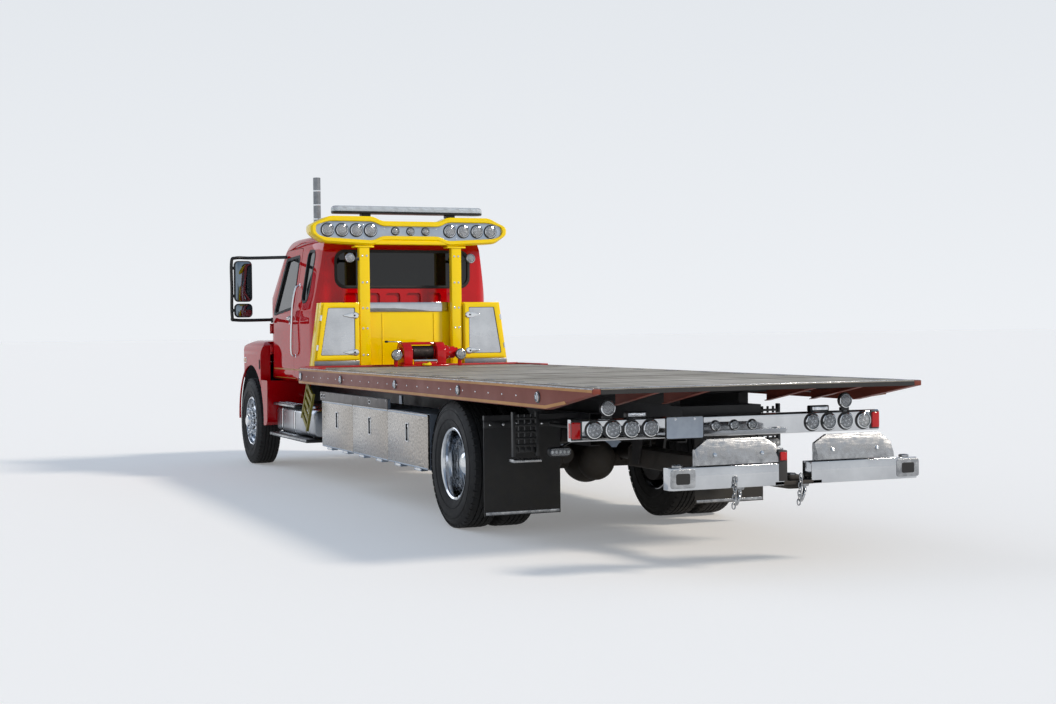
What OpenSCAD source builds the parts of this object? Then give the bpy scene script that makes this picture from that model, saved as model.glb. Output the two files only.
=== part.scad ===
// Flatbed tow truck: a sliding, tilting car-carrier deck on a two-axle conventional truck.
// Working axes: X forward from the rear axle, Y to the left, Z up from the ground.
// origin() then moves everything so that X = 0 is half-way between the ends of the truck.

/* [Chassis] */
// Distance between the two axles
wheel_base = 7250; // [5900:10:8800]
// Radius of a tyre, which is also the height of the axles
tyre_r = 525; // [430:5:640]
// Width of one tyre
tyre_w = 279; // [230:1:340]
// Radius of the rim where the tyre's bead sits
rim_r = 286; // [240:1:345]
// Distance between the middles of the outer rear tyres
rear_track = 2160; // [1900:10:2600]
// Gap between the two tyres of a twin wheel
dual_gap = 39; // [30:1:80]
// Distance between the middles of the front tyres
front_track = 2100; // [1800:10:2540]
// Width across the outsides of the frame rails
frame_w = 860; // [720:10:1030]
// Depth of a frame rail
rail_depth = 260; // [210:5:310]
// How far the top of the frame lies below the top of the tyres
frame_drop = 90; // [60:5:110]
// From the front axle to the front of the bumper
front_overhang = 800; // [740:10:960]

/* [Cab] */
// From the front of the bumper to the back wall of the cab
cab_bbc = 3250; // [3150:10:3900]
// Width of the cab at its waist
cab_w = 2080; // [1860:10:2500]
// From the top of the frame to the floor of the cab
cab_lift = 85; // [60:5:110]
// Height of the cab from its floor to the crown of the roof
cab_h = 1710; // [1500:10:2050]
// Thickness of a cab wall or door
cab_wall = 50; // [40:1:60]
// How far each front fender stands out past the cab side
fender_bulge = 130; // [60:5:220]

/* [Deck] */
// How far the deck reaches behind the rear axle
deck_tail = 2900; // [2700:10:3400]
// Width over the deck's side rails
deck_w = 2580; // [2500:10:3000]
// Gap between the deck's front edge and the cab
deck_gap = 300; // [285:5:400]
// Height of a side rail
side_rail_h = 163; // [130:1:166]
// Thickness of a side rail
side_rail_t = 60; // [40:1:70]
// Thickness of the deck's tail lip
lip_t = 35; // [28:1:45]
// Height of the cabinets above the deck
cabinet_h = 700; // [560:10:860]
// Height of the posts above the deck
post_h = 1320; // [1200:10:1600]
// Width over the ends of the lamp pylon
pylon_w = 2268; // [1900:10:2560]

/* [Underlift] */
// Width of the crossbar
crossbar_w = 1900; // [1580:10:2200]
// How far the crossbar stands behind the deck
crossbar_out = 320; // [240:10:500]
// How far the inner boom slides out
stinger_travel = 1100; // [600:10:1200]

/* [Boxes] */
// Height of the side boxes
box_h = 480; // [380:5:500]
// Depth of the side boxes from front face to back wall
box_deep = 430; // [300:5:450]

/* [Hidden] */
$fn = 64;
e = 1;
// Running gap in the radius of a pin and its bore
fit = 0.06;
// Gap between still parts that are only seated on each other
seat = 0.3;
// Gap between a slide and what it runs on
slide_gap = 0.5;
// Clear gap round each moving panel
shut = 6;

// Heights that follow from the tyre
axle_z = tyre_r;
frame_top = 2 * tyre_r - frame_drop;
frame_bottom = frame_top - rail_depth;
floor_z = frame_top + cab_lift;
roof_z = floor_z + cab_h;

// Lengths along the truck
front_x = wheel_base + front_overhang;
cab_x = front_x - cab_bbc;
deck_front = cab_x - deck_gap;
frame_tail = -1000;
frame_nose = front_x - 130;
box_front = cab_x - 880;
box_rear = tyre_r + 75;
crossbar_x = -deck_tail - crossbar_out;
tail_x = crossbar_x - 100;
mid_x = (front_x + tail_x) / 2;

// Tilt frame and deck stack
tilt_w = 640;
tilt_rail = 80;
tilt_bottom = frame_top - 55;
tilt_top = frame_top + 100;
sill_bottom = tilt_top + slide_gap;
sill_h = 78;
cross_h = 76;
plate_t = 10;
wear_t = 3;
deck_z = sill_bottom + sill_h + cross_h + plate_t;
tilt_front = deck_front - 600;
tilt_rear = -2300;
pivot_x = -900;
pivot_z = frame_top - 130;
pivot_r = 38;
lamp_bar_x = tilt_rear - 90;

// Wheels
rear_y = rear_track / 2;
inner_y = rear_y - tyre_w - dual_gap;
front_y = front_track / 2;
rim_half = tyre_w / 2 - 34;
kingpin_y = front_y - 220;
kingpin_r = 22;
spindle_r = 35;
axle_end_r = 55;
arch_r = tyre_r + 125;
fender_w = cab_w + 2 * fender_bulge;
skirt_x = wheel_base - arch_r - 200;

// Cab stations
door_rear = cab_x + 850;
door_front = cab_x + 1900;
cowl_x = cab_x + 2060;
sill_z = floor_z + 20;
belt_z = floor_z + 800;
head_z = floor_z + 1530;
hinge_x = door_front + 4;
hinge_y = cab_w / 2 + 4;
hood_pivot_z = frame_bottom + 50;
hood_front = front_x - 60;

// ---------- helpers ----------

module origin() {
    translate([-mid_x, 0, 0]) children();
}

module box(x0, x1, y0, y1, z0, z1) {
    translate([x0, y0, z0]) cube([x1 - x0, y1 - y0, z1 - z0]);
}

// The children and their mirror image on the truck's right side
module both_sides() {
    children();
    mirror([0, 1, 0]) children();
}

// The children on the left (side = 1) or on the right (side = -1)
module on_side(side) {
    if (side > 0) children();
    else mirror([0, 1, 0]) children();
}

module rod_x(x0, x1, y, z, r) {
    translate([x0, y, z]) rotate([0, 90, 0]) cylinder(h = x1 - x0, r = r);
}

module rod_y(x, y0, y1, z, r) {
    translate([x, y1, z]) rotate([90, 0, 0]) cylinder(h = y1 - y0, r = r);
}

module rod_z(x, y, z0, z1, r) {
    translate([x, y, z0]) cylinder(h = z1 - z0, r = r);
}

// A cylinder from one point to another in a plane of constant Y
module strut(x0, z0, x1, z1, y, r) {
    length = sqrt(pow(x1 - x0, 2) + pow(z1 - z0, 2));
    translate([x0, y, z0]) rotate([0, 90 - atan2(z1 - z0, x1 - x0), 0]) cylinder(h = length, r = r);
}

// An outline in X and Z, drawn out along Y
module side_plate(points, y0, y1) {
    translate([0, y1, 0]) rotate([90, 0, 0]) linear_extrude(y1 - y0) polygon(points);
}

// An outline in Y and Z, drawn out along X
module end_plate(points, x0, x1) {
    translate([x0, 0, 0]) rotate([90, 0, 90]) linear_extrude(x1 - x0) polygon(points);
}

// An outline in X and Y, drawn out along Z
module floor_plate(points, z0, z1) {
    translate([0, 0, z0]) linear_extrude(z1 - z0) polygon(points);
}

// A rectangle with round corners, as points
function round_rect(x0, x1, y0, y1, r) = [
    for (c = [[x1 - r, y1 - r, 0], [x0 + r, y1 - r, 90], [x0 + r, y0 + r, 180], [x1 - r, y0 + r, 270]])
        for (a = [0 : 15 : 90])
            [c[0] + r * cos(c[2] + a), c[1] + r * sin(c[2] + a)]
];

// A ring round a Y axis through (x, z)
module ring_y(x, y0, y1, z, r_in, r_out) {
    difference() {
        rod_y(x, y0, y1, z, r_out);
        rod_y(x, y0 - e, y1 + e, z, r_in);
    }
}

// A profile of [radius, y] points turned round the Y axis through (x, z)
module turned_y(x, y, z, profile) {
    translate([x, y, z]) rotate([-90, 0, 0]) rotate_extrude($fn = 96) polygon(profile);
}

// ---------- hinges: a pin between two ears, and a knuckle that turns on it ----------

hinge_r = 6;
knuckle_r = 12;
ear_len = 24;
hinge_gap = 1;

// Pin and ears of one hinge of length h from the origin up +Z
module hinge_pin(h) {
    cylinder(h = h, r = hinge_r);
    cylinder(h = ear_len, r = knuckle_r);
    translate([0, 0, h - ear_len]) cylinder(h = ear_len, r = knuckle_r);
}

module hinge_knuckle(h) {
    difference() {
        translate([0, 0, ear_len + hinge_gap]) cylinder(h = h - 2 * (ear_len + hinge_gap), r = knuckle_r);
        cylinder(h = h, r = hinge_r + fit);
    }
}

// The room that each side leaves for the other's parts
module hinge_room(h) {
    translate([0, 0, ear_len]) cylinder(h = h - 2 * ear_len, r = knuckle_r + shut);
}

module ear_room(h) {
    for (z = [-shut, h - ear_len - hinge_gap])
        translate([0, 0, z]) cylinder(h = ear_len + shut + hinge_gap, r = knuckle_r + shut);
    translate([0, 0, -shut]) cylinder(h = h + 2 * shut, r = hinge_r + fit);
}

// ---------- chassis ----------

rail_y0 = frame_w / 2 - 90;
rail_y1 = frame_w / 2;
cross_stations = [-640, 900, 1900, 2900, 3900, cab_x + 200, frame_nose - 120];

module frame_rail() {
    difference() {
        box(frame_tail, frame_nose, rail_y0, rail_y1, frame_bottom, frame_top);
        box(frame_tail - e, frame_nose + e, rail_y0 - e, rail_y1 - 10, frame_bottom + 10, frame_top - 10);
    }
}

spring_y0 = rail_y1 + 12;
spring_y1 = spring_y0 + 80;
spring_half = 640;

module chassis_frame() {
    color("#1b1b1d") origin() {
        both_sides() {
            frame_rail();
            // flap hangers, spring hangers and the mounts of the tilt cylinders
            box(flap_x - 15, flap_x + 15, rail_y1, flap_y1, frame_top - 40, frame_top - 5);
            for (x = [-spring_half, spring_half])
                box(x - 40, x + 40, rail_y1, spring_y1, spring_end_z + 32, frame_bottom + 120);
            for (y = [cyl_y - 46, cyl_y + 32])
                box(cyl_base_x - 40, cyl_base_x + 40, y, y + 14, cyl_base_z - 40, frame_bottom + 60);
            box(cyl_base_x - 40, cyl_base_x + 40, rail_y1, cyl_y + 46, frame_bottom + 60,
                frame_bottom + 100);
            rod_y(cyl_base_x, cyl_y - 46, cyl_y + 46, cyl_base_z, cyl_pin_r);
        }
        for (x = cross_stations)
            box(x - 50, x + 50, -rail_y1 + 10, rail_y1 - 10, frame_bottom + 72, frame_top - 80);
        rod_y(pivot_x, -rail_y1 - 40, rail_y1 + 40, pivot_z, pivot_r);
    }
}

// Leaf springs: a pack that rises from the axle seat to its ends
spring_end_z = frame_bottom + 20;

module leaf_pack(x, y0, y1, half, seat_z, end_z) {
    side_plate([
        [x - half, end_z], [x - 90, seat_z], [x + 90, seat_z], [x + half, end_z],
        [x + half, end_z + 32], [x + 90, seat_z + 90], [x - 90, seat_z + 90], [x - half, end_z + 32]
    ], y0, y1);
}

module rear_axle() {
    color("#242424") origin() {
        rod_y(0, -inner_y + tyre_w / 2 + 10, inner_y - tyre_w / 2 - 10, axle_z, 80);
        rod_y(0, -rear_y + 10, rear_y - 10, axle_z, axle_end_r);
        translate([0, 0, axle_z]) sphere(r = 205);
        rod_x(0, 330, 0, axle_z, 95);
        rod_x(0, pinion_x, 0, axle_z, 60);
        both_sides() {
            leaf_pack(0, spring_y0, spring_y1, spring_half + 30, axle_z + 82, spring_end_z);
            box(-70, 70, spring_y0, spring_y1, axle_z + 40, axle_z + 84);
            rod_x(-300, -80, 320, axle_z + 60, 72);
            box(-110, -60, 290, 350, axle_z - 20, axle_z + 90);
        }
    }
}

pinion_x = 430;
shaft_front = cab_x + 760;
shaft_front_z = frame_bottom + 30;

module drive_shaft() {
    color("#303030") origin() {
        rise = shaft_front_z - axle_z;
        mid_z = axle_z + rise * (3100 - pinion_x) / (shaft_front - pinion_x);
        rod_x(pinion_x + seat, pinion_x + 60, 0, axle_z, 70);
        strut(pinion_x + 60, axle_z, 3100, mid_z, 0, 48);
        strut(3100, mid_z, shaft_front - 60, shaft_front_z, 0, 48);
        rod_x(3040, 3100, 0, mid_z, 78);
        box(3050, 3090, -60, 60, mid_z + 20, frame_bottom + 10);
        box(3050, 3090, -rail_y0 - 40, rail_y0 + 40, frame_bottom - 20, frame_bottom - seat);
        rod_x(shaft_front - 62, shaft_front - seat, 0, shaft_front_z, 70);
    }
}

module engine_block() {
    color("#3a3d40") origin() {
        box(cowl_x + 10, wheel_base + 430, -310, 310, frame_bottom - 40, floor_z + 260);
        box(shaft_front + 60, cowl_x + 10, -180, 180, frame_bottom - 60, floor_z - 60);
        rod_x(shaft_front, shaft_front + 60, 0, shaft_front_z, 90);
        for (x = [cowl_x + 200, wheel_base + 300])
            box(x - 40, x + 40, -rail_y0 - 10, rail_y0 + 10, frame_bottom + 12, frame_bottom + 60);
    }
}

beam_z0 = axle_z - 95;
beam_z1 = axle_z + 5;
front_spring_y0 = rail_y0;
front_spring_y1 = rail_y1 - 10;

module front_axle() {
    color("#242424") origin() {
        box(wheel_base - 45, wheel_base + 45, -kingpin_y + 30, kingpin_y - 30, beam_z0, beam_z1);
        both_sides() {
            rod_z(wheel_base, kingpin_y, beam_z0, beam_z1, 44);
            rod_z(wheel_base, kingpin_y, beam_z0 - 45, beam_z1 + 45, kingpin_r);
            leaf_pack(wheel_base, front_spring_y0, front_spring_y1, 560, beam_z1, frame_bottom - 40);
            for (x = [wheel_base - 560, wheel_base + 530])
                box(x, x + 30, front_spring_y0, front_spring_y1, frame_bottom - 10, frame_bottom - seat);
        }
    }
}

module knuckle(side) {
    color("#2e2e2e") origin() on_side(side) {
        difference() {
            union() {
                for (z = [beam_z0 - 38, beam_z1 + 6]) {
                    rod_z(wheel_base, kingpin_y, z, z + 32, 40);
                    box(wheel_base - 40, wheel_base + 40, kingpin_y, kingpin_y + 84, z, z + 32);
                }
                box(wheel_base - 60, wheel_base + 60, kingpin_y + 54, kingpin_y + 84, beam_z0 - 38,
                    beam_z1 + 38);
            }
            rod_z(wheel_base, kingpin_y, beam_z0 - 60, beam_z1 + 60, kingpin_r + fit);
        }
        rod_y(wheel_base, kingpin_y + 80, front_y + 60, axle_z, spindle_r);
    }
}

tow_pin_r = 20;

module front_bumper() {
    color("#d4d6d8") origin() {
        half = fender_w / 2 - 30;
        wing_x = max(front_x - 260, wheel_base + tyre_r + 30);
        difference() {
            floor_plate([
                [wing_x, half], [front_x - 120, half], [front_x, half - 260],
                [front_x, -half + 260], [front_x - 120, -half], [wing_x, -half],
                [wing_x, -half + 40], [front_x - 150, -half + 60], [front_x - 60, -half + 290],
                [front_x - 60, half - 290], [front_x - 150, half - 60], [wing_x, half - 40]
            ], frame_bottom - 240, frame_bottom + 20);
            both_sides() rod_x(front_x - 100, front_x + e, 500, frame_bottom - 120, tow_pin_r);
        }
        both_sides() {
            box(frame_nose + seat, front_x - 60, rail_y0, rail_y1, frame_bottom - 200, frame_bottom + 20);
            box(frame_nose - 60, frame_nose + seat, rail_y0, rail_y1, frame_bottom - 200,
                frame_bottom - seat);
        }
    }
}

tank_x0 = cab_x - 40;
tank_x1 = skirt_x - 12;

module fuel_tanks() {
    color("#c9ccd0") origin() both_sides() {
        end_plate(round_rect(rail_y1 + 110, cab_w / 2 + 20, frame_bottom - 250, frame_bottom + 55, 70),
            tank_x0, tank_x1);
        for (x = [tank_x0 + 250, tank_x1 - 250]) {
            box(x - 40, x + 40, rail_y1 + seat, rail_y1 + 60, frame_bottom - 200, frame_bottom + 120);
            box(x - 40, x + 40, rail_y1 + 60, rail_y1 + 160, frame_bottom - 150, frame_bottom);
        }
    }
}

step_y1 = cab_w / 2 + 110;

module cab_steps() {
    color("#202022") origin() both_sides() {
        box(cab_x + 560, tank_x1 - 20, step_y1 - 230, step_y1 - 40, frame_bottom + 55 + seat,
            frame_bottom + 86);
        box(cab_x - 60, skirt_x - 12, step_y1 - 260, step_y1, frame_bottom - 300, frame_bottom - 260);
        for (x = [cab_x + 120, tank_x1 - 120])
            box(x - 25, x + 25, rail_y1 + 180, step_y1 - 200, frame_bottom - 280,
                frame_bottom - 250 - seat);
    }
}

// ---------- side boxes and their drop-down doors ----------

box_z0 = frame_top - 60 - box_h;
box_z1 = frame_top - 60;
box_y1 = deck_w / 2 - 90;
box_y0 = box_y1 - box_deep;
box_wall = 14;
door_t = 22;
door_count = 3;
bay_w = (box_front - box_rear) / door_count;
box_hinge_y = box_y1 - knuckle_r;
box_hinge_z = box_z0 - knuckle_r + 4;
box_hinge_len = 180;

module at_box_hinges(bay) {
    for (s = [0.25, 0.75])
        translate([box_rear + bay_w * (bay + s) - box_hinge_len / 2, box_hinge_y, box_hinge_z])
            rotate([0, 90, 0]) children();
}

module side_boxes() {
    color("#b9bcc0") origin() both_sides() {
        difference() {
            box(box_rear, box_front, box_y0, box_y1 - door_t - seat, box_z0, box_z1);
            for (bay = [0 : door_count - 1])
                box(box_rear + bay_w * bay + box_wall, box_rear + bay_w * (bay + 1) - box_wall,
                    box_y0 + box_wall, box_y1, box_z0 + box_wall, box_z1 - box_wall);
            for (bay = [0 : door_count - 1]) at_box_hinges(bay) hinge_room(box_hinge_len);
        }
        for (bay = [0 : door_count - 1]) at_box_hinges(bay) {
            hinge_pin(box_hinge_len);
            for (z = [0, box_hinge_len - ear_len])
                translate([-knuckle_r, -door_t - 30, z]) cube([knuckle_r + 10, door_t + 30, ear_len]);
        }
        // trim board above the doors and the hangers to the frame
        box(box_rear + bay_w, box_front + 60, box_y1 - 30, box_y1 - 6, box_z1, box_z1 + 90);
        for (x = [box_rear + 300, box_front - 300]) {
            box(x - 40, x + 40, rail_y1 + seat, rail_y1 + 12, frame_bottom, frame_top - 20);
            box(x - 40, x + 40, rail_y1 + 12, box_y0, box_z1 - 160, box_z1 - 100);
        }
    }
}

module box_door(side, bay) {
    color("#b2b0a8") origin() on_side(side) {
        difference() {
            box(box_rear + bay_w * bay + shut / 2, box_rear + bay_w * (bay + 1) - shut / 2,
                box_y1 - door_t, box_y1, box_z0 + shut, box_z1 - 2);
            at_box_hinges(bay) ear_room(box_hinge_len);
        }
        at_box_hinges(bay) difference() {
            union() {
                hinge_knuckle(box_hinge_len);
                translate([-knuckle_r - shut, -knuckle_r + 4, ear_len + hinge_gap])
                    cube([knuckle_r + shut, 2 * knuckle_r - 6, box_hinge_len - 2 * (ear_len + hinge_gap)]);
            }
            cylinder(h = box_hinge_len, r = hinge_r + fit);
        }
    }
}

flap_x = -810;
flap_y1 = rear_y + tyre_w / 2 + 20;

module mudflaps() {
    color("#151515") origin() both_sides()
        box(flap_x - 6, flap_x + 6, flap_y1 - 640, flap_y1, axle_z - 345, frame_top - 40 - seat);
}

// ---------- wheels ----------

flange = 12;

module tyre_ring(x, y) {
    h = tyre_w / 2;
    turned_y(x, y, axle_z, [
        [rim_r + seat, -rim_half + seat], [rim_r + flange + seat, -rim_half + seat],
        [rim_r + flange + seat, -rim_half - 6], [rim_r + 40, -h + 14], [rim_r + 110, -h],
        [tyre_r - 50, -h + 10],
        [tyre_r - 14, -h + 26], [tyre_r, -h + 52], [tyre_r, h - 52], [tyre_r - 14, h - 26],
        [tyre_r - 50, h - 10], [rim_r + 110, h], [rim_r + 40, h - 14],
        [rim_r + flange + seat, rim_half + 6],
        [rim_r + flange + seat, rim_half - seat], [rim_r + seat, rim_half - seat]
    ]);
}

module rim_barrel(x, y) {
    turned_y(x, y, axle_z, [
        [rim_r - 12, -rim_half], [rim_r + flange, -rim_half - 8], [rim_r + flange, -rim_half],
        [rim_r, -rim_half], [rim_r, rim_half], [rim_r + flange, rim_half], [rim_r + flange, rim_half + 8],
        [rim_r - 12, rim_half]
    ]);
}

front_disc_y = front_y + 70;

module front_rim(side) {
    color("#d9dadc") origin() on_side(side) {
        rim_barrel(wheel_base, front_y);
        difference() {
            ring_y(wheel_base, front_disc_y, front_disc_y + 22, axle_z, 60, rim_r - 8);
            for (a = [0 : 36 : 359])
                rod_y(wheel_base + 205 * cos(a), front_disc_y - e, front_disc_y + 30,
                    axle_z + 205 * sin(a), 28);
        }
        ring_y(wheel_base, front_y - 90, front_y + 66, axle_z, spindle_r + fit, 105);
        rod_y(wheel_base, front_y + 66, front_y + 165, axle_z, 105);
        ring_y(wheel_base, front_y - 92, front_y - 20, axle_z, 100, 205);
    }
}

module front_tyre(side) {
    color("#161616") origin() on_side(side) tyre_ring(wheel_base, front_y);
}

disc_y = (rear_y + inner_y) / 2;

module rear_rims(side) {
    color("#d9dadc") origin() on_side(side) {
        rim_barrel(0, rear_y);
        rim_barrel(0, inner_y);
        for (y = [[disc_y, disc_y + 20], [disc_y - 20, disc_y]])
            difference() {
                ring_y(0, y[0], y[1], axle_z, 100, rim_r - 6);
                for (a = [0 : 36 : 359])
                    rod_y(205 * cos(a), y[0] - e, y[1] + e, axle_z + 205 * sin(a), 28);
            }
        ring_y(0, disc_y, rear_y + rim_half - 60, axle_z, rim_r - 30, rim_r - 6);
        ring_y(0, inner_y - rim_half + 30, disc_y, axle_z, rim_r - 30, rim_r - 6);
        ring_y(0, inner_y - tyre_w / 2, rear_y - 5, axle_z, axle_end_r + fit, 112);
        rod_y(0, rear_y - 5, rear_y + 60, axle_z, 112);
        ring_y(0, inner_y - tyre_w / 2, inner_y - 20, axle_z, 110, 215);
    }
}

module rear_tyres(side) {
    color("#161616") origin() on_side(side) {
        tyre_ring(0, rear_y);
        tyre_ring(0, inner_y);
    }
}

// ---------- cab ----------

// Side outline of the cab, moved in by g all round
function cab_side(g) = [
    [cab_x + g, floor_z + g], [cab_x + g, roof_z - 250], [cab_x + 60 + g * 0.8, roof_z - 70 - g * 0.6],
    [cab_x + 260 + g * 0.2, roof_z - 14 - g], [cab_x + 700, roof_z - g], [cab_x + 1200, roof_z - 18 - g],
    [cab_x + 1530 - g * 0.3, roof_z - 90 - g], [cab_x + 1600 - g * 0.8, roof_z - 150 - g * 0.7],
    [cowl_x + 10 - g, floor_z + 880], [cowl_x - g, floor_z + 840], [cowl_x - g, floor_z + g]
];

// End outline of the cab: the sides lean in above the waist
function cab_end_half(g) = [
    [0, floor_z + g], [cab_w / 2 - 30 - g, floor_z + g], [cab_w / 2 - g, floor_z + 120],
    [cab_w / 2 - g, floor_z + 640], [cab_w / 2 - 22 - g, floor_z + 820],
    [cab_w / 2 - 132 - g, roof_z - 190],
    [cab_w / 2 - 190 - g * 0.8, roof_z - 70 - g * 0.6], [cab_w / 2 - 420 - g * 0.3, roof_z - 16 - g],
    [0, roof_z - g]
];

// Plan outline of the cab: the back corners are cut and the nose narrows
function cab_plan_half(g) = [
    [cab_x + g, 0], [cab_x + g, cab_w / 2 - 130], [cab_x + 60 + g, cab_w / 2 - 50 - g],
    [cab_x + 170 + g, cab_w / 2 - 10 - g], [cab_x + 800, cab_w / 2 - g], [door_front - 100, cab_w / 2 - g],
    [cowl_x + 20 - g, cab_w / 2 - 60 - g], [cowl_x + 20 - g, 0]
];

function both_y(half) = concat(half, [for (i = [len(half) - 2 : -1 : 1]) [half[i][0], -half[i][1]]]);
function both_x(half) = concat(half, [for (i = [len(half) - 2 : -1 : 1]) [-half[i][0], half[i][1]]]);

module cab_solid(g) {
    intersection() {
        side_plate(cab_side(g), -cab_w, cab_w);
        end_plate(both_x(cab_end_half(g)), cab_x - 100, cowl_x + 200);
        floor_plate(both_y(cab_plan_half(g)), floor_z - 100, roof_z + 100);
    }
}

// Outline of the door, moved in by g all round
function door_outline(g) = [
    [door_rear + g, sill_z + g], [door_front - 160 - g, sill_z + g], [door_front - g, floor_z + 330],
    [door_front - g, floor_z + 840], [cab_x + 1590 - g * 1.3, head_z - 20 - g * 0.5],
    [cab_x + 1530 - g, head_z - g], [door_rear + g * 3, head_z - g], [door_rear + g, belt_z]
];

function door_window(g) = [
    [door_rear + 95 + g, belt_z + 40 + g], [door_front - 130 - g * 1.5, belt_z - 25 + g],
    [door_front - 100 - g * 1.8, belt_z + 20], [cab_x + 1530 - g * 1.5, head_z - 110 - g],
    [door_rear + 140 + g, head_z - 90 - g], [door_rear + 100 + g, head_z - 125 - g]
];

function quarter_window(g) = [
    [cab_x + 330 + g, belt_z + 190], [cab_x + 390, belt_z + 110 + g], [cab_x + 560, belt_z + 95 + g],
    [cab_x + 620 - g, belt_z + 150], [cab_x + 600 - g, head_z - 100], [cab_x + 540, head_z - 50 - g],
    [cab_x + 340, head_z - 60 - g], [cab_x + 290 + g, head_z - 110]
];

rear_window_z0 = floor_z + 1060;
rear_window_z1 = floor_z + 1450;
rear_window_y = cab_w / 2 - 265;
shield_z0 = floor_z + 900;
shield_z1 = roof_z - 190;

module window_cuts(g) {
    for (side = [1, -1]) on_side(side) side_plate(quarter_window(g), cab_w / 2 - 300, cab_w / 2 + 50);
    end_plate(round_rect(-rear_window_y + g, rear_window_y - g, rear_window_z0 + g, rear_window_z1 - g,
        110 - g),
        cab_x - 50, cab_x + 100);
    both_sides() end_plate([
        [16 + g, shield_z0 + g], [cab_w / 2 - 130 - g, shield_z0 + g],
        [cab_w / 2 - 230 - g, shield_z1 - g],
        [16 + g, shield_z1 - g]
    ], cab_x + 1500, cowl_x + 100);
}

door_hinge_len = 120;
door_hinges_z = [floor_z + 300, floor_z + 550];

module at_door_hinges() {
    for (z = door_hinges_z) translate([hinge_x, hinge_y, z]) children();
}

module cab_shell() {
    color("#d4000f") origin() {
        difference() {
            cab_solid(0);
            cab_solid(cab_wall);
            for (side = [1, -1]) on_side(side) {
                side_plate(door_outline(0), cab_w / 2 - 330, cab_w);
                at_door_hinges() hinge_room(door_hinge_len);
            }
            window_cuts(0);
            // raised floor tunnel over the gearbox stays closed; steering column hole
            box(shaft_front, cowl_x + 100, -200, 200, floor_z - 100, floor_z - 10);
        }
        both_sides() at_door_hinges() difference() {
            union() {
                hinge_pin(door_hinge_len);
                for (z = [0, door_hinge_len - ear_len])
                    translate([0, -40, z]) cube([30, 40, ear_len]);
            }
            translate([-60, -60, ear_len]) cube([53, 60, door_hinge_len - 2 * ear_len]);
        }
        // cab mounts down to the frame
        both_sides() for (x = [cab_x + 120, cowl_x - 200])
            rod_z(x, frame_w / 2 - 45, frame_top + seat, floor_z + e, 38);
    }
}

module cab_glass() {
    color([0.12, 0.14, 0.15, 0.6]) origin() intersection() {
        difference() {
            cab_solid(14);
            cab_solid(20);
        }
        window_cuts(seat);
    }
}

module door(side) {
    color("#c8000e") origin() on_side(side) {
        difference() {
            intersection() {
                difference() {
                    cab_solid(0);
                    cab_solid(cab_wall);
                }
                side_plate(door_outline(shut), cab_w / 2 - 330, cab_w);
            }
            side_plate(door_window(0), cab_w / 2 - 340, cab_w);
            // no floor strip inside the door skin
            box(door_rear, door_front, 0, cab_w / 2 - cab_wall - 12, 0, belt_z - 200);
            at_door_hinges() ear_room(door_hinge_len);
        }
        at_door_hinges() difference() {
            union() {
                hinge_knuckle(door_hinge_len);
                translate([-40, -knuckle_r - 4, ear_len + hinge_gap])
                    cube([40, knuckle_r + 6, door_hinge_len - 2 * (ear_len + hinge_gap)]);
            }
            cylinder(h = door_hinge_len, r = hinge_r + fit);
            translate([4, -40, -e]) cube([40, 40, door_hinge_len + 2 * e]);
        }
    }
}

module door_glass(side) {
    color([0.12, 0.14, 0.15, 0.6]) origin() on_side(side) intersection() {
        difference() {
            cab_solid(18);
            cab_solid(24);
        }
        side_plate(door_window(seat), cab_w / 2 - 330, cab_w);
    }
}

mirror_x = door_front - 80;
mirror_y = cab_w / 2 + 250;

module wing_mirror(side) {
    arm_z = belt_z + 640;
    foot_x = cab_x + 1540;
    color("#1d1d1f") origin() on_side(side) {
        floor_plate(round_rect(mirror_x - 50, mirror_x + 60, mirror_y - 10, mirror_y + 250, 40),
            belt_z - 70, arm_z);
        box(mirror_x - 12, mirror_x + 12, cab_w / 2 + seat, mirror_y + 220, belt_z - 95, belt_z - 69);
        box(mirror_x - 16, mirror_x + 16, cab_w / 2 + seat, cab_w / 2 + 20, belt_z - 122, belt_z - 60);
        // the upper arm runs back to the top of the door frame
        difference() {
            floor_plate([
                [foot_x - 20, cab_w / 2 - 200], [foot_x + 20, cab_w / 2 - 200],
                [foot_x + 20, cab_w / 2 - 60],
                [mirror_x + 12, mirror_y], [mirror_x + 12, mirror_y + 220],
                [mirror_x - 12, mirror_y + 220],
                [mirror_x - 12, mirror_y + 10], [foot_x - 20, cab_w / 2 - 50]
            ], arm_z - e, arm_z + 25);
            cab_solid(-seat);
        }
    }
}

// ---------- cab fittings ----------

module seats() {
    color("#3b3c40") origin() both_sides() {
        x = door_rear + 60;
        y = 250;
        box(x + 20, x + 470, y, y + 480, floor_z + cab_wall + seat, floor_z + 330);
        box(x, x + 520, y - 10, y + 490, floor_z + 330, floor_z + 461.7);
        side_plate([
            [x - 10, floor_z + 462], [x + 130, floor_z + 462], [x + 10, floor_z + 1080],
            [x - 110, floor_z + 1080]
        ], y + 10, y + 470);
        side_plate([
            [x - 100, floor_z + 1090], [x, floor_z + 1090], [x - 20, floor_z + 1290],
            [x - 110, floor_z + 1290]
        ], y + 110, y + 370);
        box(x - 70, x - 50, y + 200, y + 280, floor_z + 1070, floor_z + 1100);
    }
}

column_tilt = 35;
steer_x = door_front - 290;
steer_z = floor_z + 800;
steer_y = 490;

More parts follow.
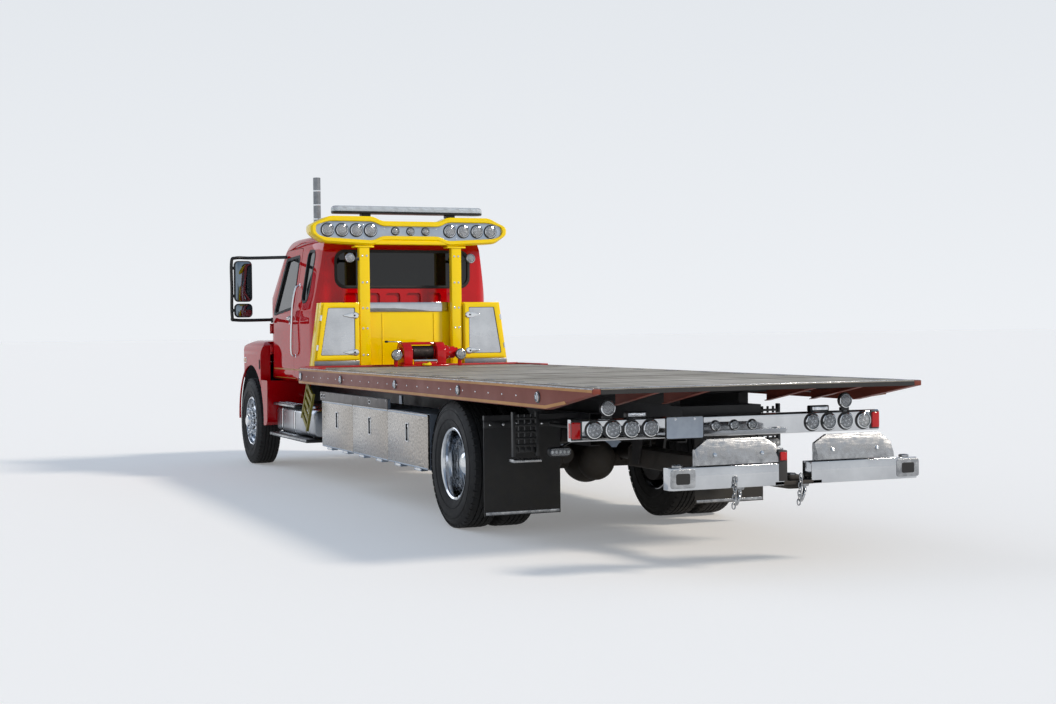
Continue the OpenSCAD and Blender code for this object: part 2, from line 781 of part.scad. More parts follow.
module dashboard() {
    color("#2b2c2f") origin() {
        difference() {
            side_plate([
                [cowl_x - cab_wall - 10, floor_z + 560], [cowl_x - 330, floor_z + 600],
                [cowl_x - 400, floor_z + 760],
                [cowl_x - 340, floor_z + 850], [cowl_x - cab_wall - 10, floor_z + 840]
            ], -cab_w / 2 + 130, cab_w / 2 - 130);
            both_sides() box(cowl_x - 500, door_front + 10, cab_w / 2 - 135, cab_w, floor_z,
                floor_z + 900);
        }
        translate([steer_x, steer_y, steer_z]) rotate([0, 90 + column_tilt, 0]) {
            cylinder(h = 240, r = 32);
            translate([0, 0, -40]) cylinder(h = 50, r = 12);
        }
        box(cowl_x - cab_wall - 10, cowl_x - cab_wall - seat, -400, 400, floor_z + 570, floor_z + 830);
    }
}

module steering_wheel() {
    color("#1c1c1e") origin() translate([steer_x, steer_y, steer_z]) rotate([0, 90 + column_tilt, 0]) {
        translate([0, 0, -34]) rotate_extrude($fn = 72) translate([215, 0]) circle(r = 15, $fn = 24);
        difference() {
            translate([0, 0, -44]) cylinder(h = 38, r = 48);
            translate([0, 0, -60]) cylinder(h = 80, r = 12 + fit);
        }
        for (a = [30, 150, 270])
            rotate([0, 0, a]) translate([46, -14, -42]) cube([158, 28, 14]);
    }
}

mast_x = cab_x + 720;
mast_y = cab_w / 2 - 260;

module roof_mast() {
    color("#9a9b9d") origin() {
        z0 = roof_z - 30;
        rod_z(mast_x, mast_y, z0 + 60, z0 + 640, 42);
        difference() {
            rod_z(mast_x, mast_y, z0 - 90, z0 + 70, 80);
            cab_solid(-seat);
        }
        rod_x(mast_x - 210, mast_x + 330, mast_y, z0 + 84, 44);
    }
}

// ---------- hood ----------

function bonnet_side(g) = [
    [cowl_x + 14, floor_z - 300], [cowl_x + 14, floor_z + 830 - g], [wheel_base + 150, floor_z + 690 - g],
    [hood_front - 130 - g, floor_z + 560 - g], [hood_front - 30 - g, floor_z + 430 - g],
    [hood_front - g, floor_z + 200], [hood_front - g, hood_pivot_z + 20]
];

function bonnet_end_half(g) = [
    [0, hood_pivot_z - 100], [760 - g, hood_pivot_z - 100], [760 - g, floor_z + 420 - g],
    [620 - g, floor_z + 600 - g],
    [430 - g * 0.6, floor_z + 760 - g], [0, floor_z + 850 - g]
];

function fender_side(g) = [
    [skirt_x + 30 + g, axle_z - 20], [skirt_x + g, floor_z + 60],
    [wheel_base - arch_r - 40 + g, floor_z + 330 - g * 0.7], [wheel_base - 420, floor_z + 455 - g],
    [wheel_base + 100, floor_z + 470 - g], [wheel_base + 480, floor_z + 400 - g],
    [hood_front - 90 - g, floor_z + 240 - g * 0.6],
    [hood_front - 60 - g, hood_pivot_z + 20], [wheel_base + 200, axle_z - 20]
];

fender_y1 = fender_w / 2;
fender_y0 = 700;

module fender_solid(g) {
    intersection() {
        side_plate(fender_side(g), fender_y0 - 60, fender_y1 - g);
        floor_plate([
            [wheel_base - 1200, fender_y0 - 60 - g], [wheel_base - 1200, fender_y1 - g],
            [wheel_base + 430, fender_y1 - g],
            [hood_front - 60 - g, fender_y1 - 230 - g], [hood_front - g, fender_y0 - 60 - g]
        ], 0, roof_z);
        end_plate([
            [fender_y0 - 70, 0], [fender_y1 - g, 0], [fender_y1 - g, floor_z + 330 - g],
            [fender_y1 - 50 - g, floor_z + 430 - g],
            [fender_y1 - 150 - g, floor_z + 480 - g], [fender_y0 - 70, floor_z + 500 - g]
        ], wheel_base - 1300, wheel_base + 1300);
    }
}

module bonnet_solid(g) {
    intersection() {
        side_plate(bonnet_side(g), -760 + g, 760 - g);
        end_plate(both_x(bonnet_end_half(g)), cowl_x, front_x + 100);
    }
}

hood_wall = 25;

module arch_cut() {
    both_sides() {
        rod_y(wheel_base, 560, fender_w, axle_z + 40, arch_r);
        box(wheel_base - arch_r, wheel_base + arch_r, 560, fender_w, -10, axle_z + 40);
    }
}

grille_y = 430;
grille_z0 = hood_pivot_z + 60;
grille_z1 = floor_z + 400;
lamp_y0 = 700;
lamp_y1 = 1000;
lamp_z0 = floor_z - 40;
lamp_z1 = floor_z + 190;

module hood() {
    color("#d4000f") origin() {
        difference() {
            union() {
                bonnet_solid(0);
                both_sides() fender_solid(0);
            }
            difference() {
                bonnet_solid(hood_wall);
                box(hood_front - hood_wall - e, hood_front + 100, -2000, 2000, 0, grille_z0 - 30);
            }
            both_sides() fender_solid(hood_wall);
            arch_cut();
            box(cowl_x - 600, front_x + 200, -570, 570, -10, hood_pivot_z + 20);
            box(cowl_x - 900, cowl_x + 14, -cab_w / 2 - 8, cab_w / 2 + 8, 0, roof_z);
            box(cowl_x - 900, door_front + 30, -fender_w, fender_w, 0, roof_z);
            box(hood_front - 200, hood_front + 100, -grille_y, grille_y, grille_z0, grille_z1);
            both_sides() box(hood_front - 260, hood_front + 100, lamp_y0, lamp_y1, lamp_z0, lamp_z1);
        }
        hood_hinge_knuckles();
    }
}

// Fixed panels under the doors that carry the fender line back behind the wheels
module cab_skirts() {
    color("#d4000f") origin() {
        difference() {
            both_sides() fender_solid(0);
            both_sides() fender_solid(hood_wall);
            arch_cut();
            box(cowl_x - 900, front_x, -fender_w, fender_w, floor_z - 6, roof_z);
            box(door_front + 10, front_x + 100, -fender_w, fender_w, 0, roof_z);
        }
        both_sides()
            box(skirt_x + 25, skirt_x + 65, rail_y1 + seat, fender_y0 + 40, frame_bottom + 20,
                frame_bottom + 80);
    }
}

hood_hinge_y = 560;
hood_pivot_x = hood_front + 14;
hood_hinge_len = 110;

module at_hood_hinges() {
    for (y = [hood_hinge_y, -hood_hinge_y - hood_hinge_len])
        translate([hood_pivot_x, y + hood_hinge_len, hood_pivot_z]) rotate([90, 0, 0]) children();
}

module hood_hinge_knuckles() {
    at_hood_hinges() difference() {
        union() {
            hinge_knuckle(hood_hinge_len);
            translate([-knuckle_r - 30, 0, ear_len + hinge_gap])
                cube([knuckle_r + 30, knuckle_r, hood_hinge_len - 2 * (ear_len + hinge_gap)]);
            translate([-knuckle_r - 30, 0, ear_len + hinge_gap])
                cube([17, 60, hood_hinge_len - 2 * (ear_len + hinge_gap)]);
        }
        cylinder(h = hood_hinge_len, r = hinge_r + fit);
    }
}

module grille() {
    color("#8d9094") origin() {
        difference() {
            box(hood_front - 60, hood_front - 20, -grille_y + seat, grille_y - seat, grille_z0 + seat,
                grille_z1 - seat);
            for (i = [-4 : 4])
                box(hood_front - 45, hood_front, i * 92 - 30, i * 92 + 30, grille_z0 + 40, grille_z1 - 40);
        }
        both_sides() box(hood_front - 180, hood_front - 90, lamp_y0 + seat, lamp_y1 - seat,
            lamp_z0 + seat, lamp_z1 - seat);
    }
}

// ---------- tilt frame, cylinders and deck ----------

cyl_y = rail_y1 + 110;
cyl_pin_r = 20;
cyl_base_x = 2500;
cyl_base_z = frame_bottom - 20;
cyl_eye_x = 1200;
cyl_eye_z = frame_top + 15;
cyl_angle = atan2(cyl_eye_z - cyl_base_z, cyl_base_x - cyl_eye_x);
cyl_len = sqrt(pow(cyl_base_x - cyl_eye_x, 2) + pow(cyl_eye_z - cyl_base_z, 2));
boom_pivot_x = -1150;
boom_pivot_z = frame_bottom - 90;
boom_half_w = 85;
boom_pin_r = 22;

module tilt_frame() {
    color("#1d1d1f") origin() {
        both_sides() {
            difference() {
                union() {
                    box(tilt_rear, tilt_front, tilt_w / 2 - tilt_rail, tilt_w / 2, tilt_bottom, tilt_top);
                    side_plate([
                        [pivot_x - 130, tilt_bottom + e], [pivot_x - 60, pivot_z - 50],
                        [pivot_x + 60, pivot_z - 50],
                        [pivot_x + 130, tilt_bottom + e]
                    ], tilt_w / 2 - 40, tilt_w / 2);
                }
                rod_y(pivot_x, 0, tilt_w, pivot_z, pivot_r + fit);
            }
            // ear for the tilt cylinder's rod, outside the frame rail
            box(cyl_eye_x - 60, cyl_eye_x + 60, tilt_w / 2 - e, cyl_y - 32, frame_top + 12, tilt_top - 2);
            for (y = [cyl_y - 46, cyl_y + 32])
                box(cyl_eye_x - 45, cyl_eye_x + 45, y, y + 14, cyl_eye_z - 45, tilt_top - 2);
            box(cyl_eye_x - 45, cyl_eye_x + 45, cyl_y - 46, cyl_y + 46, tilt_top - 10, tilt_top - 2);
            // hangers of the underlift boom
            side_plate([
                [boom_pivot_x - 160, tilt_bottom + 40], [boom_pivot_x - 45, boom_pivot_z - 45],
                [boom_pivot_x + 45, boom_pivot_z - 45], [boom_pivot_x + 60, tilt_bottom + 40]
            ], boom_half_w + 8, boom_half_w + 28);
        }
        for (x = [boom_pivot_x - 50, 400, 1700, 3000, tilt_front - 60, -1700])
            box(x - 40, x + 40, -tilt_w / 2 + tilt_rail - e, tilt_w / 2 - tilt_rail + e,
                tilt_bottom + 10, tilt_bottom + 90);
        rod_y(boom_pivot_x, -boom_half_w - 28, boom_half_w + 28, boom_pivot_z, boom_pin_r);
        box(tilt_rear - 20, tilt_rear, -tilt_w / 2, tilt_w / 2, tilt_bottom, tilt_top);
    }
}

bar_z0 = frame_top - 108;
bar_z1 = frame_top + 42;
bar_half = 1240;

module tail_lamp_bar() {
    color("#c2c4c6") origin() {
        box(lamp_bar_x - 60, lamp_bar_x, -bar_half, bar_half, bar_z0, bar_z1);
        both_sides() box(lamp_bar_x, tilt_rear - 20 - seat, 150, 230, bar_z0 + 30, bar_z1 - 20);
    }
}

taper_x = -deck_tail + 760;

function rail_outline() = [
    [-deck_tail, deck_z], [-deck_tail, deck_z - lip_t], [taper_x, deck_z - side_rail_h],
    [deck_front, deck_z - side_rail_h], [deck_front, deck_z]
];

module side_rails() {
    color("#7a4a44") origin() both_sides()
        side_plate(rail_outline(), deck_w / 2 - side_rail_t, deck_w / 2);
}

deck_pitch = 620;

module deck() {
    color("#a5a39b") origin() {
        half = deck_w / 2 - side_rail_t;
        box(-deck_tail, deck_front, -half, half, deck_z - plate_t, deck_z);
        box(-deck_tail + 10, winch_x - 200, -half + 10, half - 10, deck_z - e, deck_z + wear_t);
        for (x = [taper_x + 60 : deck_pitch : deck_front - 100])
            box(x, x + 50, -half, half, deck_z - plate_t - cross_h, deck_z - plate_t + e);
        box(deck_front - 50, deck_front, -half, half, deck_z - plate_t - cross_h, deck_z - plate_t + e);
        for (y = [-700, 0, 700])
            side_plate([
                [-deck_tail + 20, deck_z - plate_t + e], [-deck_tail + 20, deck_z - lip_t],
                [taper_x + 60, deck_z - plate_t - cross_h], [taper_x + 60, deck_z - plate_t + e]
            ], y - 8, y + 8);
        box(-deck_tail, -deck_tail + 22, -half, half, deck_z - lip_t, deck_z - plate_t + e);
        both_sides()
            box(taper_x, deck_front, tilt_w / 2 - tilt_rail, tilt_w / 2, sill_bottom,
                deck_z - plate_t - cross_h + e);
    }
}

// ---------- headboard, pylon and winch ----------

board_x = deck_front + seat;
board_depth = 180;
cabinet_top = deck_z + cabinet_h;
cabinet_y0 = 605;
cabinet_y1 = 1125;
cabinet_lean = 95;
post_y0 = 475;
post_y1 = 590;
post_top = deck_z + post_h;
pylon_h = 340;
cabinet_wall = 30;
kick_h = 75;

// Face of a cabinet, moved in by g all round and by out more at its outer side
function cabinet_outline(g, out = 0) = [
    [cabinet_y0 + g, deck_z + kick_h + g],
    [cabinet_y1 - g - out - cabinet_lean * kick_h / cabinet_h, deck_z + kick_h + g],
    [cabinet_y1 - cabinet_lean - g - out, cabinet_top - g],
    [cabinet_y0 + g, cabinet_top - g]
];

function pylon_outline(s, drop) = both_x([
    [0, post_top + pylon_h - 70 - s], [330, post_top + pylon_h - 70 - s],
    [430, post_top + pylon_h - 20 - s],
    [pylon_w / 2 - 210, post_top + pylon_h - 20 - s], [pylon_w / 2 - s, post_top + pylon_h - 120],
    [pylon_w / 2 - s, post_top + 130], [pylon_w / 2 - 150, post_top + 30 + s],
    [430, post_top + drop + s], [330, post_top + 50 + s], [0, post_top + 50 + s]
]);

module headboard() {
    color("#ffd400") origin() {
        both_sides() {
            difference() {
                end_plate([
                    [cabinet_y0, deck_z + seat], [cabinet_y1, deck_z + seat],
                    [cabinet_y1 - cabinet_lean, cabinet_top],
                    [cabinet_y0, cabinet_top]
                ], board_x, board_x + board_depth);
                end_plate(cabinet_outline(cabinet_wall), board_x - e, board_x + board_depth - 14);
                at_cabinet_hinges() hinge_room(cabinet_hinge_len);
            }
            at_cabinet_hinges() {
                hinge_pin(cabinet_hinge_len);
                for (z = [0, cabinet_hinge_len - ear_len])
                    translate([0, -6, z]) cube([knuckle_r + 8, 16, ear_len]);
            }
            box(board_x + 20, board_x + 100, post_y0, post_y1, deck_z + seat, post_top);
            box(board_x + 100, board_x + board_depth, post_y1 - 14, cabinet_y0, deck_z + seat,
                cabinet_top);
            box(board_x + 10, board_x + 150, post_y0 - 50, post_y1 + 50, post_top - 20, post_top);
        }
        box(board_x + 140, board_x + 158, -cabinet_y0, cabinet_y0, deck_z + seat, cabinet_top);
        // the base that carries it, against the deck's front end
        box(board_x, board_x + board_depth, -cabinet_y1, cabinet_y1, deck_z - 140, deck_z + seat);
        difference() {
            end_plate(pylon_outline(0, 0), board_x + 20, board_x + 220);
            end_plate(pylon_outline(34, 0), board_x, board_x + 45);
        }
    }
}

cabinet_hinge_len = 110;
cabinet_door_t = 18;

module at_cabinet_hinges() {
    lean = atan2(cabinet_lean, cabinet_h);
    for (z = [160, 480])
        translate([board_x - knuckle_r + 2, cabinet_y1 - 10 - cabinet_lean * (z + 40) / cabinet_h,
            deck_z + z])
            rotate([lean, 0, 0]) children();
}

module cabinet_door(side) {
    color("#c8cacc") origin() on_side(side) {
        difference() {
            end_plate(cabinet_outline(8, 14), board_x - cabinet_door_t - seat, board_x - seat);
            at_cabinet_hinges() ear_room(cabinet_hinge_len);
        }
        at_cabinet_hinges() difference() {
            union() {
                hinge_knuckle(cabinet_hinge_len);
                translate([-4, -40, ear_len + hinge_gap])
                    cube([8, 40, cabinet_hinge_len - 2 * (ear_len + hinge_gap)]);
            }
            cylinder(h = cabinet_hinge_len, r = hinge_r + fit);
        }
    }
}

module beacon_bar() {
    color("#c9d0d6") origin() {
        z0 = post_top + pylon_h - 20 + seat;
        translate([0, 0, z0 + 30]) linear_extrude(85)
            polygon(round_rect(board_x + 30, board_x + 210, -870, 870, 80));
        both_sides() box(board_x + 70, board_x + 170, 440, 540, z0, z0 + 31);
    }
}

winch_x = deck_front - 290;
drum_z = deck_z + 150;
drum_r = 55;
drum_half = 130;
drum_pin_r = 20;

module winch_frame() {
    color("#d01018") origin() {
        difference() {
            for (y = [-drum_half - 110, drum_half + 10])
                box(winch_x - 130, winch_x + 130, y, y + 100, deck_z + seat, deck_z + 265);
            rod_y(winch_x, -drum_half - 60, drum_half + 60, drum_z, drum_pin_r + fit);
        }
        box(winch_x - 150, winch_x + 150, -drum_half - 130, drum_half + 130, deck_z + seat, deck_z + 20);
        box(winch_x - 40, winch_x + 120, -drum_half - 20, drum_half + 20, deck_z + 235, deck_z + 265);
        rod_y(winch_x, -drum_half - 290, -drum_half - 110, drum_z, 70);
    }
}

module winch_drum() {
    color("#4a3f3c") origin() {
        rod_y(winch_x, -drum_half - 50, drum_half + 50, drum_z, drum_pin_r);
        rod_y(winch_x, -drum_half + 5, drum_half - 5, drum_z, drum_r);
        both_sides() rod_y(winch_x, drum_half - 12, drum_half, drum_z, 78);
    }
}

// The rod's end sits in the barrel at rest and slides out of it
barrel_len = 860;

module at_cylinders() {
    both_sides() translate([cyl_base_x, cyl_y, cyl_base_z]) rotate([0, cyl_angle - 90, 0]) children();
}

module tilt_barrels() {
    color("#2a2a2c") origin() at_cylinders() difference() {
        union() {
            translate([0, 0, 80]) cylinder(h = barrel_len - 40, r = 48);
            translate([0, 22, 0]) rotate([90, 0, 0]) cylinder(h = 44, r = 34);
            translate([-24, -22, 0]) cube([48, 44, 84]);
        }
        translate([0, 40, 0]) rotate([90, 0, 0]) cylinder(h = 80, r = cyl_pin_r + fit);
        translate([0, 0, 130]) cylinder(h = barrel_len, r = 28 + fit);
    }
}

module tilt_rods() {
    color("#d6d8da") origin() at_cylinders() {
        translate([0, 0, 400]) cylinder(h = cyl_len - 430, r = 28);
        translate([0, 22, cyl_len]) rotate([90, 0, 0]) cylinder(h = 44, r = 36);
        translate([0, 32 - slide_gap, cyl_len]) rotate([90, 0, 0]) cylinder(h = 64 - 2 * slide_gap,
            r = cyl_pin_r);
    }
}

// ---------- underlift ----------

boom_front = boom_pivot_x + 180;
boom_rear = boom_pivot_x - 1450;
boom_z0 = boom_pivot_z - 75;
boom_z1 = boom_pivot_z + 75;
stinger_half_w = 62;
stinger_rear = crossbar_x + 90;
arm_pin_r = 16;

module underlift_boom() {
    color("#232325") origin() difference() {
        box(boom_rear, boom_front, -boom_half_w, boom_half_w, boom_z0, boom_z1);
        box(boom_rear - e, boom_front - 60, -stinger_half_w - 6, stinger_half_w + 6, boom_z0 + 14,
            boom_z1 - 40);
        rod_y(boom_pivot_x, -200, 200, boom_pivot_z, boom_pin_r + fit);
    }
}

module underlift_stinger() {
    color("#303032") origin() {
        box(stinger_rear, boom_rear + stinger_travel + 120, -stinger_half_w, stinger_half_w,
            boom_z0 + 14 + slide_gap, boom_z1 - 46);
        for (z = [boom_z0 + 15, boom_z1 - 76])
            box(crossbar_x - 60, stinger_rear + e, -60, 60, z, z + 30);
        rod_z(crossbar_x, 0, boom_z0 + 15, boom_z1 - 46, 25);
    }
}

module underlift_crossbar() {
    color("#26272a") origin() {
        z0 = boom_z0 + 47;
        z1 = boom_z1 - 78;
        difference() {
            union() {
                rod_z(crossbar_x, 0, z0, z1, 60);
                box(crossbar_x - 100, crossbar_x - 30, -180, 180, z0, z1);
            }
            rod_z(crossbar_x, 0, 0, boom_z1, 25 + fit);
        }
        both_sides() box(crossbar_x - 100, crossbar_x - 30, 150, 750, boom_z1 + 39, boom_z1 + 215);
        both_sides() difference() {
            box(crossbar_x - 100, crossbar_x + 20, 100, crossbar_w / 2, z0, boom_z1 + 40);
            rod_z(crossbar_x - 40, crossbar_w / 2 - 80, 0, boom_z1 + 100, arm_pin_r);
        }
    }
}

// ---------- every sub-part by name ----------

chassis_frame();
front_axle();
rear_axle();
drive_shaft();
engine_block();
front_bumper();
fuel_tanks();
cab_steps();
cab_skirts();
side_boxes();
mudflaps();
box_door(1, 0);  // box_door_left_rear
box_door(1, 1);  // box_door_left_middle
box_door(1, 2);  // box_door_left_front
box_door(-1, 0);  // box_door_right_rear
box_door(-1, 1);  // box_door_right_middle
box_door(-1, 2);  // box_door_right_front
cab_shell();
cab_glass();
seats();
dashboard();
steering_wheel();
roof_mast();
door(1);  // door_left
door(-1);  // door_right
door_glass(1);  // door_glass_left
door_glass(-1);  // door_glass_right
wing_mirror(1);  // mirror_left
wing_mirror(-1);  // mirror_right
hood();
grille();
knuckle(1);  // knuckle_left
knuckle(-1);  // knuckle_right
front_rim(1);  // front_rim_left
front_rim(-1);  // front_rim_right
front_tyre(1);  // front_tyre_left
front_tyre(-1);  // front_tyre_right
rear_rims(1);  // rear_rims_left
rear_rims(-1);  // rear_rims_right
rear_tyres(1);  // rear_tyres_left
rear_tyres(-1);  // rear_tyres_right
tilt_frame();
tail_lamp_bar();
deck();
side_rails();
headboard();
cabinet_door(1);  // cabinet_door_left
cabinet_door(-1);  // cabinet_door_right
beacon_bar();
winch_frame();
winch_drum();
tilt_barrels();
tilt_rods();
underlift_boom();
underlift_stinger();
underlift_crossbar();
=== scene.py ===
"""Looks of a flatbed tow truck: materials, body panels, wheels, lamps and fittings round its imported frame."""

import math

import bmesh
import bpy
from mathutils import Matrix, Vector


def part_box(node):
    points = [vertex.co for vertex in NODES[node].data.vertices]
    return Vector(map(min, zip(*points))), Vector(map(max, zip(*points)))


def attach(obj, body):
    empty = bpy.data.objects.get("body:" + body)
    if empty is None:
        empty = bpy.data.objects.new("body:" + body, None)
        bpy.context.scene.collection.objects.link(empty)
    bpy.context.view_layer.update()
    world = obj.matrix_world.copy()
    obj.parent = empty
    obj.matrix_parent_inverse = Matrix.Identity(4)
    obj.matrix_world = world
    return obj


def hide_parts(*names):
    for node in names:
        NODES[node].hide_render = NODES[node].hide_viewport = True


bl_info = {
    "name": "Flatbed tow truck",
    "version": (1, 0, 0),
    "blender": (4, 5, 0),
    "location": "View3D > Sidebar > Tow truck",
    "description": "Builds the finished surfaces of a flatbed tow truck round its packed frame",
    "category": "Object",
}

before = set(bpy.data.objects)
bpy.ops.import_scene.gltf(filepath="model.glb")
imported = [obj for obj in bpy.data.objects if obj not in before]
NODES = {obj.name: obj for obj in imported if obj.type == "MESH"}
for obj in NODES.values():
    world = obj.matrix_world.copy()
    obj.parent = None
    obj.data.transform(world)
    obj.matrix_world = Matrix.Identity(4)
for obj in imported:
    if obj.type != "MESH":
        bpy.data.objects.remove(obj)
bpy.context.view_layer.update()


def middle(node_name):
    """The middle of a CAD node's box."""
    low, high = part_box(node_name)
    return (low + high) / 2


# Lengths along the truck are metres forward of the rear axle, as a coachbuilder gives them
AXLE_X = middle("rear_tyres_left").x
AXLE_Z = middle("rear_tyres_left").z
WHEEL_BASE = middle("front_tyre_left").x - AXLE_X
RAIL_LOW, RAIL_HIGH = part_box("side_rails")
DECK_Z = RAIL_HIGH.z
DECK_FRONT = RAIL_HIGH.x - AXLE_X
DECK_TAIL = RAIL_LOW.x - AXLE_X
DECK_HALF = RAIL_HIGH.y
CAB_LOW, CAB_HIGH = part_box("cab_shell")
CAB_X = CAB_LOW.x - AXLE_X
COWL_X = CAB_HIGH.x - AXLE_X - 0.01
CAB_HALF = CAB_HIGH.y - 0.016
ROOF_Z = CAB_HIGH.z
FRAME_TOP = CAB_LOW.z - 0.0003
FRAME_BOTTOM = FRAME_TOP - 0.26
# Outer face of a frame rail, where brackets meet it
RAIL_FACE = 0.4303
FLOOR_Z = FRAME_TOP + 0.085
FRONT_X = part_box("front_bumper")[1].x - AXLE_X
DOOR_REAR = CAB_X + 0.85
DOOR_FRONT = CAB_X + 1.9
BELT_Z = FLOOR_Z + 0.8
HEAD_Z = FLOOR_Z + 1.53
# A width past the cab's sides, for cutters
BEYOND = 1.3
# Depth of the cab's shell
CAB_SHELL = 0.05
# Foot of each of a door's two hinges
HINGES_Z = (FLOOR_Z + 0.3, FLOOR_Z + 0.55)
# The hood: half its width, its nose, the radius of its wheel arches and the height of its hinge
HOOD_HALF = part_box("hood")[1].y
NOSE_X = FRONT_X - 0.06
ARCH_R = AXLE_Z + 0.125
HOOD_HINGE_Z = FRAME_BOTTOM + 0.05
SKIRT_X = WHEEL_BASE - ARCH_R - 0.2
# Thickness of the moulded hood and fenders
PANEL = 0.025
SIDES = {"left": 1, "right": -1}


# ---------- sizes and colours that a user would change ----------


class TruckPaint(bpy.types.PropertyGroup):
    """Colours of the painted parts."""

    cab: bpy.props.StringProperty(name="Cab", description="Enamel of the cab and hood", default="#C4000E")
    pylon: bpy.props.StringProperty(name="Pylon", description="Enamel of the headboard", default="#FFDE00")
    rail: bpy.props.StringProperty(name="Rail", description="Enamel of the side rails", default="#7F3C2D")
    stripe: bpy.props.StringProperty(name="Stripe", description="Lines on the rails and cab",
        default="#B97A16")
    deck: bpy.props.StringProperty(name="Deck", description="Worn paint of the deck", default="#9C9486")


class TruckWheels(bpy.types.PropertyGroup):
    """Sizes of the tyres and rims."""

    blocks: bpy.props.IntProperty(name="Tread blocks", description="Blocks round a tyre", default=54, min=20,
        max=90)
    groove: bpy.props.FloatProperty(name="Tread depth", description="Depth of the tread", default=0.014,
        min=0.004, max=0.022, unit="LENGTH")
    studs: bpy.props.IntProperty(name="Studs", description="Wheel nuts on a wheel", default=10, min=5, max=12)


class TruckLamps(bpy.types.PropertyGroup):
    """Sizes of the lamps."""

    large: bpy.props.FloatProperty(name="Large lamp", description="Radius of a large round lamp",
        default=0.066, min=0.03, max=0.09, unit="LENGTH")
    small: bpy.props.FloatProperty(name="Small lamp", description="Radius of a small round lamp",
        default=0.04, min=0.02, max=0.06, unit="LENGTH")


class TruckTrim(bpy.types.PropertyGroup):
    """Size of the winch cable."""

    cable: bpy.props.FloatProperty(name="Winch cable", description="Diameter of the winch cable",
        default=0.011, min=0.006, max=0.016, unit="LENGTH")


# ---------- node and material helpers ----------


def node(tree, kind, inputs=None, **settings):
    """Adds one node, sets its properties, and sets or links its inputs."""
    added = tree.nodes.new(kind)
    for key, value in settings.items():
        setattr(added, key, value)
    for socket, value in (inputs or {}).items():
        if isinstance(value, bpy.types.NodeSocket):
            tree.links.new(value, added.inputs[socket])
        else:
            added.inputs[socket].default_value = value
    return added


def linear(hex_colour):
    """sRGB hex to linear RGBA."""
    out = []
    for i in (1, 3, 5):
        c = int(hex_colour[i : i + 2], 16) / 255
        out.append(c / 12.92 if c <= 0.04045 else ((c + 0.055) / 1.055) ** 2.4)
    return (*out, 1.0)


def blank(name):
    """A material with an empty tree, its tree, and the place on the object that textures read."""
    made = bpy.data.materials.new(name)
    made.use_nodes = True
    made.node_tree.nodes.clear()
    return made, made.node_tree, node(made.node_tree, "ShaderNodeTexCoord").outputs["Object"]


def shaded(tree, inputs):
    """Ends a material's tree in one surface shader."""
    shader = node(tree, "ShaderNodeBsdfPrincipled", inputs)
    node(tree, "ShaderNodeOutputMaterial", {"Surface": shader.outputs[0]})


def noise(tree, where, scale, detail, rough=0.5):
    """A noise texture's grey value."""
    given = {"Vector": where, "Scale": scale, "Detail": detail, "Roughness": rough}
    return node(tree, "ShaderNodeTexNoise", given).outputs["Fac"]


def spread(tree, value, low, high, to_low=0.0, to_high=1.0):
    """Stretches the part of a value between low and high over to_low to to_high."""
    given = {"Value": value, "From Min": low, "From Max": high, "To Min": to_low, "To Max": to_high}
    return node(tree, "ShaderNodeMapRange", given).outputs[0]


def mix(tree, share, first, second):
    """Colour between first and second by share."""
    return node(tree, "ShaderNodeMix", {0: share, 6: first, 7: second}, data_type="RGBA").outputs[2]


def maths(tree, operation, first, second, **settings):
    """Two values put together."""
    return node(tree, "ShaderNodeMath", {0: first, 1: second}, operation=operation, **settings).outputs[0]


def surface(
    name,
    colours,
    rough,
    metallic=0.0,
    patch=0.4,
    grain=None,
    grain_depth=0.0,
    stretch=(1.0, 1.0, 1.0),
    sockets=None,
    low_tone=None,
):
    """A material with colour patches about patch metres across, uneven roughness, and grain.

    colours is two hex values, rough is its least and most, grain is its size in metres, and the last argument
    is (hex, height, amount): below that height the colour turns towards hex and the surface grows rougher.
    """
    made, tree, where = blank(name)
    patches = noise(tree, where, 1 / patch, 5.0, rough=0.6)
    colour = mix(tree, spread(tree, patches, 0.32, 0.68), linear(colours[0]), linear(colours[1]))
    roughness = spread(tree, patches, 0.3, 0.7, *rough)
    if low_tone:
        # below height the colour turns towards tone and the roughness rises, by up to amount, broken by fine
        # noise
        tone, height, amount = low_tone
        z = node(tree, "ShaderNodeSeparateXYZ", {0: where}).outputs[2]
        fine = noise(tree, where, 14.0, 6.0)
        low_share = maths(tree, "MULTIPLY", spread(tree, z, height, height * 0.3, 0.0, amount), fine)
        colour = mix(tree, low_share, colour, linear(tone))
        roughness = maths(tree, "ADD", roughness, low_share, use_clamp=True)
    inputs = {"Base Color": colour, "Roughness": roughness, "Metallic": metallic}
    if grain:
        run = node(tree, "ShaderNodeMapping", {"Vector": where, "Scale": stretch})
        fine = noise(tree, run.outputs[0], 1 / grain, 3.0)
        bump = node(tree, "ShaderNodeBump", {"Strength": 1.0, "Distance": grain_depth, "Height": fine})
        inputs["Normal"] = bump.outputs[0]
    shaded(tree, {**inputs, **(sockets or {})})
    return made


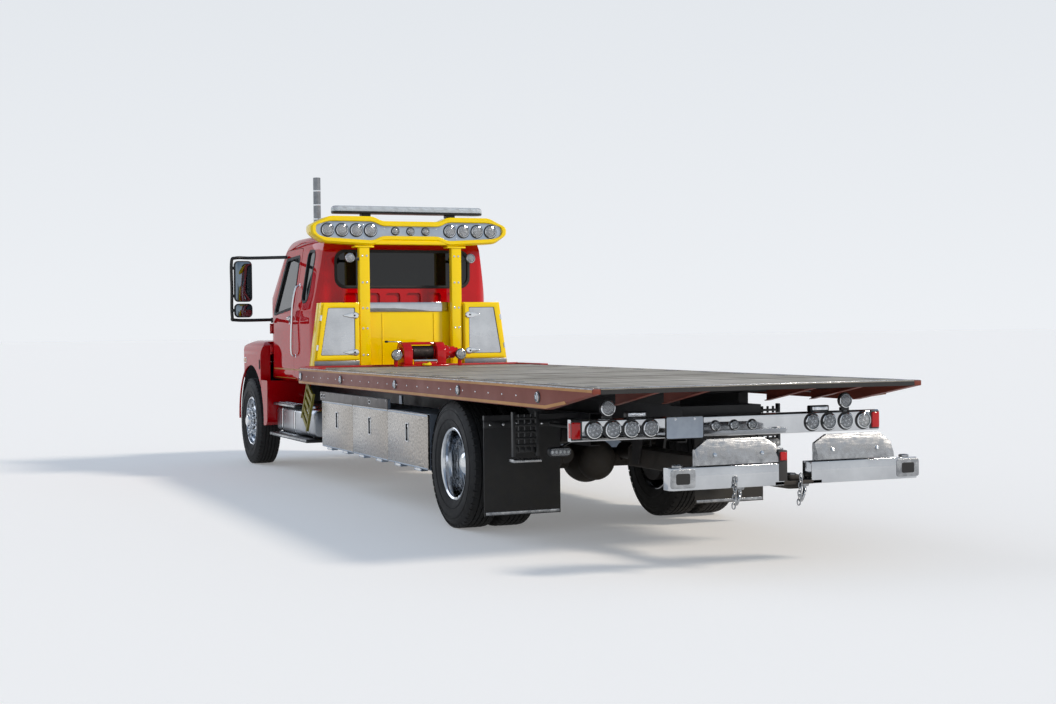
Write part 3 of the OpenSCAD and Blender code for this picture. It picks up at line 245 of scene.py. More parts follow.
def make_materials():
    """Every finish on the truck, keyed by a short name."""
    paint = bpy.context.scene.truck_paint
    enamel = {"Coat Weight": 0.75, "Coat Roughness": 0.03, "Coat IOR": 1.5, "Specular IOR Level": 0.0}
    cab = paint.cab
    return {
        # Two-pack enamel with clear lacquer: deep colour under a hard gloss, slight orange peel
        "red": surface("red enamel", (cab, "#B4000B"), (0.3, 0.42), grain=0.006, grain_depth=0.00002,
            patch=1.2, sockets=enamel),
        "yellow": surface("yellow enamel", (paint.pylon, "#FBD400"), (0.32, 0.45), grain=0.006,
            grain_depth=0.00002, patch=0.7, sockets=enamel),
        "rail": surface("maroon enamel", (paint.rail, "#723527"), (0.38, 0.55), grain=0.006,
            grain_depth=0.00003, patch=0.5, sockets={"Specular IOR Level": 0.3}),
        "stripe": surface("gold stripe tape", (paint.stripe, "#A56A18"), (0.3, 0.45), patch=0.3),
        "winch": surface("red powder coat", ("#C80D14", "#A90B10"), (0.3, 0.5), grain=0.003,
            grain_depth=0.0001, patch=0.12, sockets=enamel),
        "edge_red": surface("red deck paint", ("#C4121B", "#9E1D20"), (0.4, 0.6), grain=0.004,
            grain_depth=0.0002, patch=0.2),
        # Steel plate that car tyres and chains have scuffed along the truck
        "deck": deck_plate_paint(paint.deck),
        "under": surface("black chassis enamel", ("#131315", "#232326"), (0.35, 0.6), grain=0.004,
            grain_depth=0.0002, patch=0.35, low_tone=("#5B544A", 0.9, 0.5)),
        "greasy": surface("greased black steel", ("#1B1A1A", "#3A3531"), (0.3, 0.65), metallic=0.35,
            grain=0.003, grain_depth=0.0005, patch=0.09, low_tone=("#6A5F50", 0.85, 0.5)),
        # Natural rubber: almost black, matt, paler towards the bottom
        "tyre": surface("tyre rubber", ("#121213", "#1E1E1F"), (0.62, 0.82), grain=0.0025,
            grain_depth=0.0002, patch=0.08, low_tone=("#4A443C", 0.6, 0.35)),
        "flap": surface("moulded flap rubber", ("#0F1012", "#1C1D20"), (0.5, 0.72), grain=0.004,
            grain_depth=0.0003, patch=0.2, low_tone=("#5D574D", 0.95, 0.45)),
        # Forged aluminium, buffed: bright with faint circular marks
        "rim": surface("buffed aluminium", ("#D9DBDE", "#BFC2C6"), (0.06, 0.16), metallic=1.0, grain=0.002,
            grain_depth=0.00003, patch=0.1),
        "chrome": surface("chrome plate", ("#E4E6E8", "#D5D8DA"), (0.03, 0.07), metallic=1.0, patch=0.2),
        # Mirror-finish stainless sheet: dents and ripples bend its reflections
        "polished": surface("mirror stainless", ("#CDCFD1", "#B9BBBE"), (0.03, 0.08), metallic=1.0,
            grain=0.25, grain_depth=0.0012, patch=0.3),
        # Box doors in bright stainless with a fine pressed pebble that breaks reflections into specks
        "pebbled": surface("pebbled stainless", ("#C4BEB7", "#8B867F"), (0.05, 0.14), metallic=1.0,
            grain=0.03, grain_depth=0.006, patch=0.02),
        "scuffed": surface("scuffed aluminium", ("#B4B5B6", "#7E8083"), (0.14, 0.36), metallic=1.0,
            grain=0.02, grain_depth=0.0012, patch=0.05, stretch=(1.0, 0.15, 1.0)),
        "brushed": surface("brushed aluminium", ("#AEB9C6", "#94A2B2"), (0.3, 0.42), metallic=0.7,
            grain=0.002, grain_depth=0.0001, patch=0.3, stretch=(1.0, 0.08, 1.0)),
        # the tank's colour turns darker towards the bottom
        "tank": surface("spun aluminium tank", ("#C5C8CC", "#A9ACB0"), (0.2, 0.34), metallic=1.0,
            grain=0.003, grain_depth=0.0001, patch=0.3, stretch=(0.1, 1.0, 1.0),
            low_tone=("#6B655B", 0.75, 0.4)),
        "kick": surface("grey kick strip", ("#8F9296", "#7C7F84"), (0.25, 0.4), metallic=0.8, patch=0.1),
        "trim": surface("black moulded plastic", ("#101113", "#191A1C"), (0.3, 0.5), grain=0.0015,
            grain_depth=0.0001, patch=0.15),
        "coarse": surface("grained black ABS", ("#17181A", "#222326"), (0.5, 0.65), grain=0.0012,
            grain_depth=0.0003, patch=0.2),
        "rubber": surface("extruded rubber", ("#0C0C0D", "#161617"), (0.55, 0.7), patch=0.1),
        "cloth": cloth("woven seat cloth", "#3A3B40", "#26272B"),
        "gauge": surface("ivory dial", ("#D8D8D2", "#CFCFC8"), (0.4, 0.5), patch=0.05),
        "olive": surface("olive yellow paint", ("#8F8420", "#766C14"), (0.4, 0.6), grain=0.004,
            grain_depth=0.0002, patch=0.1),
        "cable": surface("steel wire rope", ("#4C4340", "#2E2826"), (0.35, 0.55), metallic=0.6, grain=0.002,
            grain_depth=0.0004, patch=0.02),
        "plate": surface("blank plate", ("#C9D3DE", "#B9C4D2"), (0.3, 0.4), patch=0.06),
        "engine": surface("engine grey", ("#45484B", "#2F3133"), (0.45, 0.7), grain=0.006,
            grain_depth=0.0006, patch=0.1, low_tone=("#544A3D", 1.2, 0.5)),
        "board": surface("taupe trim board", ("#6F6863", "#5C5652"), (0.35, 0.5), patch=0.2),
        "reflector": surface("vacuum-plated reflector", ("#E8EAED", "#B9BEC4"), (0.08, 0.22), metallic=1.0,
            grain=0.012, grain_depth=0.002, patch=0.03),
        "diode": surface("lamp diode", ("#FFFFFF", "#F0F2E8"), (0.2, 0.3), patch=0.02),
        "lens": clear("polycarbonate lens", "#F2F6FA", 0.06, 0.75),
        "bar_lens": clear("frosted bar lens", "#DCE4EA", 0.12, 0.45),
        "red_lens": clear("red lens", "#D0060C", 0.08, 0.25),
        "amber_lens": clear("amber lens", "#E88A10", 0.08, 0.3),
        "glass": clear("tinted cab glass", "#3A4244", 0.015, 0.85),
        "privacy": clear("privacy glass", "#07090A", 0.02, 0.12),
        "mirror": surface("silvered glass", ("#7F8A94", "#76828C"), (0.02, 0.04), metallic=1.0, patch=0.5),
    }


def deck_plate_paint(tone):
    """Deck paint worn through along the tyre tracks: light scuffs run fore and aft over a darker base."""
    made, tree, where = blank("worn deck paint")
    along = node(tree, "ShaderNodeMapping", {"Vector": where, "Scale": (0.35, 3.0, 1.0)}).outputs[0]
    streaks = noise(tree, along, 3.0, 9.0, rough=0.7)
    blotch = noise(tree, where, 1.3, 6.0, rough=0.65)
    share = spread(tree, maths(tree, "ADD", streaks, blotch), 0.78, 1.22)
    ramp = node(tree, "ShaderNodeValToRGB", {"Fac": share})
    stops = ramp.color_ramp.elements
    stops[0].color = linear("#837B6D")
    stops[1].color = linear("#B9B1A4")
    stops.new(0.45).color = linear(tone)
    stops.new(0.8).color = linear("#ACA497")
    grit = noise(tree, where, 160.0, 3.0)
    bump = node(tree, "ShaderNodeBump", {"Distance": 0.0006, "Height": grit}).outputs[0]
    # below the top plate the deck's beams are black chassis paint
    height = node(tree, "ShaderNodeSeparateXYZ", {0: where}).outputs[2]
    above = maths(tree, "GREATER_THAN", height, DECK_Z - 0.004)
    colour = mix(tree, above, linear("#1C1B1B"), ramp.outputs[0])
    rough = spread(tree, share, 0.0, 1.0, 0.66, 0.5)
    shaded(tree, {"Base Color": colour, "Roughness": rough, "Normal": bump})
    return made


def cloth(name, light, dark):
    """Woven seat cloth: two thread directions, drawn coarser than the real 1 mm to show."""
    made, tree, where = blank(name)
    given = {"Vector": where, "Scale": 50.0, "Distortion": 0.6}
    waves = [node(tree, "ShaderNodeTexWave", given, bands_direction=axis).outputs["Fac"]
        for axis in ("X", "Y")]
    weave = maths(tree, "MULTIPLY", *waves)
    colour = mix(tree, weave, linear(dark), linear(light))
    bump = node(tree, "ShaderNodeBump", {"Distance": 0.0006, "Height": weave}).outputs[0]
    shaded(tree, {"Base Color": colour, "Roughness": 0.85, "Sheen Weight": 0.3, "Normal": bump})
    return made


def clear(name, tint, rough, through):
    """Clear or tinted plastic or glass: through is the share of light that passes."""
    made, tree, where = blank(name)
    haze = noise(tree, where, 6.0, 3.0)
    uneven = spread(tree, haze, 0.0, 1.0, rough * 0.7, rough * 1.4)
    shaded(tree, {"Base Color": linear(tint), "Roughness": uneven, "IOR": 1.5,
        "Transmission Weight": through})
    return made


MATERIALS = {}


def material(key):
    """One of the truck's finishes; all are made on the first call."""
    if not MATERIALS:
        MATERIALS.update(make_materials())
    return MATERIALS[key]


# ---------- shapes: lists of points in metres from the rear axle ----------


# Two faces that turn more than this many radians make an edge; points nearer than WELD metres are one
FOLD = 0.5
WELD = 0.0002
# How a point of a flat outline and a distance h from its plane make a point in space
PLANES = {
    "XZ": lambda p, h: (p[0], h, p[1]),
    "YZ": lambda p, h: (h, p[0], p[1]),
    "XY": lambda p, h: (p[0], p[1], h),
}


def circle(count, radius, start=0.0):
    """count points round a circle as (across, up), the first at start degrees."""
    turns = [math.radians(start) + 2 * math.pi * k / count for k in range(count)]
    return [(radius * math.cos(t), radius * math.sin(t)) for t in turns]


def flip(outline, side):
    """An outline of (y, z) points on the truck's left side, or mirrored to its right when side is -1."""
    return [(y * side, z) for y, z in outline]


def flip_plan(outline, side):
    """An outline of (x, y) points on the truck's left side, or mirrored to its right when side is -1."""
    return [(x, y * side) for x, y in outline]


class Shape:
    """One piece under construction. Each call adds a closed body to it."""

    def __init__(self, *keys):
        self.mesh = bmesh.new()
        self.keys = list(keys)

    def add(self, points, faces, key=None, edge=0.0, segments=2):
        """Adds a body from points and faces, with every edge sharper than FOLD rounded by edge."""
        if key is None:
            key = self.keys[0]
        if key not in self.keys:
            self.keys.append(key)
        part = bmesh.new()
        corners = [part.verts.new(p) for p in points]
        for face in faces:
            part.faces.new([corners[i] for i in face])
        bmesh.ops.recalc_face_normals(part, faces=part.faces)
        if edge > 0:
            sharp = [e for e in part.edges if e.is_manifold and e.calc_face_angle(0) > FOLD]
            bmesh.ops.bevel(part, geom=sharp, offset=edge, segments=segments, profile=0.5, affect="EDGES",
                clamp_overlap=True)
        for face in part.faces:
            face.material_index = self.keys.index(key)
            face.smooth = True
        self.merge(part)
        return self

    def merge(self, part):
        """Moves the faces of another bmesh into this one."""
        carrier = bpy.data.meshes.new("carrier")
        part.to_mesh(carrier)
        part.free()
        self.mesh.from_mesh(carrier)
        bpy.data.meshes.remove(carrier)

    def prism(self, outline, plane, low, high, key=None, edge=0.0, segments=2):
        """An outline in the XZ, YZ or XY plane, drawn out along the third axis from low to high."""
        place = PLANES[plane]
        n = len(outline)
        points = [place(p, low) for p in outline] + [place(p, high) for p in outline]
        faces = [list(range(n)), list(range(n, 2 * n))]
        faces += [[i, (i + 1) % n, n + (i + 1) % n, n + i] for i in range(n)]
        return self.add(points, faces, key, edge, segments)

    def box(self, x0, x1, y0, y1, z0, z1, key=None, edge=0.004, segments=2):
        """A block with rounded edges."""
        return self.prism(rect(x0, x1, y0, y1), "XY", z0, z1, key, edge, segments)

    def ring(self, outer, inner, plane, low, high, key=None, edge=0.0):
        """A frame between two outlines with as many points each."""
        place = PLANES[plane]
        n = len(outer)
        loops = [[place(p, h) for p in line] for line, h in ((outer, low), (inner, low), (inner, high),
            (outer, high))]
        points = [p for loop in loops for p in loop]
        faces = []
        for a in range(4):
            b = (a + 1) % 4
            faces += [[a * n + i, a * n + (i + 1) % n, b * n + (i + 1) % n, b * n + i] for i in range(n)]
        return self.add(points, faces, key, edge)

    def turned(self, centre, axis, profile, key=None, sides=32):
        """A profile of (radius, distance along the axis) turned round an axis through centre."""
        centre = Vector(centre)
        axis = Vector(axis).normalized()
        across = axis.orthogonal().normalized()
        other = axis.cross(across)
        points, faces, rings = [], [], []
        for radius, along in profile:
            if radius < 1e-6:
                rings.append([len(points)])
                points.append(centre + axis * along)
            else:
                start = len(points)
                rings.append(list(range(start, start + sides)))
                for i in range(sides):
                    turn = 2 * math.pi * i / sides
                    points.append(centre + axis * along
                        + (across * math.cos(turn) + other * math.sin(turn)) * radius)
        for a, b in zip(rings, rings[1:]):
            for i in range(sides):
                j = (i + 1) % sides
                quad = [a[i % len(a)], a[j % len(a)], b[j % len(b)], b[i % len(b)]]
                quad = list(dict.fromkeys(quad))
                if len(quad) > 2:
                    faces.append(quad)
        for end in (rings[0], rings[-1]):
            if len(end) > 1 and profile[0] != profile[-1]:
                faces.append(end)
        if profile[0] == profile[-1]:
            last = rings[-1]
            faces = [[rings[0][last.index(i)] if i in last else i for i in face] for face in faces]
            points = points[: -len(last)]
        return self.add(points, faces, key)

    def rod(self, centre, axis, radius, length, key=None, sides=32):
        """A plain round bar or disc, from centre along axis."""
        return self.turned(centre, axis, rect(0, radius, 0, length), key, sides)

    def bolt(self, centre, axis, radius=0.009, height=0.006):
        """A plated hexagon bolt head with its washer."""
        head = [(0, 0), (radius, 0), (radius, height * 0.85), (radius * 0.8, height), (0, height)]
        self.rod(centre, axis, radius * 1.25, height * 0.3, "chrome", 14)
        return self.turned(centre, axis, head, "chrome", 6)

    def tube(self, path, radius, key=None, sides=12, closed=False):
        """A round bar or hose that follows a path."""
        path = [Vector(p) for p in path]
        n = len(path)
        points, faces = [], []
        normal = None
        for i, p in enumerate(path):
            ahead = path[(i + 1) % n] if closed else path[min(i + 1, n - 1)]
            behind = path[i - 1] if closed else path[max(i - 1, 0)]
            along = (ahead - behind).normalized()
            if normal is None:
                normal = along.orthogonal().normalized()
            normal = (normal - along * normal.dot(along)).normalized()
            side = along.cross(normal)
            for k in range(sides):
                turn = 2 * math.pi * k / sides
                points.append(p + (normal * math.cos(turn) + side * math.sin(turn)) * radius)
        for i in range(n if closed else n - 1):
            j = (i + 1) % n
            for k in range(sides):
                m = (k + 1) % sides
                faces.append([i * sides + k, i * sides + m, j * sides + m, j * sides + k])
        if not closed:
            faces += [list(range(sides)), list(range((n - 1) * sides, n * sides))]
        return self.add(points, faces, key)

    def loft(self, sections, key=None):
        """A closed body through sections, each a closed loop with as many points."""
        n = len(sections[0])
        points = [p for section in sections for p in section]
        faces = []
        for a in range(len(sections) - 1):
            for i in range(n):
                j = (i + 1) % n
                faces.append([a * n + i, a * n + j, (a + 1) * n + j, (a + 1) * n + i])
        faces += [list(range(n)), list(range((len(sections) - 1) * n, len(sections) * n))]
        return self.add(points, faces, key)

    def combine(self, other, operation="DIFFERENCE"):
        """Cuts this shape by another, joins them, or keeps what they share, with the exact solver."""
        for key in other.keys:
            if key not in self.keys:
                self.keys.append(key)
        index = [self.keys.index(key) for key in other.keys]
        for face in other.mesh.faces:
            face.material_index = index[face.material_index]
        made = []
        for shape in (self, other):
            data = bpy.data.meshes.new("solid")
            shape.mesh.to_mesh(data)
            shape.mesh.free()
            made.append(bpy.data.objects.new("solid", data))
            bpy.context.scene.collection.objects.link(made[-1])
        modifier = made[0].modifiers.new("Combine", "BOOLEAN")
        modifier.operation = operation
        modifier.solver = "EXACT"
        modifier.material_mode = "INDEX"
        modifier.object = made[1]
        bpy.context.view_layer.update()
        done = bpy.data.meshes.new_from_object(made[0].evaluated_get(bpy.context.evaluated_depsgraph_get()))
        self.mesh = bmesh.new()
        self.mesh.from_mesh(done)
        bpy.data.meshes.remove(done)
        for solid in made:
            data = solid.data
            bpy.data.objects.remove(solid)
            bpy.data.meshes.remove(data)
        return self

    def soften(self, width, angle=25.0, segments=3):
        """Rounds every edge sharper than angle degrees by width."""
        bmesh.ops.remove_doubles(self.mesh, verts=self.mesh.verts, dist=WELD)
        limit = math.radians(angle)
        sharp = [e for e in self.mesh.edges if e.is_manifold and e.calc_face_angle(0) > limit]
        bmesh.ops.bevel(self.mesh, geom=sharp, offset=width, segments=segments, profile=0.5, affect="EDGES",
            clamp_overlap=True)
        for face in self.mesh.faces:
            face.smooth = True
        return self

    def moved(self, matrix):
        """Moves every point by a matrix."""
        bmesh.ops.transform(self.mesh, matrix=matrix, verts=self.mesh.verts)
        return self

    def absorb(self, other):
        """Adds another shape's faces, with their materials."""
        index = {}
        for i, key in enumerate(other.keys):
            if key not in self.keys:
                self.keys.append(key)
            index[i] = self.keys.index(key)
        for face in other.mesh.faces:
            face.material_index = index[face.material_index]
        self.merge(other.mesh)
        return self

    def as_mesh(self, name, crease=35.0):
        """A Blender mesh in the row frame, smooth except where faces meet above crease degrees."""
        data = bpy.data.meshes.new(name)
        bmesh.ops.translate(self.mesh, vec=(AXLE_X, 0, 0), verts=self.mesh.verts)
        self.mesh.to_mesh(data)
        self.mesh.free()
        for key in self.keys:
            data.materials.append(material(key))
        data.set_sharp_from_angle(angle=math.radians(crease))
        return data

    def piece(self, name, body, slot, *nodes, crease=35.0):
        """Finishes the shape as an object that rides on a body and stands for CAD nodes."""
        made = bpy.data.objects.new(name, self.as_mesh(name, crease))
        bpy.context.scene.collection.objects.link(made)
        return settle(made, body, slot, *nodes)


def settle(made, body, slot, *nodes):
    """Ties a finished object to its body and the CAD nodes it stands for; slot is not used."""
    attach(made, body)
    if nodes:
        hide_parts(*nodes)
    return made


def rect(x0, x1, y0, y1):
    """The outline of a rectangle with sharp corners."""
    return [(x0, y0), (x1, y0), (x1, y1), (x0, y1)]


def round_rect(x0, x1, y0, y1, r, steps=5):
    """The outline of a rectangle with round corners."""
    out = []
    for cx, cy, start in ((x1 - r, y1 - r, 0), (x0 + r, y1 - r, 90), (x0 + r, y0 + r, 180),
            (x1 - r, y0 + r, 270)):
        for i in range(steps + 1):
            turn = math.radians(start + 90 * i / steps)
            out.append((cx + r * math.cos(turn), cy + r * math.sin(turn)))
    return out


def rounded(outline, radius, steps=4):
    """An outline with every corner rounded by up to radius."""
    out = []
    n = len(outline)
    for i in range(n):
        a, b, c = (Vector(outline[k % n]).to_2d() for k in (i - 1, i, i + 1))
        back, on = a - b, c - b
        cut = min(radius, back.length * 0.45, on.length * 0.45)
        p, q = b + back.normalized() * cut, b + on.normalized() * cut
        for k in range(steps + 1):
            t = k / steps
            out.append(tuple(p * (1 - t) ** 2 + b * 2 * t * (1 - t) + q * t**2))
    return out


def smooth_path(points, per=6):
    """A Catmull-Rom curve through points."""
    pts = [Vector(p) for p in points]
    pts = [pts[0] * 2 - pts[1], *pts, pts[-1] * 2 - pts[-2]]
    out = []
    for a, b, c, d in zip(pts, pts[1:], pts[2:], pts[3:]):
        for k in range(per):
            t = k / per
            out.append(0.5 * (2 * b + (c - a) * t + (2 * a - 5 * b + 4 * c - d) * t**2
                + (3 * b - 3 * c + d - a) * t**3))
    out.append(pts[-2])
    return out


def copies_tree():
    """The tree that repeats a piece: Count copies, each Step further and Turn further round Centre."""
    tree = bpy.data.node_groups.new("Repeat along or round", "GeometryNodeTree")
    sockets = (
        ("Geometry", "NodeSocketGeometry"),
        ("Count", "NodeSocketInt"),
        ("Step", "NodeSocketVector"),
        ("Turn", "NodeSocketVector"),
        ("Centre", "NodeSocketVector"),
        ("Finish", "NodeSocketMaterial"),
    )
    for name, kind in sockets:
        tree.interface.new_socket(name, in_out="INPUT", socket_type=kind)
    tree.interface.new_socket("Geometry", in_out="OUTPUT", socket_type="NodeSocketGeometry")
    given = node(tree, "NodeGroupInput").outputs
    home = node(tree, "ShaderNodeVectorMath", {0: given["Centre"], "Scale": -1.0},
        operation="SCALE").outputs[0]
    part = node(tree, "GeometryNodeTransform", {"Geometry": given["Geometry"], "Translation": home}).outputs[
        0]
    line = node(tree, "GeometryNodeMeshLine", {"Count": given["Count"], "Start Location": given["Centre"],
        "Offset": given["Step"]}).outputs[0]
    index = node(tree, "GeometryNodeInputIndex").outputs[0]
    turn = node(tree, "ShaderNodeVectorMath", {0: given["Turn"], "Scale": index},
        operation="SCALE").outputs[0]
    placed = node(tree, "GeometryNodeInstanceOnPoints", {"Points": line, "Instance": part,
        "Rotation": turn}).outputs[0]
    real = node(tree, "GeometryNodeRealizeInstances", {"Geometry": placed}).outputs[0]
    painted = node(tree, "GeometryNodeSetMaterial", {"Geometry": real, "Material": given["Finish"]}).outputs[
        0]
    node(tree, "NodeGroupOutput", {"Geometry": painted})
    return tree


def repeat(shape, name, count, step=(0, 0, 0), turn=(0, 0, 0), centre=(0, 0, 0)):
    """Copies of a shape made by the repeat tree, as a mesh in the row frame. centre is from the rear axle."""
    tree = bpy.data.node_groups.get("Repeat along or round") or copies_tree()
    key = shape.keys[0]
    source = bpy.data.objects.new(name, shape.as_mesh(name))
    bpy.context.scene.collection.objects.link(source)
    modifier = source.modifiers.new("Repeat", "NODES")
    modifier.node_group = tree
    values = {
        "Count": count,
        "Step": step,
        "Turn": turn,
        "Centre": (centre[0] + AXLE_X, centre[1], centre[2]),
        "Finish": material(key),
    }
    for item in tree.interface.items_tree:
        if item.item_type == "SOCKET" and item.in_out == "INPUT" and item.name in values:
            modifier[item.identifier] = values[item.name]
    bpy.context.view_layer.update()
    data = bpy.data.meshes.new_from_object(source.evaluated_get(bpy.context.evaluated_depsgraph_get()))
    bpy.data.objects.remove(source)
    data.name = name
    return data


def repeated_piece(meshes, name, body, slot, *nodes):
    """One object from several meshes that are already in the row frame."""
    joined = bmesh.new()
    keys = []
    for data in meshes:
        offset = {}
        for i, m in enumerate(data.materials):
            if m not in keys:
                keys.append(m)
            offset[i] = keys.index(m)
        for polygon in data.polygons:
            polygon.material_index = offset.get(polygon.material_index, 0)
        joined.from_mesh(data)
        bpy.data.meshes.remove(data)
    out = bpy.data.meshes.new(name)
    joined.to_mesh(out)
    joined.free()
    for m in keys:
        out.materials.append(m)
    out.set_sharp_from_angle(angle=math.radians(35))
    made = bpy.data.objects.new(name, out)
    bpy.context.scene.collection.objects.link(made)
    return settle(made, body, slot, *nodes)


def lamp(shape, centre, axis, radius, lens="lens", bezel="chrome", diodes=6, depth=0.03):
    """A round lamp: bezel, plated dish, diodes and a domed lens."""
    centre, axis = Vector(centre), Vector(axis).normalized()
    shape.turned(centre, axis, [(radius, -depth), (radius * 1.02, 0.004), (radius * 0.99, 0.012),
        (radius * 0.9, 0.014), (radius * 0.86, 0.006), (radius * 0.86, -depth)], bezel, 36)
    shape.turned(centre, axis, [(0, -depth * 0.8), (radius * 0.3, -depth * 0.78),
        (radius * 0.7, -depth * 0.45), (radius * 0.87, 0.0), (radius * 0.87, -0.004),
        (radius * 0.7, -depth * 0.6), (0, -depth * 0.95)], "reflector", 36)
    across = axis.orthogonal().normalized()
    other = axis.cross(across)
    for u, v in [(0.0, 0.0)] + circle(diodes, 0.52):
        at = centre + (across * u + other * v) * radius - axis * depth * 0.62
        shape.turned(at, axis, [(0, 0), (radius * 0.15, 0), (radius * 0.13, 0.006), (0, 0.009)], "diode", 10)
    shape.turned(centre, axis, [(radius * 0.87, 0.0), (radius * 0.87, 0.003), (radius * 0.75, 0.009),
        (radius * 0.4, 0.014), (0, 0.016), (0, 0.012), (radius * 0.4, 0.010), (radius * 0.75, 0.005),
        (radius * 0.84, 0.0), (radius * 0.87, 0.0)], lens, 36)


# ---------- cab ----------


def cab_side(g):
    """Side outline of the cab, moved in by g."""
    return [(CAB_X + g, FLOOR_Z + g), (CAB_X + g, ROOF_Z - 0.25),
        (CAB_X + 0.06 + g * 0.8, ROOF_Z - 0.07 - g * 0.6), (CAB_X + 0.26 + g * 0.2, ROOF_Z - 0.014 - g),
        (CAB_X + 0.7, ROOF_Z - g), (CAB_X + 1.2, ROOF_Z - 0.018 - g),
        (CAB_X + 1.53 - g * 0.3, ROOF_Z - 0.09 - g), (CAB_X + 1.6 - g * 0.8, ROOF_Z - 0.15 - g * 0.7),
        (COWL_X + 0.01 - g, FLOOR_Z + 0.88), (COWL_X - g, FLOOR_Z + 0.84), (COWL_X - g, FLOOR_Z + g)]


def cab_end(g):
    """End outline of the cab: the sides lean in above the waist."""
    half = [
        (CAB_HALF - 0.03 - g, FLOOR_Z + g), (CAB_HALF - g, FLOOR_Z + 0.12), (CAB_HALF - g, FLOOR_Z + 0.64),
        (CAB_HALF - 0.022 - g, FLOOR_Z + 0.82), (CAB_HALF - 0.132 - g, ROOF_Z - 0.19),
        (CAB_HALF - 0.19 - g * 0.8, ROOF_Z - 0.07 - g * 0.6), (CAB_HALF - 0.42 - g * 0.3, ROOF_Z - 0.016 - g),
    ]
    return half + [(0, ROOF_Z - g)] + [(-y, z) for y, z in reversed(half)]


def cab_plan(g):
    """Plan outline of the cab: the back corners are cut and the nose narrows."""
    half = [(CAB_X + g, CAB_HALF - 0.13), (CAB_X + 0.06 + g, CAB_HALF - 0.05 - g),
        (CAB_X + 0.17 + g, CAB_HALF - 0.01 - g), (CAB_X + 0.8, CAB_HALF - g),
        (DOOR_FRONT - 0.1, CAB_HALF - g), (COWL_X + 0.02 - g, CAB_HALF - 0.06 - g)]
    return half + [(x, -y) for x, y in reversed(half)]


def cab_hull(g, key="red"):
    """The cab's rounded outer form, moved in by g."""
    made = Shape(key)
    made.prism(rounded(cab_side(g), 0.12, 6), "XZ", -1.2, 1.2)
    end = Shape(key)
    end.prism(rounded(cab_end(g), 0.12, 6), "YZ", CAB_X - 0.1, COWL_X + 0.2)
    plan = Shape(key)
    plan.prism(rounded(cab_plan(g), 0.1, 6), "XY", FLOOR_Z - 0.1, ROOF_Z + 0.1)
    made.combine(end, "INTERSECT")
    made.combine(plan, "INTERSECT")
    return made


def cab_skin(outside, inside, key="red"):
    """A shell of the cab's form between two depths, rounded where its faces meet."""
    made = cab_hull(outside, key)
    made.soften(0.02, 18.0, 3)
    made.combine(cab_hull(inside, key))
    return made


def door_outline(g):
    """Side outline of a door, moved in by g."""
    return [(DOOR_REAR + g, FLOOR_Z + 0.02 + g), (DOOR_FRONT - 0.16 - g, FLOOR_Z + 0.02 + g),
        (DOOR_FRONT - g, FLOOR_Z + 0.33), (DOOR_FRONT - g, FLOOR_Z + 0.84),
        (CAB_X + 1.59 - g * 1.3, HEAD_Z - 0.02 - g * 0.5), (CAB_X + 1.53 - g, HEAD_Z - g),
        (DOOR_REAR + g * 3, HEAD_Z - g), (DOOR_REAR + g, BELT_Z)]


def door_window(g):
    """Side outline of a door window, moved in by g."""
    return [
        (DOOR_REAR + 0.095 + g, BELT_Z + 0.04 + g), (DOOR_FRONT - 0.13 - g * 1.5, BELT_Z - 0.025 + g),
        (DOOR_FRONT - 0.1 - g * 1.8, BELT_Z + 0.02), (CAB_X + 1.53 - g * 1.5, HEAD_Z - 0.11 - g),
        (DOOR_REAR + 0.14 + g, HEAD_Z - 0.09 - g), (DOOR_REAR + 0.1 + g, HEAD_Z - 0.125 - g),
    ]


def quarter_window(g):
    """Side outline of the window behind a door, moved in by g."""
    return [(CAB_X + 0.33 + g, BELT_Z + 0.19), (CAB_X + 0.39, BELT_Z + 0.11 + g),
        (CAB_X + 0.56, BELT_Z + 0.095 + g), (CAB_X + 0.62 - g, BELT_Z + 0.15),
        (CAB_X + 0.6 - g, HEAD_Z - 0.1), (CAB_X + 0.54, HEAD_Z - 0.05 - g), (CAB_X + 0.34, HEAD_Z - 0.06 - g),
        (CAB_X + 0.29 + g, HEAD_Z - 0.11)]


REAR_WINDOW = (-CAB_HALF + 0.265, CAB_HALF - 0.265, FLOOR_Z + 1.06, FLOOR_Z + 1.45)
SHIELD_LOW = FLOOR_Z + 0.9
SHIELD_HIGH = ROOF_Z - 0.19


def seal(outline, plane, low, high, sides=(1,)):
    """A rubber strip round a window, following the cab's skin."""
    made = Shape("rubber")
    outer = rounded(outline(-0.012), 0.05, 5)
    inner = rounded(outline(0.02), 0.05, 5)
    for side in sides:
        made.ring(outer, inner, plane, low * side, high * side)
    made.combine(cab_skin(-0.004, 0.02, "rubber"), "INTERSECT")
    return made


def band(low, high, start, end):
    """A strip of tape round the cab between two heights, from start to end along the truck."""
    keep = Shape("stripe").box(start, end, -BEYOND, BEYOND, low, high, edge=0)
    return cab_skin(-0.0012, 0.004, "stripe").combine(keep, "INTERSECT")


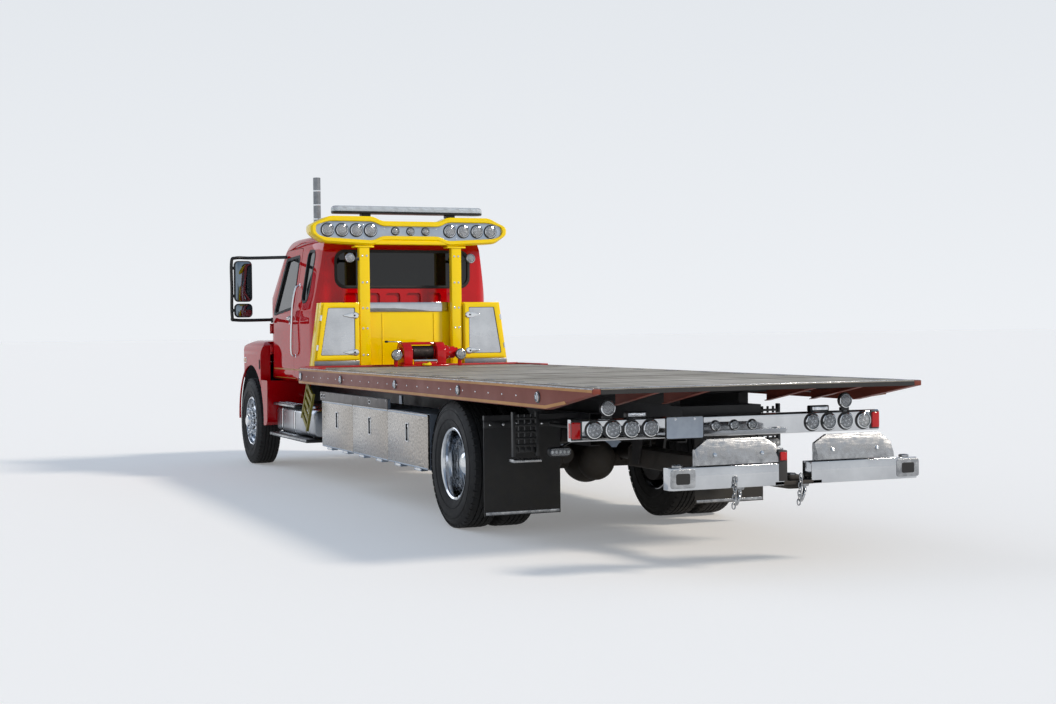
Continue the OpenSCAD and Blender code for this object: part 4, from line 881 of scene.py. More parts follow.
class TRUCK_OT_cab(bpy.types.Operator):
    """Builds the cab's skin, its window seals, visor, marker lamps, grab handles and wipers"""

    bl_idname = "truck.cab"
    bl_label = "Cab"

    def execute(self, context):
        skin = cab_skin(0.0, CAB_SHELL)
        for side in SIDES.values():
            skin.combine(Shape("red").prism(rounded(door_outline(0.0), 0.06, 5), "XZ", 0.71 * side,
                BEYOND * side))
            skin.combine(Shape("red").prism(rounded(quarter_window(0.0), 0.05, 5), "XZ", 0.74 * side,
                BEYOND * side))
            for z in HINGES_Z:
                skin.combine(Shape("red").box(DOOR_FRONT - 0.03, DOOR_FRONT + 0.03, (CAB_HALF - 0.05) * side,
                    BEYOND * side, z - 0.01, z + 0.13, edge=0))
        cut = Shape("red")
        y0, y1, z0, z1 = REAR_WINDOW
        cut.prism(round_rect(y0, y1, z0, z1, 0.11), "YZ", CAB_X - 0.05, CAB_X + 0.1)
        for side in SIDES.values():
            pane = [(0.016, SHIELD_LOW), (0.91, SHIELD_LOW), (0.81, SHIELD_HIGH), (0.016, SHIELD_HIGH)]
            cut.prism(rounded(flip(pane, side), 0.05, 5), "YZ", CAB_X + 1.5, COWL_X + 0.1)
        # pressed pockets under the rear window stiffen the back panel
        for y in (-0.6, -0.36, -0.12, 0.12, 0.36, 0.6):
            cut.prism(round_rect(y - 0.085, y + 0.085, z0 - 0.24, z0 - 0.07, 0.035), "YZ", CAB_X - 0.02,
                CAB_X + 0.026)
        cut.prism(round_rect(-0.86, 0.86, FLOOR_Z + 0.1, FLOOR_Z + 0.62, 0.06), "YZ", CAB_X - 0.02,
            CAB_X + 0.012)
        skin.combine(cut)
        for low, high in ((1.175, 1.19), (1.06, 1.07)):
            skin.absorb(band(low, high, CAB_X + 0.2, DOOR_REAR - 0.008))
        skin.absorb(seal(quarter_window, "XZ", 0.74, 1.3, (1, -1)))
        outer = round_rect(y0 - 0.02, y1 + 0.02, z0 - 0.02, z1 + 0.02, 0.12)
        inner = round_rect(y0 + 0.012, y1 - 0.012, z0 + 0.012, z1 - 0.012, 0.1)
        skin.ring(outer, inner, "YZ", CAB_X - 0.006, CAB_X + 0.02, "rubber", 0.003)
        # hinge ears, roof gutter, cab mounts
        for side in SIDES.values():
            for z in HINGES_Z:
                for foot in (z, z + 0.096):
                    ear = (DOOR_FRONT + 0.004, (CAB_HALF + 0.004) * side, foot)
                    skin.rod(ear, (0, 0, 1), 0.012, 0.024, "red", 16)
                skin.box(DOOR_FRONT + 0.004, DOOR_FRONT + 0.034, (CAB_HALF - 0.04) * side,
                    (CAB_HALF + 0.002) * side, z, z + 0.12, edge=0.003)
            for x in (CAB_X + 0.12, COWL_X - 0.2):
                skin.turned((x, 0.385 * side, FRAME_TOP + 0.001), (0, 0, 1),
                    [(0, 0), (0.07, 0), (0.07, 0.02), (0.05, 0.03), (0.05, 0.084), (0, 0.084)], "rubber", 24)
            gutter = smooth_path([(CAB_X + 0.2, 0.9 * side, ROOF_Z - 0.13),
                (CAB_X + 0.9, 0.905 * side, ROOF_Z - 0.125), (CAB_X + 1.45, 0.9 * side, ROOF_Z - 0.175)], 8)
            skin.tube(gutter, 0.008, "red", 8)
            # grab handle behind the door: bowed chrome tube on two feet
            top = Vector((DOOR_REAR - 0.07, 0.975 * side, 2.14))
            low = Vector((DOOR_REAR - 0.07, 1.035 * side, 1.34))
            out = Vector((0, 0.06 * side, 0))
            skin.tube(smooth_path([top, top + out * 0.8 + Vector((0, 0, -0.03)),
                top * 0.75 + low * 0.25 + out * 1.2, (top + low) / 2 + out * 1.2,
                top * 0.25 + low * 0.75 + out * 1.1, low + out * 0.8 + Vector((0, 0, 0.03)), low], 8), 0.013,
                "chrome", 14)
            for foot in (top, low):
                skin.turned(foot - out * 0.15, (0, side, 0), [(0, 0), (0.026, 0), (0.026, 0.01),
                    (0.016, 0.018), (0, 0.018)], "chrome", 20)
        skin.piece("cab", "chassis", "cab_red", "cab_shell", crease=30)

        visor = Shape("red")
        for side in SIDES.values():
            visor.box(CAB_X + 1.5, CAB_X + 1.53, 0.68 * side, 0.72 * side, ROOF_Z - 0.2, ROOF_Z - 0.11,
                "trim", 0.004)
        sections = []
        for y, drop in ((-0.8, 0.05), (-0.72, 0.015), (-0.4, 0.0), (0.0, -0.004), (0.4, 0.0), (0.72, 0.015),
                (0.8, 0.05)):
            top = ROOF_Z - 0.09 - drop
            sections.append([Vector((CAB_X + x, y, top + z)) for x, z in ((1.5, 0.0), (1.58, -0.005),
                (1.76, -0.06), (1.79, -0.09), (1.77, -0.095), (1.57, -0.025), (1.5, -0.018))])
        visor.loft(sections, "red")
        visor.piece("visor", "chassis", "cab_red", crease=40)

        markers = Shape("amber_lens", "chrome")
        for y in (-0.62, -0.22, 0.0, 0.22, 0.62):
            x, z = CAB_X + 1.36, ROOF_Z - 0.045 - abs(y) * 0.028
            markers.box(x - 0.05, x + 0.045, y - 0.032, y + 0.032, z - 0.012, z + 0.008, "chrome", 0.004)
            markers.loft([[Vector((x + a, y + b * s, z + 0.006 + c * s))
                for b, c in ((-0.026, 0), (-0.022, 0.018), (-0.01, 0.028), (0.01, 0.028), (0.022, 0.018),
                (0.026, 0))] for a, s in ((-0.045, 0.4), (-0.03, 0.85), (0.0, 1.0), (0.025, 0.95),
                (0.04, 0.5))], "amber_lens")
        markers.piece("roof_markers", "chassis", "chrome", crease=40)
        self.wipers()
        return {"FINISHED"}

    def wipers(self):
        """Two wipers resting low on the windscreen."""
        low, high = Vector((COWL_X + 0.01, 0, FLOOR_Z + 0.88)), Vector((CAB_X + 1.6, 0, ROOF_Z - 0.15))
        up = (high - low).normalized()
        out = Vector((up.z, 0, -up.x))
        made = Shape("trim")
        for side in SIDES.values():
            pivot = low + Vector((0, 0.2 * side, 0)) + out * 0.006
            made.turned(pivot - out * 0.01, out, [(0, 0), (0.02, 0), (0.02, 0.016), (0.012, 0.026),
                (0, 0.026)], "trim", 20)
            mid = low + Vector((0, 0.52 * side, 0)) + up * 0.115 + out * 0.022
            made.tube([pivot + out * 0.012, pivot * 0.4 + mid * 0.6 + out * 0.012, mid], 0.006, "trim", 8)
            ends = [low + Vector((0, y * side, 0)) + up * h + out * 0.012
                for y, h in ((0.24, 0.085), (0.82, 0.145))]
            made.tube([ends[0] + out * 0.008, mid, ends[1] + out * 0.008], 0.005, "trim", 8)
            made.tube(ends, 0.0035, "rubber", 6)
        made.piece("wipers", "chassis", "black_plastic", crease=40)


class TRUCK_OT_doors(bpy.types.Operator):
    """Builds each door's skin with its window seal, handle, stripes and mirror"""

    bl_idname = "truck.doors"
    bl_label = "Doors and mirrors"

    def execute(self, context):
        for name, side in SIDES.items():
            made = cab_skin(0.0, CAB_SHELL)
            made.combine(Shape("red").prism(rounded(door_outline(0.006), 0.06, 5), "XZ", 0.71 * side,
                BEYOND * side), "INTERSECT")
            made.combine(Shape("red").prism(rounded(door_window(0.0), 0.05, 5), "XZ", 0.7 * side,
                BEYOND * side))
            cut = Shape("red")
            cut.box(DOOR_REAR - 0.1, DOOR_FRONT + 0.1, 0.6 * side, (CAB_HALF - 0.062) * side, FLOOR_Z - 0.1,
                BELT_Z - 0.2, edge=0)
            for z in HINGES_Z:
                for low, high in ((z - 0.002, z + 0.026), (z + 0.094, z + 0.122)):
                    cut.box(DOOR_FRONT - 0.02, DOOR_FRONT + 0.03, (CAB_HALF - 0.03) * side, BEYOND * side,
                        low, high, edge=0)
            made.combine(cut)
            for low, high in ((1.175, 1.19), (1.075, 1.085)):
                made.absorb(self.stripe(low, high, side))
            trim = seal(door_window, "XZ", 0.7, 1.3, (side,))
            made.absorb(trim)
            x, z = DOOR_REAR + 0.14, FLOOR_Z + 0.72
            made.box(x - 0.075, x + 0.085, (CAB_HALF - 0.01) * side, (CAB_HALF + 0.004) * side, z - 0.032,
                z + 0.032, "trim", 0.01, 3)
            made.box(x - 0.06, x + 0.07, (CAB_HALF + 0.012) * side, (CAB_HALF + 0.03) * side, z - 0.012,
                z + 0.02, "chrome", 0.007, 3)
            for dx in (-0.045, 0.055):
                made.box(x + dx - 0.01, x + dx + 0.01, CAB_HALF * side, (CAB_HALF + 0.02) * side, z - 0.008,
                    z + 0.016, "chrome", 0.003)
            made.turned((x + 0.02, CAB_HALF * side, z - 0.055), (0, side, 0),
                [(0, 0), (0.014, 0), (0.014, 0.006), (0.01, 0.009), (0, 0.009)], "chrome", 18)
            for z in HINGES_Z:
                made.rod((DOOR_FRONT + 0.004, (CAB_HALF + 0.004) * side, z + 0.026), (0, 0, 1), 0.012, 0.068,
                    "red", 16)
                made.box(DOOR_FRONT - 0.04, DOOR_FRONT + 0.002, (CAB_HALF - 0.012) * side,
                    (CAB_HALF + 0.005) * side, z + 0.027, z + 0.093, edge=0.003)
            made.piece(f"door_{name}_skin", f"door_{name}", "cab_red", f"door_{name}", crease=30)
            card = Shape("coarse")
            card.prism(rounded([(DOOR_REAR + 0.05, FLOOR_Z + 0.08), (DOOR_FRONT - 0.22, FLOOR_Z + 0.08),
                (DOOR_FRONT - 0.1, FLOOR_Z + 0.4), (DOOR_FRONT - 0.1, BELT_Z - 0.09),
                (DOOR_REAR + 0.05, BELT_Z - 0.02)], 0.05), "XZ", (CAB_HALF - 0.056) * side,
                (CAB_HALF - 0.048) * side, edge=0.003)
            card.box(DOOR_REAR + 0.15, DOOR_FRONT - 0.3, (CAB_HALF - 0.1) * side, (CAB_HALF - 0.055) * side,
                FLOOR_Z + 0.5, FLOOR_Z + 0.56, "coarse", 0.012, 3)
            card.piece(f"door_{name}_card", f"door_{name}", "dash", crease=40)
            self.wing_mirror(name, side)
        return {"FINISHED"}

    def stripe(self, low, high, side):
        """A strip of tape on one door."""
        made = band(low, high, DOOR_REAR + 0.012, DOOR_FRONT - 0.09)
        keep = Shape("stripe")
        keep.box(DOOR_REAR - 0.1, DOOR_FRONT + 0.1, 0.5 * side, BEYOND * side, low - 0.1, high + 0.1, edge=0)
        return made.combine(keep, "INTERSECT")

    def wing_mirror(self, name, side):
        """A tall mirror and a small convex one in a bent tube frame."""
        low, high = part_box(f"mirror_{name}")
        x = DOOR_FRONT - 0.08
        y0 = CAB_HALF + 0.25
        y1 = max(abs(low.y), abs(high.y)) - 0.012
        top, foot = high.z - 0.014, BELT_Z - 0.085
        made = Shape("coarse")
        frame_line = smooth_path([(CAB_X + 1.54, 0.93 * side, top), (x - 0.02, y0 * side, top),
            (x, (y1 - 0.05) * side, top), (x, y1 * side, top - 0.05), (x, y1 * side, (top + foot) / 2),
            (x, y1 * side, foot + 0.05), (x, (y1 - 0.05) * side, foot), (x, (CAB_HALF + 0.01) * side, foot)],
            8)
        made.tube(frame_line, 0.019, "trim", 14)
        for z0, z1 in ((BELT_Z + 0.13, top - 0.035), (BELT_Z - 0.055, BELT_Z + 0.11)):
            face = round_rect(y0 + 0.002, y1 - 0.024, z0, z1, 0.05, 6)
            my, mz = (y0 + y1 - 0.02) / 2, (z0 + z1) / 2
            sections = [[Vector((x + dx, (my + (y - my) * k) * side, mz + (z - mz) * k)) for y, z in face]
                for dx, k in ((-0.045, 0.97), (-0.04, 1.0), (0.0, 1.0), (0.035, 0.93), (0.055, 0.7))]
            made.loft(sections, "coarse")
            glass = round_rect(y0 + 0.014, y1 - 0.036, z0 + 0.012, z1 - 0.012, 0.04, 6)
            made.prism(flip(glass, side), "YZ", x - 0.049, x - 0.044, "mirror", 0.001)
        for z in (top - 0.12, BELT_Z + 0.2, BELT_Z + 0.03):
            made.box(x - 0.02, x + 0.02, (y1 - 0.04) * side, (y1 + 0.006) * side, z - 0.018, z + 0.018,
                "trim", 0.004)
        made.box(x - 0.02, x + 0.02, (CAB_HALF + 0.0005) * side, (CAB_HALF + 0.02) * side, foot - 0.036,
            foot + 0.026, "trim", 0.005)
        made.piece(f"wing_mirror_{name}", f"door_{name}", "black_plastic", f"mirror_{name}", crease=40)


class TRUCK_OT_hood(bpy.types.Operator):
    """Builds the hood with its fenders, the grille, headlamps and bumper"""

    bl_idname = "truck.hood"
    bl_label = "Hood, grille and bumper"

    def execute(self, context):
        made = self.bonnet(0.0)
        for side in SIDES.values():
            made.combine(self.fender(0.0, side), "UNION")
        made.soften(0.022, 22.0, 3)
        made.combine(self.bonnet(PANEL))
        for side in SIDES.values():
            made.combine(self.fender(PANEL, side))
            made.combine(self.arch(side))
            made.combine(Shape("red").box(WHEEL_BASE - ARCH_R, WHEEL_BASE + ARCH_R, 0.56 * side, 1.5 * side,
                -0.01, AXLE_Z + 0.04, edge=0))
        made.combine(Shape("red").box(COWL_X - 0.9, COWL_X + 0.014, -CAB_HALF - 0.008, CAB_HALF + 0.008, 0,
            ROOF_Z, edge=0))
        made.combine(Shape("red").box(COWL_X - 0.9, DOOR_FRONT + 0.03, -1.5, 1.5, -0.01, ROOF_Z + 0.01,
            edge=0))
        cut = Shape("red")
        cut.box(COWL_X - 0.6, FRONT_X + 0.2, -0.57, 0.57, -0.02, HOOD_HINGE_Z + 0.02, edge=0)
        cut.prism(round_rect(-0.43, 0.43, HOOD_HINGE_Z + 0.06, FLOOR_Z + 0.4, 0.07), "YZ", NOSE_X - 0.2,
            NOSE_X + 0.1)
        for side in SIDES.values():
            cut.prism(round_rect(min(0.7 * side, 1.0 * side), max(0.7 * side, 1.0 * side), FLOOR_Z - 0.04,
                FLOOR_Z + 0.19, 0.05), "YZ", NOSE_X - 0.26, NOSE_X + 0.1)
        made.combine(cut)
        for side in SIDES.values():
            # the closed rear end of each fender, beside the door
            end = self.fender(0.006, side)
            end.combine(Shape("red").box(DOOR_FRONT + 0.0305, DOOR_FRONT + 0.045, (CAB_HALF + 0.0085) * side,
                1.5 * side, 0.5, ROOF_Z, edge=0), "INTERSECT")
            end.combine(self.arch(side))
            made.absorb(end)
            # moulded liner over the wheel
            arcs = [[(WHEEL_BASE + r * math.cos(math.radians(a)),
                AXLE_Z + 0.04 + r * math.sin(math.radians(a))) for a in range(4, 145, 5)]
                for r in (ARCH_R - 0.003, ARCH_R - 0.011)]
            made.prism(arcs[0] + arcs[1][::-1], "XZ", 0.585 * side, (HOOD_HALF - 0.03) * side, "coarse")
            turns = [math.radians(a) for a in range(-3, 184, 5)]
            lip = [(WHEEL_BASE + (ARCH_R + 0.004) * math.cos(t), (HOOD_HALF - 0.012) * side,
                AXLE_Z + 0.04 + (ARCH_R + 0.004) * math.sin(t)) for t in turns]
            lip = [p for p in lip if p[0] > DOOR_FRONT + 0.035]
            made.tube(lip, 0.012, "red", 10)
        for y in (0.56, -0.67):
            made.rod((NOSE_X + 0.014, y + 0.025, HOOD_HINGE_Z), (0, 1, 0), 0.012, 0.06, "under", 16)
            made.box(NOSE_X - 0.028, NOSE_X + 0.006, y + 0.027, y + 0.083, HOOD_HINGE_Z - 0.01,
                HOOD_HINGE_Z + 0.055, "under", 0.003)
        # side vents and catches
        for side in SIDES.values():
            for k in range(4):
                z = FLOOR_Z + 0.33 + k * 0.035
                made.box(COWL_X + 0.12, COWL_X + 0.3, 0.752 * side, 0.765 * side, z + 0.22, z + 0.235, "trim",
                    0.004)
            made.box(DOOR_FRONT + 0.06, DOOR_FRONT + 0.1, (HOOD_HALF - 0.02) * side,
                (HOOD_HALF + 0.006) * side, FLOOR_Z + 0.12, FLOOR_Z + 0.24, "rubber", 0.008, 3)
            lens = round_rect(WHEEL_BASE + 0.22, WHEEL_BASE + 0.34, FLOOR_Z + 0.2, FLOOR_Z + 0.25, 0.02, 4)
            rim = round_rect(WHEEL_BASE + 0.21, WHEEL_BASE + 0.35, FLOOR_Z + 0.19, FLOOR_Z + 0.26, 0.025, 4)
            y = (HOOD_HALF - 0.02) * side
            made.prism(lens, "XZ", y, (HOOD_HALF + 0.006) * side, "amber_lens", 0.004)
            made.ring(rim, lens, "XZ", y, (HOOD_HALF + 0.003) * side, "chrome", 0.001)
        made.piece("hood_skin", "hood", "cab_red", "hood", crease=30)
        self.grille()
        self.bumper()
        self.skirts()
        return {"FINISHED"}

    def bonnet(self, g):
        """The bonnet's form, moved in by g."""
        made = Shape("red")
        made.prism(rounded([(COWL_X - 0.05, FLOOR_Z - 0.3), (COWL_X - 0.05, FLOOR_Z + 0.84 - g),
            (WHEEL_BASE + 0.15, FLOOR_Z + 0.69 - g), (NOSE_X - 0.13 - g, FLOOR_Z + 0.56 - g),
            (NOSE_X - 0.03 - g, FLOOR_Z + 0.43 - g), (NOSE_X - g, FLOOR_Z + 0.2),
            (NOSE_X - g, HOOD_HINGE_Z + 0.02)], 0.1, 6), "XZ", -0.76 + g, 0.76 - g)
        end = Shape("red")
        half = [(0.76 - g, HOOD_HINGE_Z - 0.1), (0.76 - g, FLOOR_Z + 0.42 - g), (0.62 - g, FLOOR_Z + 0.6 - g),
                (0.43 - g * 0.6, FLOOR_Z + 0.76 - g), (0.0, FLOOR_Z + 0.85 - g)]
        end.prism(rounded(half + [(-y, z) for y, z in reversed(half[:-1])], 0.12, 6), "YZ", COWL_X - 0.1,
            FRONT_X + 0.1)
        return made.combine(end, "INTERSECT")

    def arch(self, side):
        """The round hole over one front wheel."""
        return Shape("red").rod((WHEEL_BASE, 0.56 * side, AXLE_Z + 0.04), (0, side, 0), ARCH_R, 1.0, sides=64)

    def fender(self, g, side):
        """One front fender's form, moved in by g."""
        made = Shape("red")
        made.prism(rounded([(SKIRT_X + 0.03 + g, AXLE_Z - 0.02), (SKIRT_X + g, FLOOR_Z + 0.06),
            (WHEEL_BASE - ARCH_R - 0.04 + g, FLOOR_Z + 0.33 - g * 0.7),
            (WHEEL_BASE - 0.42, FLOOR_Z + 0.455 - g), (WHEEL_BASE + 0.1, FLOOR_Z + 0.47 - g),
            (WHEEL_BASE + 0.48, FLOOR_Z + 0.4 - g), (NOSE_X - 0.09 - g, FLOOR_Z + 0.24 - g * 0.6),
            (NOSE_X - 0.06 - g, HOOD_HINGE_Z + 0.02), (WHEEL_BASE + 0.2, AXLE_Z - 0.02)], 0.1, 6), "XZ",
            0.64 * side, (HOOD_HALF - g) * side)
        plan = Shape("red")
        plan.prism(rounded(flip_plan(((WHEEL_BASE - 1.2, 0.64 - g), (WHEEL_BASE - 1.2, HOOD_HALF - g),
            (WHEEL_BASE + 0.43, HOOD_HALF - g), (NOSE_X - 0.06 - g, HOOD_HALF - 0.23 - g),
            (NOSE_X - g, 0.64 - g)), side), 0.12, 6), "XY", 0, ROOF_Z)
        made.combine(plan, "INTERSECT")
        end = Shape("red")
        end.prism(rounded(flip(((0.63, 0.01), (HOOD_HALF - g, 0.01), (HOOD_HALF - g, FLOOR_Z + 0.33 - g),
            (HOOD_HALF - 0.05 - g, FLOOR_Z + 0.43 - g), (HOOD_HALF - 0.15 - g, FLOOR_Z + 0.48 - g),
            (0.63, FLOOR_Z + 0.5 - g)), side), 0.09, 6), "YZ", WHEEL_BASE - 1.3, WHEEL_BASE + 1.3)
        return made.combine(end, "INTERSECT")

    def skirts(self):
        """The fixed panels that carry the fenders back under the doors."""
        made = Shape("red")
        for side in SIDES.values():
            part = self.fender(0.0, side)
            part.combine(self.fender(PANEL, side))
            part.combine(self.arch(side))
            part.combine(Shape("red").box(WHEEL_BASE - ARCH_R - 0.3, DOOR_FRONT + 0.01, 0.6 * side,
                1.5 * side, AXLE_Z - 0.03, FLOOR_Z - 0.006, edge=0), "INTERSECT")
            part.combine(Shape("red").box(WHEEL_BASE - ARCH_R, WHEEL_BASE + ARCH_R, 0.5 * side, 1.6 * side,
                -0.01, AXLE_Z + 0.04, edge=0))
            made.absorb(part)
            made.box(SKIRT_X + 0.025, SKIRT_X + 0.065, RAIL_FACE * side, 0.74 * side, FRAME_BOTTOM + 0.02,
                FRAME_BOTTOM + 0.08, "under", 0.004)
        made.piece("cab_skirt_panels", "chassis", "cab_red", "cab_skirts", crease=30)

    def grille(self):
        """Chrome surround with bars across a dark core, and the headlamps."""
        made = Shape("trim")
        z0, z1 = HOOD_HINGE_Z + 0.06, FLOOR_Z + 0.4
        made.prism(round_rect(-0.429, 0.429, z0 + 0.001, z1 - 0.001, 0.07), "YZ", NOSE_X - 0.06,
            NOSE_X - 0.045, "trim")
        made.ring(round_rect(-0.4295, 0.4295, z0 + 0.0005, z1 - 0.0005, 0.07),
            round_rect(-0.385, 0.385, z0 + 0.045, z1 - 0.045, 0.05), "YZ", NOSE_X - 0.055, NOSE_X - 0.004,
            "chrome", 0.006)
        for side in SIDES.values():
            y0, y1 = sorted((0.701 * side, 0.999 * side))
            low, high = FLOOR_Z - 0.039, FLOOR_Z + 0.189
            made.ring(round_rect(y0, y1, low, high, 0.05), round_rect(y0 + 0.02, y1 - 0.02, low + 0.02,
                high - 0.02, 0.035), "YZ", NOSE_X - 0.18, NOSE_X - 0.09, "chrome", 0.004)
            made.prism(round_rect(y0 + 0.012, y1 - 0.012, low + 0.012, high - 0.012, 0.04), "YZ",
                NOSE_X - 0.178, NOSE_X - 0.165, "reflector")
            for y, radius in ((0.78 * side, 0.06), (0.915 * side, 0.06)):
                made.turned((NOSE_X - 0.15, y, (low + high) / 2), (1, 0, 0),
                    [(0, -0.01), (radius * 0.4, -0.008), (radius, 0.03), (radius * 1.08, 0.034),
                    (radius * 1.08, -0.012), (0, -0.014)], "reflector", 32)
                made.turned((NOSE_X - 0.15, y, (low + high) / 2), (1, 0, 0),
                    [(0, 0), (0.014, 0), (0.012, 0.02), (0, 0.024)], "diode", 16)
            made.prism(round_rect(y0 + 0.015, y1 - 0.015, low + 0.015, high - 0.015, 0.038), "YZ",
                NOSE_X - 0.104, NOSE_X - 0.098, "lens", 0.002)
        made.piece("grille_frame", "hood", "black_plastic", "grille", crease=40)
        bar = Shape("chrome")
        bar.prism(round_rect(NOSE_X - 0.045, NOSE_X - 0.012, z0 + 0.06, z0 + 0.078, 0.008, 3), "XZ", -0.39,
            0.39, "chrome")
        step = (z1 - z0 - 0.13) / 11
        bars = repeat(bar, "grille_bars", 12, step=(0, 0, step))
        upright = Shape("chrome")
        upright.box(NOSE_X - 0.05, NOSE_X - 0.02, -0.382, -0.374, z0 + 0.04, z1 - 0.04, "chrome", 0.002)
        uprights = repeat(upright, "grille_uprights", 9, step=(0, 0.0945, 0))
        repeated_piece([bars, uprights], "grille_bars", "hood", "chrome")

    def bumper(self):
        """A chrome bumper with swept ends, tow pin holes and fog lamps."""
        wing = HOOD_HALF - 0.03
        z0, z1 = FRAME_BOTTOM - 0.24, FRAME_BOTTOM + 0.02
        rear = WHEEL_BASE + AXLE_Z + 0.03
        outer = [(rear, wing), (FRONT_X - 0.12, wing), (FRONT_X, wing - 0.26), (FRONT_X, -wing + 0.26),
            (FRONT_X - 0.12, -wing), (rear, -wing)]
        inner = [(rear, -wing + 0.04), (FRONT_X - 0.15, -wing + 0.06), (FRONT_X - 0.06, -wing + 0.29),
            (FRONT_X - 0.06, wing - 0.29), (FRONT_X - 0.15, wing - 0.06), (rear, wing - 0.04)]
        made = Shape("chrome")
        made.prism(rounded(outer + inner, 0.07, 6), "XY", z0, z1, "chrome")
        made.soften(0.014, 40.0, 3)
        for side in SIDES.values():
            made.combine(Shape("trim").rod((FRONT_X - 0.1, 0.5 * side, FRAME_BOTTOM - 0.12), (1, 0, 0), 0.02,
                0.2, sides=32))
            made.combine(Shape("trim").rod((FRONT_X - 0.03, 0.72 * side, FRAME_BOTTOM - 0.11), (1, 0, 0),
                0.06, 0.2, sides=32))
            lamp(made, (FRONT_X - 0.018, 0.72 * side, FRAME_BOTTOM - 0.11), (1, 0, 0), 0.055, diodes=0,
                depth=0.02)
            y0, y1 = sorted((0.34 * side, 0.43 * side))
            horn = FRONT_X - 0.13
            made.box(horn + 0.0003, FRONT_X - 0.06, y0, y1, FRAME_BOTTOM - 0.2, FRAME_BOTTOM + 0.02, "under",
                0.003)
            made.box(horn - 0.06, horn + 0.0003, y0, y1, FRAME_BOTTOM - 0.2, FRAME_BOTTOM - 0.0003, "under",
                0.0)
        made.box(FRONT_X - 0.004, FRONT_X + 0.003, -0.16, 0.16, FRAME_BOTTOM - 0.19, FRAME_BOTTOM - 0.06,
            "trim", 0.003)
        made.piece("bumper", "chassis", "chrome", "front_bumper", crease=30)


# ---------- deck, headboard and winch ----------

BOARD_X = DECK_FRONT + 0.0003
TAPER_X = DECK_TAIL + 0.76
RAIL_H = RAIL_HIGH.z - RAIL_LOW.z
CABINET_TOP = DECK_Z + 0.7
POST_TOP = DECK_Z + 1.32
PYLON_TOP = POST_TOP + 0.32
PYLON_HALF = 1.134
# How far the outer edge of a cabinet leans in for each metre up
CABINET_LEAN = 0.095 / 0.7


